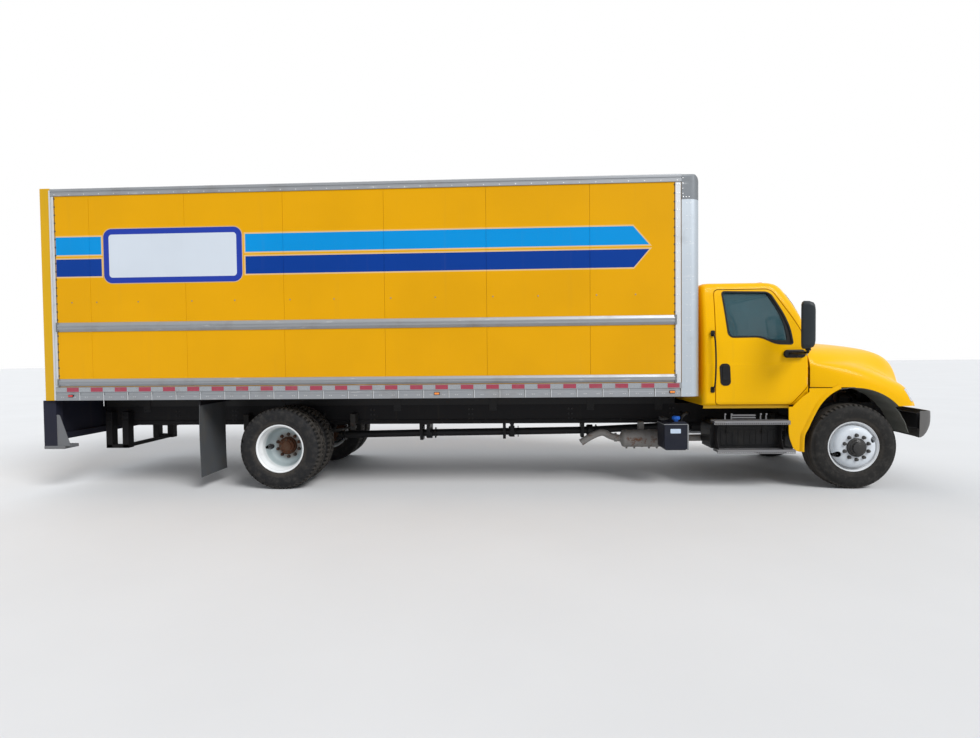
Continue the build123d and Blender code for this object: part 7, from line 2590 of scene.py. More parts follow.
    def build(self) -> None:
        """Makes both sides' steps, the battery box and the tanks."""
        body = Body.CHASSIS.value
        treads = Shape()
        for z in self.levels:
            treads.add(self.tread(z))
        make_piece(treads.both(), "step_treads", Look.STEP, body, sharp=30.0)
        make_pieces(
            body,
            (self.stays().both(), "step_stays", Look.BLACK),
            (self.arms().both(), "step_arms", Look.STEP),
        )
        case, latches = self.battery_case()
        make_pieces(
            body,
            (case, "battery_case", Look.BLACK_PLASTIC, "battery_box"),
            (latches, "battery_latches", Look.RUBBER),
        )
        tank, straps = self.round_tank()
        make_pieces(
            body,
            (tank, "fuel_tank_barrel", Look.TANK_ALLOY, "fuel_tank"),
            (straps, "fuel_tank_straps", Look.BLACK),
            (self.filler_cap(), "filler_cap", Look.BLACK_PLASTIC),
        )
        fluid, band, label, cap = self.fluid_tank()
        make_pieces(
            body,
            (fluid, "fluid_tank_body", Look.TANK, "def_tank"),
            (band, "fluid_tank_band", Look.BRACKET),
            (label, "fluid_tank_label", Look.LABEL),
            (cap, "fluid_tank_cap", Look.CAP_BLUE),
            (self.fluid_lines(), "fluid_tank_hoses", Look.RUBBER),
        )


@dataclass
class RearEnd:
    """Rear posts, cross beam and apron, hung bars, mud flaps and the walk ramp."""

    nodes: dict[str, bpy.types.Object]
    box_back: float = -9.805
    back: float = -10.891 / 2
    hangers: Flat = (-5.1905, -4.9605)

    def posts(self) -> tuple[Shape, Shape]:
        """Corner posts, and their feet and gussets."""
        x0 = self.back
        x1 = x0 + 0.168
        post, foot = Shape(), Shape()
        post.box((x0 + 0.004, 1.142, 0.556), (x1, 1.248, 1.124), soft=0.008, steps=3)
        post.box((x0 + 0.001, 1.158, 0.640), (x0 + 0.006, 1.232, 1.090), soft=0.002)
        foot.box((x0 + 0.002, 1.022, 0.519), (x1 + 0.100, 1.250, 0.5590), soft=0.007, steps=3)
        for x in spread(x0 + 0.03, x1 + 0.07, 0.034):
            for y in spread(1.045, 1.225, 0.030):
                foot.rod((x, y, 0.558), (x, y, 0.5625), 0.0085, 0.0055, sides=10)
        foot.prism([(x1 - 0.004, 0.555), (x1 + 0.165, 0.555, 0.012), (x1 + 0.032, 0.945, 0.02),
                    (x1 - 0.004, 0.945, 0.006)], "Y", 1.226, 1.238, soft=0.002, round_steps=4)
        return post.both(), foot.both()

    def beam(self) -> Shape:
        """Cross beam and apron with their openings, cut from the CAD node."""
        made = node_shape(self.nodes, "rear_bumper")
        keep = Shape().box((-5.43, -1.1455, 0.60), (-5.28, 1.1455, 1.13))
        made.cut(keep, "INTERSECT")
        return made

    def hung(self) -> Shape:
        """Hangers under the frame with the bar between them."""
        made = Shape()
        for x in self.hangers:
            for side in (1, -1):
                y0, y1 = span(side, 0.433, 0.540)
                made.box((x, y0, 0.410), (x + 0.090, y1, 0.908), soft=0.006, steps=3)
        for side in (1, -1):
            y0, y1 = span(side, 0.480, 0.540)
            made.box((self.hangers[0], y0, 0.410), (self.hangers[1] + 0.090, y1, 0.460), soft=0.006,
                     steps=3)
        made.box((self.hangers[1], -0.535, 0.411), (self.hangers[1] + 0.050, 0.535, 0.459),
                 soft=0.006, steps=3)
        for side in (1, -1):
            y0, y1 = span(side, 0.372, 0.452)
            made.box((-5.2740, y0, 0.925), (-5.2620, y1, 1.122), soft=0.002)
        for way, y in (("+Y", 0.540), ("-Y", -0.540)):
            hexes(made, [(x + dx, y, z) for x in self.hangers for dx in (0.025, 0.065)
                         for z in (0.79, 0.86)], way)
        return made

    def flap(self) -> tuple[Shape, Shape]:
        """The left rear flap, slightly bowed, and its hanger bar with bolts."""
        x = ahead(-7.880)
        y0, y1 = 0.642, 1.243
        rows = []
        for i in range(13):
            z = 1.062 - (1.062 - 0.162) * i / 12
            bow = 0.010 * math.sin(i / 12 * math.pi) - 0.004 * (i / 12) ** 2
            rows.append([(x - bow + 0.003 * math.sin(j * 1.1 + i * 0.35), y0 + (y1 - y0) * j / 10,
                          z) for j in range(11)])
        sheet = Shape().loft(rows, closed=False).weld().finer(1).thicken(0.006)
        bar = Shape().prism([(x - 0.010, 1.052, 0.004), (x + 0.014, 1.052, 0.004),
                             (x + 0.014, 1.108, 0.008), (x - 0.014, 1.108, 0.008),
                             (x - 0.014, 1.060, 0.004)], "Y", 0.560, y1, soft=0.002)
        bar.box((x - 0.011, y0 + 0.02, 1.020), (x - 0.006, y1 - 0.02, 1.066), soft=0.001)
        hexes(bar, [(x - 0.011, y, 1.040) for y in spread(y0 + 0.06, y1 - 0.06, 0.16)], "-X", 0.009,
              0.008)
        return sheet, bar

    def walk_ramp(self) -> tuple[Shape, Shape]:
        """The stowed ramp's ribbed planks and side rails, and its cradle straps."""
        back, front = ahead(self.box_back) + 0.030, ahead(self.box_back) + 3.930
        low, high = 0.980, 1.060
        made = Shape()
        for y in spread(-0.250, 0.250, 0.100):
            profile = [(y - 0.048, high - 0.012), (y + 0.048, high - 0.012),
                       (y + 0.048, high - 0.003)]
            for k in range(6):
                edge = y + 0.040 - 0.016 * k
                profile += [(edge, high - 0.003), (edge - 0.003, high), (edge - 0.006, high),
                            (edge - 0.009, high - 0.003)]
            profile.append((y - 0.048, high - 0.003))
            made.prism(profile, "X", back + 0.01, front - 0.01)
        for side in (1, -1):
            rail = [(side * 0.330, low), (side * 0.330, high), (side * 0.298, high),
                    (side * 0.298, high - 0.004), (side * 0.326, high - 0.004),
                    (side * 0.326, low + 0.004), (side * 0.298, low + 0.004), (side * 0.298, low)]
            made.prism(rail, "X", back, front)
        for x in spread(back + 0.08, front - 0.08, 0.42):
            made.box((x, -0.297, low + 0.006), (x + 0.030, 0.297, high - 0.0125), soft=0.002)
        hook = [(back, high), (back + 0.05, high), (back + 0.05, high - 0.014),
                (back, high - 0.034)]
        made.prism(hook, "Y", -0.29, 0.29, soft=0.002)
        straps = Shape()
        for x in (back + 0.500, back + 1.500, front - 0.900):
            straps.box((x, -0.430, low - 0.011), (x + 0.060, 0.430, low - 0.001), soft=0.002)
            for y in (-0.360, 0.360):
                straps.rod((x + 0.030, y, low - 0.001), (x + 0.030, y, low + 0.014), 0.012, sides=6)
        return made, straps

    def build(self) -> None:
        """Makes the rear end's pieces."""
        body = Body.CHASSIS.value
        post, foot = self.posts()
        make_pieces(
            body,
            (post, "rear_posts", Look.POST_BLUE),
            (foot, "rear_feet", Look.FOOT_GREY),
        )
        make_piece(self.beam(), "rear_beam", Look.POST_BLUE, body, ["rear_bumper"], sharp=30.0)
        make_piece(self.hung(), "hung_bars", Look.BLACK, body)
        flap, bar = self.flap()
        make_pieces(
            body,
            # The flap sheets' light grey is partly dust, partly painted sunlight.
            (flap.both(), "flap_sheets", Look.FLAP_DUST_AND_SUNLIGHT, "mud_flaps"),
            (bar.both(), "flap_bars", Look.BLACK),
        )
        planks, straps = self.walk_ramp()
        make_piece(planks, "ramp_planks", Look.ALLOY, body, ["ramp"], sharp=25.0)
        make_piece(straps, "ramp_straps", Look.BLACK, body)


# Underbody


@dataclass
class Underbody:
    """Axles, springs, driveline, exhaust, air tanks, cooling pack, engine and frame fittings."""

    spring_y: tuple[Flat, ...] = ((0.0, 0.430), (-6.909, 0.516))
    shaft: tuple[Flat, ...] = ((-1.550, 0.630), (-2.950, 0.560), (-4.050, 0.545), (-5.230, 0.530),
                               (-6.540, 0.507))
    fan_z: float = 1.095
    tank: Flat = (0.600, 0.800)
    crossings: tuple[float, ...] = (-8.665, -7.865, -5.945, -4.605, -3.265, -1.925)

    def drive_axle(self) -> Shape:
        """Housing with a round bowl, its bolted cover, nose and spring pads."""
        centre = (REAR_AXLE_X, 0.0, AXLE_Z)
        made = Shape().spun((
            (0.0, -0.164), (0.100, -0.162), (0.135, -0.152), (0.175, -0.112), (0.196, -0.080),
            (0.214, -0.078), (0.214, -0.058), (0.202, -0.056), (0.202, 0.056), (0.214, 0.058),
            (0.214, 0.076), (0.168, 0.080), (0.160, 0.110), (0.112, 0.176), (0.088, 0.215),
            (0.062, 0.222), (0.062, 0.254), (0.0, 0.254)), centre, 64, ALONG).weld()
        for side in (1, -1):
            loops = []
            for y, w, h in ((0.05, 0.150, 0.196), (0.14, 0.135, 0.170), (0.24, 0.100, 0.110),
                            (0.33, 0.072, 0.074), (0.63, 0.066, 0.064), (0.66, 0.050, 0.050),
                            (0.945, 0.047, 0.047)):
                turns = (2.0 * math.pi * i / 32 for i in range(32))
                loops.append([(REAR_AXLE_X + w * math.cos(t), side * y, AXLE_Z + h * math.sin(t))
                              for t in turns])
            made.loft(loops)
            y0, y1 = span(side, 0.472, 0.560)
            made.box((REAR_AXLE_X - 0.062, y0, AXLE_Z - 0.070),
                     (REAR_AXLE_X + 0.062, y1, AXLE_Z + 0.070), soft=0.008)
        made.weld()
        for i in range(16):
            turn = 2.0 * math.pi * (i + 0.5) / 16
            y, z = 0.208 * math.cos(turn), AXLE_Z + 0.208 * math.sin(turn)
            made.rod((REAR_AXLE_X - 0.086, y, z), (REAR_AXLE_X - 0.076, y, z), 0.0085, sides=6)
            made.rod((REAR_AXLE_X + 0.074, y, z), (REAR_AXLE_X + 0.086, y, z), 0.0085, sides=6)
        return made

    def brake_pots(self) -> Shape:
        """Brake chambers behind the rear axle with their pushrods and slack levers."""
        made = Shape()
        pot = ((0.0, 0.0), (0.060, 0.004), (0.078, 0.030), (0.084, 0.052), (0.084, 0.062),
               (0.078, 0.066), (0.082, 0.100), (0.084, 0.150), (0.060, 0.186), (0.020, 0.192),
               (0.0, 0.192))
        for side in (1, -1):
            start = (REAR_AXLE_X - 0.150, side * 0.375, AXLE_Z + 0.060)
            made.spun(pot, start, 32, (-0.94, 0.0, 0.34))
            made.rod((REAR_AXLE_X - 0.155, side * 0.375, AXLE_Z + 0.062),
                     (REAR_AXLE_X - 0.060, side * 0.375, AXLE_Z + 0.030), 0.009)
            made.box((REAR_AXLE_X - 0.075, side * 0.375 - 0.012, AXLE_Z - 0.10),
                     (REAR_AXLE_X - 0.045, side * 0.375 + 0.012, AXLE_Z + 0.045), soft=0.006)
        return made.weld()

    def spring_fittings(self) -> Shape:
        """U-bolts over the springs, clips round the leaves, eye bolts and shock absorbers."""
        made = Shape()
        for a, y in self.spring_y:
            front = a == 0.0
            low, high = (0.430, 0.618) if front else (0.425, 0.700)
            for x in (a - 0.056, a + 0.056):
                made.tube([(ahead(x), y - 0.046, low), (ahead(x), y - 0.046, high),
                           (ahead(x), y - 0.020, high + 0.012), (ahead(x), y + 0.020, high + 0.012),
                           (ahead(x), y + 0.046, high), (ahead(x), y + 0.046, low)], 0.0095,
                          sides=2, smooth=False)
                for off in (-0.046, 0.046):
                    made.rod((ahead(x), y + off, low - 0.004), (ahead(x), y + off, low + 0.014),
                             0.0155, sides=6)
            made.box((ahead(a) - 0.080, y - 0.060, low + 0.012),
                     (ahead(a) + 0.080, y + 0.060, low + 0.026), soft=0.004)
            reach, eye_z, clip_z = (0.640, 0.655, 0.600) if front else (0.728, 0.690, 0.640)
            for s in (-1, 1):
                made.rod((ahead(a + s * reach), y - 0.045, eye_z),
                         (ahead(a + s * reach), y + 0.045, eye_z), 0.017, sides=20, soft=0.002)
                made.rod((ahead(a + s * reach), y + 0.044, eye_z),
                         (ahead(a + s * reach), y + 0.058, eye_z), 0.016, sides=6)
                cx = ahead(a + s * reach * 0.55)
                made.box((cx - 0.016, y - 0.045, clip_z - 0.050),
                         (cx + 0.016, y - 0.0395, clip_z + 0.030), soft=0.001)
                made.box((cx - 0.016, y + 0.0395, clip_z - 0.050),
                         (cx + 0.016, y + 0.045, clip_z + 0.030), soft=0.001)
            if front:
                top = (ahead(a + 0.20), y - 0.070, 0.880)
                foot = (ahead(a + 0.075), y - 0.082, 0.470)
            else:
                top = (ahead(a + 0.30), y - 0.112, 0.860)
                foot = (ahead(a + 0.10), y - 0.112, 0.455)
            up = Vector(top) - Vector(foot)
            mid = tuple(Vector(foot) + up * 0.50)
            made.rod(foot, mid, 0.030, sides=24, soft=0.004)
            made.rod(tuple(Vector(foot) + up * 0.40), top, 0.0365, sides=24, soft=0.004)
            for end in (top, foot):
                made.rod((end[0], end[1] - 0.030, end[2]), (end[0], end[1] + 0.034, end[2]), 0.024,
                         sides=20, soft=0.003)
        return made.both()

    def shaft_fittings(self) -> Shape:
        """Joint yokes, flanges and the hanger bearings of the propeller shaft."""
        made = Shape()
        for i, (a, z) in enumerate(self.shaft):
            x = ahead(a)
            for turn, off in ((0.0, -0.028), (90.0, 0.028)):
                yoke = Shape()
                for s in (-1, 1):
                    yoke.prism([(off - 0.024, s * 0.034), (off + 0.024, s * 0.030),
                                (off + 0.020, s * 0.070, 0.01), (off - 0.020, s * 0.070, 0.01)],
                               "Y", -0.026, 0.026, soft=0.004)
                yoke.rod((0.0, 0.0, -0.074), (0.0, 0.0, 0.074), 0.0165, sides=20, soft=0.002)
                made.add(yoke.weld(), at(x, 0.0, z) @ Matrix.Rotation(math.radians(turn), 4, "X"))
            if 0 < i < len(self.shaft) - 1:
                ring = [(0.055, -0.022), (0.085, -0.020), (0.088, 0.0), (0.085, 0.020),
                        (0.055, 0.022), (0.055, -0.022)]
                made.spun(ring, (x - 0.110, 0.0, z + 0.003), 40, ALONG)
                made.prism([(-0.200, 0.735), (-0.120, 0.735), (-0.086, z),
                            (-0.060, z - 0.084, 0.02), (0.060, z - 0.084, 0.02), (0.086, z),
                            (0.120, 0.735), (0.200, 0.735), (0.200, 0.722), (0.130, 0.722),
                            (0.098, z - 0.020), (0.074, z - 0.098, 0.02), (-0.074, z - 0.098, 0.02),
                            (-0.098, z - 0.020), (-0.130, 0.722), (-0.200, 0.722)], "X", x - 0.130,
                           x - 0.090, soft=0.001)
            flange = [(0.0, -0.006), (0.078, -0.006), (0.078, 0.006), (0.0, 0.006)]
            made.spun(flange, (x + 0.085 if i else x - 0.085, 0.0, z), 40, ALONG)
        return made.weld()

    def gearbox_fittings(self) -> Shape:
        """Ribs, side cover and bolts on the gearbox and its bell housing."""
        made = Shape()
        for a in (-0.470, -0.800, -0.830, -1.180, -1.210, -1.400):
            made.spun([(0.150, -0.008), (0.196 if a > -0.5 else 0.172, -0.008),
                       (0.196 if a > -0.5 else 0.172, 0.008), (0.150, 0.008), (0.150, -0.008)],
                      (ahead(a), 0.0, 0.760), 48, ALONG)
        for side in (1, -1):
            y0, y1 = span(side, 0.140, 0.182)
            made.box((ahead(-1.130), y0, 0.700), (ahead(-0.900), y1, 0.830), soft=0.010)
            hexes(made, [(ahead(a), side * 0.182, z) for a in (-1.105, -1.015, -0.925)
                         for z in (0.720, 0.810)], "+Y" if side > 0 else "-Y", 0.008, 0.007)
        return made.weld()

    def canister(self) -> tuple[Shape, Shape]:
        """After-treatment canister with its bands, and the pipes that lead in and out."""
        y, z = 0.610, 0.535
        profile = [(0.0, -2.652), (0.040, -2.652), (0.052, -2.640), (0.100, -2.618),
                   (0.1125, -2.595), (0.1125, -2.380), (0.116, -2.376), (0.116, -2.352),
                   (0.1125, -2.348), (0.1125, -2.135), (0.100, -2.112), (0.052, -2.090),
                   (0.046, -2.078), (0.0, -2.078)]
        body = Shape().spun(profile, (FRONT_AXLE_X, y, z), 56, ALONG).weld()
        for a in (-2.560, -2.460, -2.270, -2.170):
            body.spun([(0.1125, a - 0.012), (0.1165, a - 0.010), (0.1165, a + 0.010),
                       (0.1125, a + 0.012)], (FRONT_AXLE_X, y, z), 56, ALONG)
            body.box((ahead(a) - 0.012, y - 0.010, z - 0.134),
                     (ahead(a) + 0.012, y + 0.010, z - 0.112), soft=0.003)
            body.rod((ahead(a), y - 0.030, z - 0.126), (ahead(a), y + 0.030, z - 0.126), 0.005,
                     sides=12)
        body.box((ahead(-2.380), RAIL_SIDE, 0.600), (ahead(-2.320), 0.560, 0.740), soft=0.004)
        pipes = Shape().tube([(ahead(-2.640), y, z), (ahead(-2.760), y + 0.010, z + 0.020),
                              (ahead(-2.860), 0.680, 0.625), (ahead(-2.940), 0.695, 0.615),
                              (ahead(-3.060), 0.698, 0.560), (ahead(-3.160), 0.700, 0.492)], 0.044,
                             sides=6, steps=10)
        pipes.tube([(ahead(-2.085), y, z), (ahead(-1.700), 0.590, z), (ahead(-1.255), 0.550, z)],
                   0.044, sides=6)
        for a, ty, tz in ((-2.700, y + 0.004, z + 0.006), (-2.040, y - 0.004, z),
                          (-1.320, 0.555, z)):
            pipes.spun([(0.044, -0.018), (0.050, -0.016), (0.050, 0.016), (0.044, 0.018)],
                       (ahead(a), ty, tz), 32, ALONG)
            pipes.box((ahead(a) - 0.014, ty - 0.008, tz + 0.046),
                      (ahead(a) + 0.014, ty + 0.008, tz + 0.066), soft=0.002)
        return body.on(Side.RIGHT), pipes.on(Side.RIGHT)

    def tanks(self) -> tuple[Shape, Shape]:
        """Two air tanks with domed ends, and their straps, ports and lines."""
        shells, straps = Shape(), Shape()
        for a in (-2.150, -3.150):
            profile = [(0.0, a), (0.040, a - 0.003), (0.080, a - 0.016), (0.108, a - 0.042),
                       (0.1185, a - 0.070), (0.1185, a - 0.690), (0.108, a - 0.718),
                       (0.080, a - 0.744), (0.040, a - 0.757), (0.0, a - 0.760)]
            shells.spun(profile, (FRONT_AXLE_X, *self.tank), 48, ALONG)
            for b in (a - 0.075, a - 0.685):
                shells.spun([(0.1185, b - 0.006), (0.1198, b - 0.004), (0.1198, b + 0.004),
                             (0.1185, b + 0.006)], (FRONT_AXLE_X, *self.tank), 48, ALONG)
            for b in (a - 0.540, a - 0.200):
                straps.box((ahead(b) - 0.020, RAIL_SIDE, 0.772), (ahead(b) + 0.020, 0.500, 0.828),
                           soft=0.002)
                straps.spun([(0.1187, -0.016), (0.1199, -0.016), (0.1199, 0.016), (0.1187, 0.016),
                             (0.1187, -0.016)], (ahead(b), *self.tank), 48, ALONG)
            straps.rod((ahead(a - 0.380), 0.600, 0.668), (ahead(a - 0.380), 0.600, 0.684), 0.012,
                       sides=6)
            straps.tube([(ahead(a - 0.300), 0.600, 0.918), (ahead(a - 0.300), 0.590, 0.938),
                         (ahead(a - 0.260), 0.520, 0.944), (ahead(a - 0.100), 0.452, 0.944),
                         (ahead(a + 0.200), 0.446, 0.944)], 0.0065, sides=2)
        return shells.weld(), straps

    def cooling(self) -> tuple[Shape, Shape, Shape]:
        """Radiator core with its fins, its tanks and shroud, and the fan."""
        core = Shape()
        for z in spread(0.842, 1.348, 0.0085):
            core.box((ahead(0.658), -0.385, z - 0.0012), (ahead(0.702), 0.385, z + 0.0012))
        for y in spread(-0.380, 0.380, 0.0240):
            core.box((ahead(0.662), y - 0.0015, 0.835), (ahead(0.698), y + 0.0015, 1.355))
        frame = Shape()
        for side in (1, -1):
            y0, y1 = span(side, 0.385, 0.424)
            frame.box((ahead(0.642), y0, 0.804), (ahead(0.714), y1, 1.388), soft=0.012, steps=3)
            for z in spread(0.86, 1.33, 0.052):
                low, high = span(side, 0.383, 0.4235)
                frame.box((ahead(0.6405), low, z - 0.004), (ahead(0.7145), high, z + 0.004),
                          soft=0.001)
        frame.box((ahead(0.648), -0.390, 0.804), (ahead(0.708), 0.390, 0.838), soft=0.003)
        frame.box((ahead(0.648), -0.390, 1.352), (ahead(0.708), 0.390, 1.386), soft=0.003)
        ring = [(0.262, -0.060), (0.270, -0.060), (0.274, -0.010), (0.300, 0.004), (0.300, 0.010),
                (0.262, -0.004), (0.262, -0.060)]
        frame.spun(ring, (ahead(0.628), 0.0, self.fan_z), 64, ALONG)
        shroud = Shape().box((ahead(0.634), -0.380, 0.812), (ahead(0.641), 0.380, 1.380),
                             soft=0.001)
        shroud.cut(Shape().rod((ahead(0.60), 0.0, self.fan_z), (ahead(0.68), 0.0, self.fan_z),
                               0.268, sides=64))
        frame.add(shroud)
        fan = Shape().spun([(0.0, -0.040), (0.070, -0.040), (0.080, -0.030), (0.080, 0.016),
                            (0.060, 0.024), (0.0, 0.024)], (ahead(0.590), 0.0, self.fan_z), 40,
                           ALONG).weld()
        blade = Shape().loft([
            [(-0.018, 0.0, 0.074), (0.000, -0.030, 0.076), (0.018, 0.030, 0.076)],
            [(-0.020, 0.010, 0.160), (-0.004, -0.050, 0.160), (0.016, 0.044, 0.160)],
            [(-0.016, 0.018, 0.248), (-0.004, -0.060, 0.250), (0.010, 0.052, 0.250)]]).weld()
        for i in range(9):
            turn = Matrix.Rotation(2.0 * math.pi * i / 9, 4, "X")
            fan.add(blade, at(ahead(0.590), 0.0, self.fan_z) @ turn)
        return core, frame, fan

    def motor(self) -> tuple[Shape, Shape, Shape]:
        """Engine: iron block and pan, bright covers, and the black hoses and pulleys."""
        iron = Shape().prism([(-0.200, 0.642, 0.03), (0.200, 0.642, 0.03), (0.215, 0.800),
                              (0.245, 0.820), (0.245, 1.110, 0.02), (-0.245, 1.110, 0.02),
                              (-0.245, 0.820), (-0.215, 0.800)], "X", ahead(-0.400), ahead(0.440),
                             soft=0.006)
        iron.box((ahead(-0.380), -0.205, 1.108), (ahead(0.420), 0.205, 1.252), soft=0.010, steps=3)
        for a in spread(-0.360, 0.390, 0.125):
            for side in (1, -1):
                y0, y1 = span(side, 0.243, 0.262)
                iron.box((ahead(a) - 0.010, y0, 0.850), (ahead(a) + 0.010, y1, 1.080), soft=0.004)
        iron.rod((ahead(-0.428), 0.0, 0.870), (ahead(-0.392), 0.0, 0.870), 0.225, sides=48,
                 soft=0.008)
        for a in (-0.250, 0.260):
            for side in (1, -1):
                y0, y1 = span(side, 0.240, 0.4235)
                iron.box((ahead(a), y0, 0.783), (ahead(a + 0.090), y1, 0.841), soft=0.008)
        for a in spread(-0.330, 0.370, 0.140):
            iron.tube([(ahead(a), -0.200, 1.190), (ahead(a), -0.235, 1.192),
                       (ahead(a) * 0.5 + ahead(0.02) * 0.5, -0.270, 1.195)], 0.024, sides=4)
        iron.spun([(0.020, -0.040), (0.060, -0.040), (0.088, -0.016), (0.088, 0.016),
                   (0.050, 0.030), (0.040, 0.070), (0.030, 0.070)], (ahead(-0.070), -0.262, 1.255),
                  36, ALONG)
        bright = Shape().prism([(-0.165, 1.250), (0.165, 1.250), (0.165, 1.360, 0.035),
                                (0.110, 1.424, 0.05), (-0.110, 1.424, 0.05),
                                (-0.165, 1.360, 0.035)], "X", ahead(-0.370), ahead(0.405),
                               soft=0.012, steps=3)
        for a in spread(-0.300, 0.330, 0.105):
            bright.box((ahead(a) - 0.007, -0.105, 1.420), (ahead(a) + 0.007, 0.105, 1.4275),
                       soft=0.002)
        bright.prism(rect((0.205, 0.292), (1.120, 1.235), 0.02, 0.02, 0.03, 0.02), "X",
                     ahead(-0.350), ahead(0.330), soft=0.012, steps=3)
        for a in (-0.180, -0.050, 0.080):
            bright.rod((ahead(a), 0.290 - 0.012, 0.860), (ahead(a), 0.290 - 0.012, 1.040), 0.046,
                       sides=28, soft=0.010, steps=3)
        dark = Shape()
        for a, y, z, r, wide in ((0.458, 0.0, 0.780, 0.105, 0.050),
                                 (0.462, 0.0, 1.095, 0.080, 0.050),
                                 (0.462, 0.215, 1.150, 0.042, 0.045),
                                 (0.462, -0.200, 1.020, 0.060, 0.045),
                                 (0.462, 0.130, 0.930, 0.036, 0.045)):
            dark.spun([(0.0, -0.5 * wide), (r, -0.5 * wide), (r, -0.3 * wide),
                       (r - 0.008, -0.2 * wide), (r - 0.008, 0.2 * wide), (r, 0.3 * wide),
                       (r, 0.5 * wide), (0.3 * r, 0.5 * wide), (0.0, 0.4 * wide)], (ahead(a), y, z),
                      36, ALONG)
        dark.rod((ahead(0.300), 0.235, 1.150), (ahead(0.440), 0.235, 1.150), 0.070, sides=36,
                 soft=0.010)
        dark.rod((ahead(0.320), -0.225, 1.020), (ahead(0.440), -0.225, 1.020), 0.068, sides=36,
                 soft=0.010)
        dark.tube([(ahead(0.400), 0.060, 1.300), (ahead(0.500), 0.100, 1.350),
                   (ahead(0.560), 0.240, 1.352), (ahead(0.650), 0.330, 1.330)], 0.027, sides=5)
        dark.tube([(ahead(0.380), -0.150, 0.900), (ahead(0.500), -0.220, 0.850),
                   (ahead(0.600), -0.320, 0.850), (ahead(0.650), -0.360, 0.850)], 0.028, sides=5)
        dark.tube([(ahead(-0.140), -0.262, 1.255), (ahead(-0.280), -0.270, 1.260),
                   (ahead(-0.400), -0.200, 1.330), (ahead(-0.420), -0.100, 1.370)], 0.045, sides=5)
        belt = Shape()
        path = smooth_route([(0.0, 0.672), (0.108, 0.780), (0.170, 0.930), (0.258, 1.150),
                             (0.215, 1.194), (0.080, 1.176), (-0.080, 1.150), (-0.260, 1.030),
                             (-0.210, 0.958), (-0.108, 0.780), (0.0, 0.672)], 6)
        loops = []
        for y, z in path:
            inner_y, inner_z = y * 0.97, 0.93 + (z - 0.93) * 0.97
            loops.append([(ahead(0.452), y, z), (ahead(0.472), y, z),
                          (ahead(0.472), inner_y, inner_z), (ahead(0.452), inner_y, inner_z)])
        belt.loft(loops, caps=False)
        return iron.weld(), bright.weld(), dark.weld().add(belt.weld())

    def frame_fittings(self) -> Shape:
        """Bolt groups, body clamps and the lines along the frame rails."""
        made = Shape()
        for side in (1, -1):
            face, way = side * 0.432, "+Y" if side > 0 else "-Y"
            for a in self.crossings:
                hexes(made, [(ahead(a) + dx, face, z) for dx in (-0.022, 0.022)
                             for z in (0.775, 0.840, 0.905)], way, 0.0095, 0.009)
            for a in (-9.10, -8.30, -7.20, -5.60, -4.30, -3.00, -2.10):
                y0, y1 = span(side, 0.4323, 0.4383)
                made.box((ahead(a) - 0.050, y0, 0.890), (ahead(a) + 0.050, y1, 1.080), soft=0.002)
                hexes(made, [(ahead(a) + dx, side * 0.4383, z) for dx in (-0.028, 0.028)
                             for z in (0.915, 1.045)], way, 0.010, 0.010)
            for k, z in enumerate((0.745, 0.760)):
                route = [(ahead(-9.3), side * (0.4400 + 0.002 * k), z)]
                route += [(ahead(-9.3 + 0.62 * i), side * (0.4400 + 0.002 * k),
                           z + (0.004 if i % 2 else -0.004)) for i in range(1, 13)]
                made.tube(route, 0.0062, sides=2, steps=4)
            for i in range(13):
                x = ahead(-9.2 + 0.60 * i)
                y0, y1 = span(side, 0.4321, 0.4500)
                made.box((x - 0.006, y0, 0.734), (x + 0.006, y1, 0.772), soft=0.001)
        return made

    def build(self, nodes: dict[str, bpy.types.Object]) -> None:
        """Makes the underbody's pieces."""
        body = Body.CHASSIS.value
        make_pieces(
            body,
            (self.drive_axle(), "drive_axle", Look.UNDER, "rear_axle"),
            (self.brake_pots(), "brake_chambers", Look.BLACK),
            (self.spring_fittings(), "spring_fittings", Look.UNDER),
            (self.shaft_fittings(), "shaft_fittings", Look.UNDER),
            (self.gearbox_fittings(), "gearbox_fittings", Look.CAST_ALLOY),
        )
        can, pipes = self.canister()
        make_pieces(
            body,
            (can, "exhaust_canister", Look.HEAT, "exhaust"),
            (pipes, "exhaust_pipes", Look.HEAT),
        )
        shells, straps = self.tanks()
        make_pieces(
            body,
            (shells, "air_tank_shells", Look.BLACK, "air_tanks"),
            (straps, "air_tank_straps", Look.ZINC),
        )
        core, frame, fan = self.cooling()
        make_pieces(
            body,
            (core, "radiator_core", Look.CORE, "radiator"),
            (frame, "radiator_frame", Look.BLACK_PLASTIC),
            (fan, "cooling_fan", Look.BLACK_PLASTIC),
        )
        iron, bright, dark = self.motor()
        make_pieces(
            body,
            (iron, "engine_block", Look.CAST, "engine"),
            (bright, "engine_covers", Look.CAST_ALLOY),
            (dark, "engine_hoses", Look.RUBBER),
            (self.frame_fittings(), "frame_fittings", Look.UNDER),
        )
        for name, finish in (("front_axle", Look.UNDER), ("springs", Look.SPRING),
                             ("frame_rails", Look.BLACK), ("frame_crossmembers", Look.BLACK),
                             ("body_sills", Look.UNDER), ("driveline", Look.UNDER),
                             ("knuckle_left", Look.UNDER), ("knuckle_right", Look.UNDER),
                             ("tie_rod", Look.UNDER)):
            dress(nodes, name, finish)


# Studio


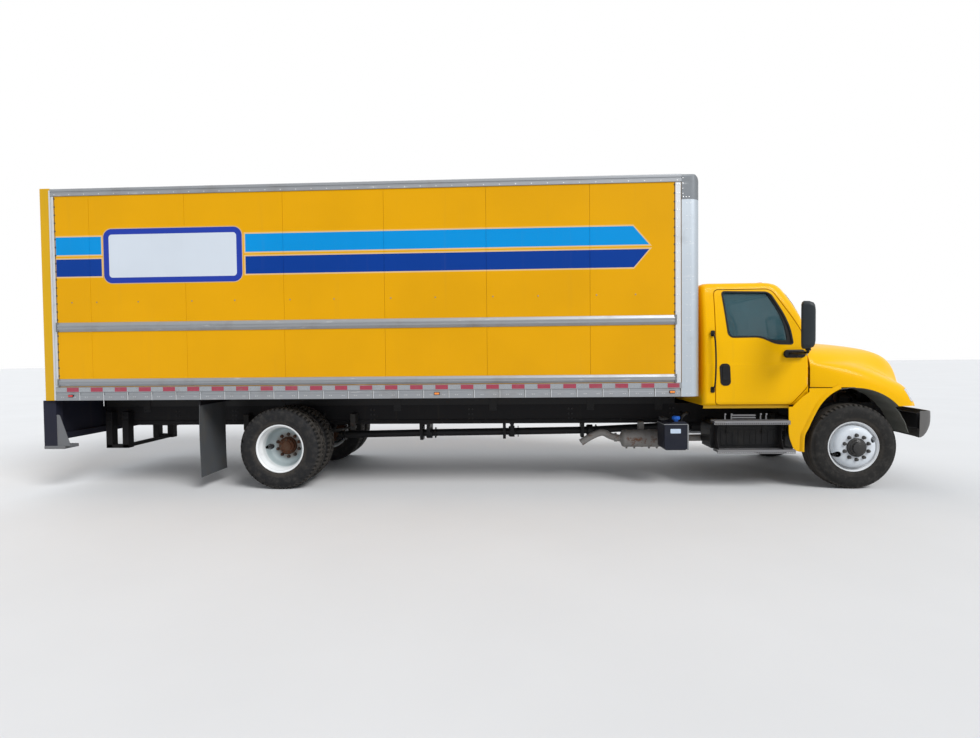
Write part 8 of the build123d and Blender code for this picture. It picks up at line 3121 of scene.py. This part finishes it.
@dataclass
class Studio:
    """Pale floor, soft light and the camera of the photo's angle."""

    place: Point = (0.4175, -7.784, 1.638)
    yaw: float = 2.54
    pitch: float = -1.485
    roll: float = -0.573
    focal_pixels: float = 546.9
    frame_width: int = 980

    def camera(self) -> None:
        """A level look across the truck's right side."""
        yaw, pitch, roll = (math.radians(v) for v in (self.yaw, self.pitch, self.roll))
        forward = Vector((-math.sin(yaw) * math.cos(pitch), math.cos(yaw) * math.cos(pitch),
                          math.sin(pitch)))
        right = Vector((math.cos(yaw), math.sin(yaw), 0.0))
        up = right.cross(forward)
        across = right * math.cos(roll) + up * math.sin(roll)
        upward = -right * math.sin(roll) + up * math.cos(roll)
        data = bpy.data.cameras.new("camera")
        data.sensor_fit = "HORIZONTAL"
        data.sensor_width = 36.0
        data.lens = self.focal_pixels / self.frame_width * 36.0
        data.clip_end = 400.0
        camera = bpy.data.objects.new("camera", data)
        turn = Matrix((across, upward, -forward)).transposed()
        camera.matrix_world = Matrix.Translation(self.place) @ turn.to_4x4()
        bpy.context.scene.collection.objects.link(camera)
        bpy.context.scene.camera = camera

    def lights(self) -> None:
        """One broad key from the camera's side and a fill from behind."""
        for name, travel, strength, spread_angle in (
            ("key", (-0.50, 0.52, -0.69), 2.6, 0.5),
            ("fill", (0.45, -0.55, -0.70), 0.8, 1.2),
        ):
            data = bpy.data.lights.new(name, "SUN")
            data.energy = strength
            data.angle = spread_angle
            light = bpy.data.objects.new(name, data)
            light.rotation_euler = Vector(travel).to_track_quat("-Z", "Y").to_euler()
            bpy.context.scene.collection.objects.link(light)

    def world(self) -> None:
        """Even sky light that shows white to the camera, metal and glass."""
        world = bpy.data.worlds.new("studio")
        world.use_nodes = True
        bpy.context.scene.world = world
        tree = world.node_tree
        tree.nodes.clear()
        path = tree.nodes.new("ShaderNodeLightPath")
        seen = tree.nodes.new("ShaderNodeMath")
        seen.operation = "MAXIMUM"
        tree.links.new(path.outputs["Is Camera Ray"], seen.inputs[0])
        tree.links.new(path.outputs["Is Transmission Ray"], seen.inputs[1])
        shown = tree.nodes.new("ShaderNodeMath")
        shown.operation = "MAXIMUM"
        tree.links.new(seen.outputs[0], shown.inputs[0])
        tree.links.new(path.outputs["Is Glossy Ray"], shown.inputs[1])
        sky = tree.nodes.new("ShaderNodeBackground")
        sky.inputs["Color"].default_value = (0.86, 0.92, 1.0, 1.0)
        sky.inputs["Strength"].default_value = 0.55
        white = tree.nodes.new("ShaderNodeBackground")
        white.inputs["Color"].default_value = (1.0, 1.0, 1.0, 1.0)
        white.inputs["Strength"].default_value = 1.0
        mix = tree.nodes.new("ShaderNodeMixShader")
        out = tree.nodes.new("ShaderNodeOutputWorld")
        tree.links.new(shown.outputs[0], mix.inputs[0])
        tree.links.new(sky.outputs[0], mix.inputs[1])
        tree.links.new(white.outputs[0], mix.inputs[2])
        tree.links.new(mix.outputs[0], out.inputs["Surface"])

    def floor(self) -> None:
        """A pale floor."""
        shape = Shape()
        bmesh.ops.create_grid(shape.bm, x_segments=2, y_segments=2, size=90.0)
        mesh = shape.mesh("floor")
        g = Graph("floor_pale")
        tone = g.noise(0.6, 4.0)
        mesh.materials.append(g.surface(Base_Color=g.mix(tone, (0.62, 0.62, 0.62),
                                                         (0.68, 0.68, 0.68)), Roughness=0.8))
        floor = bpy.data.objects.new("floor", mesh)
        bpy.context.scene.collection.objects.link(floor)

    def build(self) -> None:
        """Sets the stage and the colour view."""
        self.camera()
        self.lights()
        self.world()
        self.floor()
        bpy.context.scene.view_settings.view_transform = "Standard"


def main() -> None:
    """Builds the truck piece by piece."""
    logging.basicConfig(level=logging.INFO, format="%(name)s: %(message)s")
    bpy.ops.wm.read_factory_settings(use_empty=True)
    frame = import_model()
    nodes = frame["nodes"]
    Studio().build()
    RunningGear().build()
    FreightBody(nodes).build()
    Cab(nodes).build()
    Hood().build()
    FrontEnd().build()
    Steps().build()
    RearEnd(nodes).build()
    Underbody().build(nodes)
    bpy.context.view_layer.update()


if __name__ == "__main__":
    main()
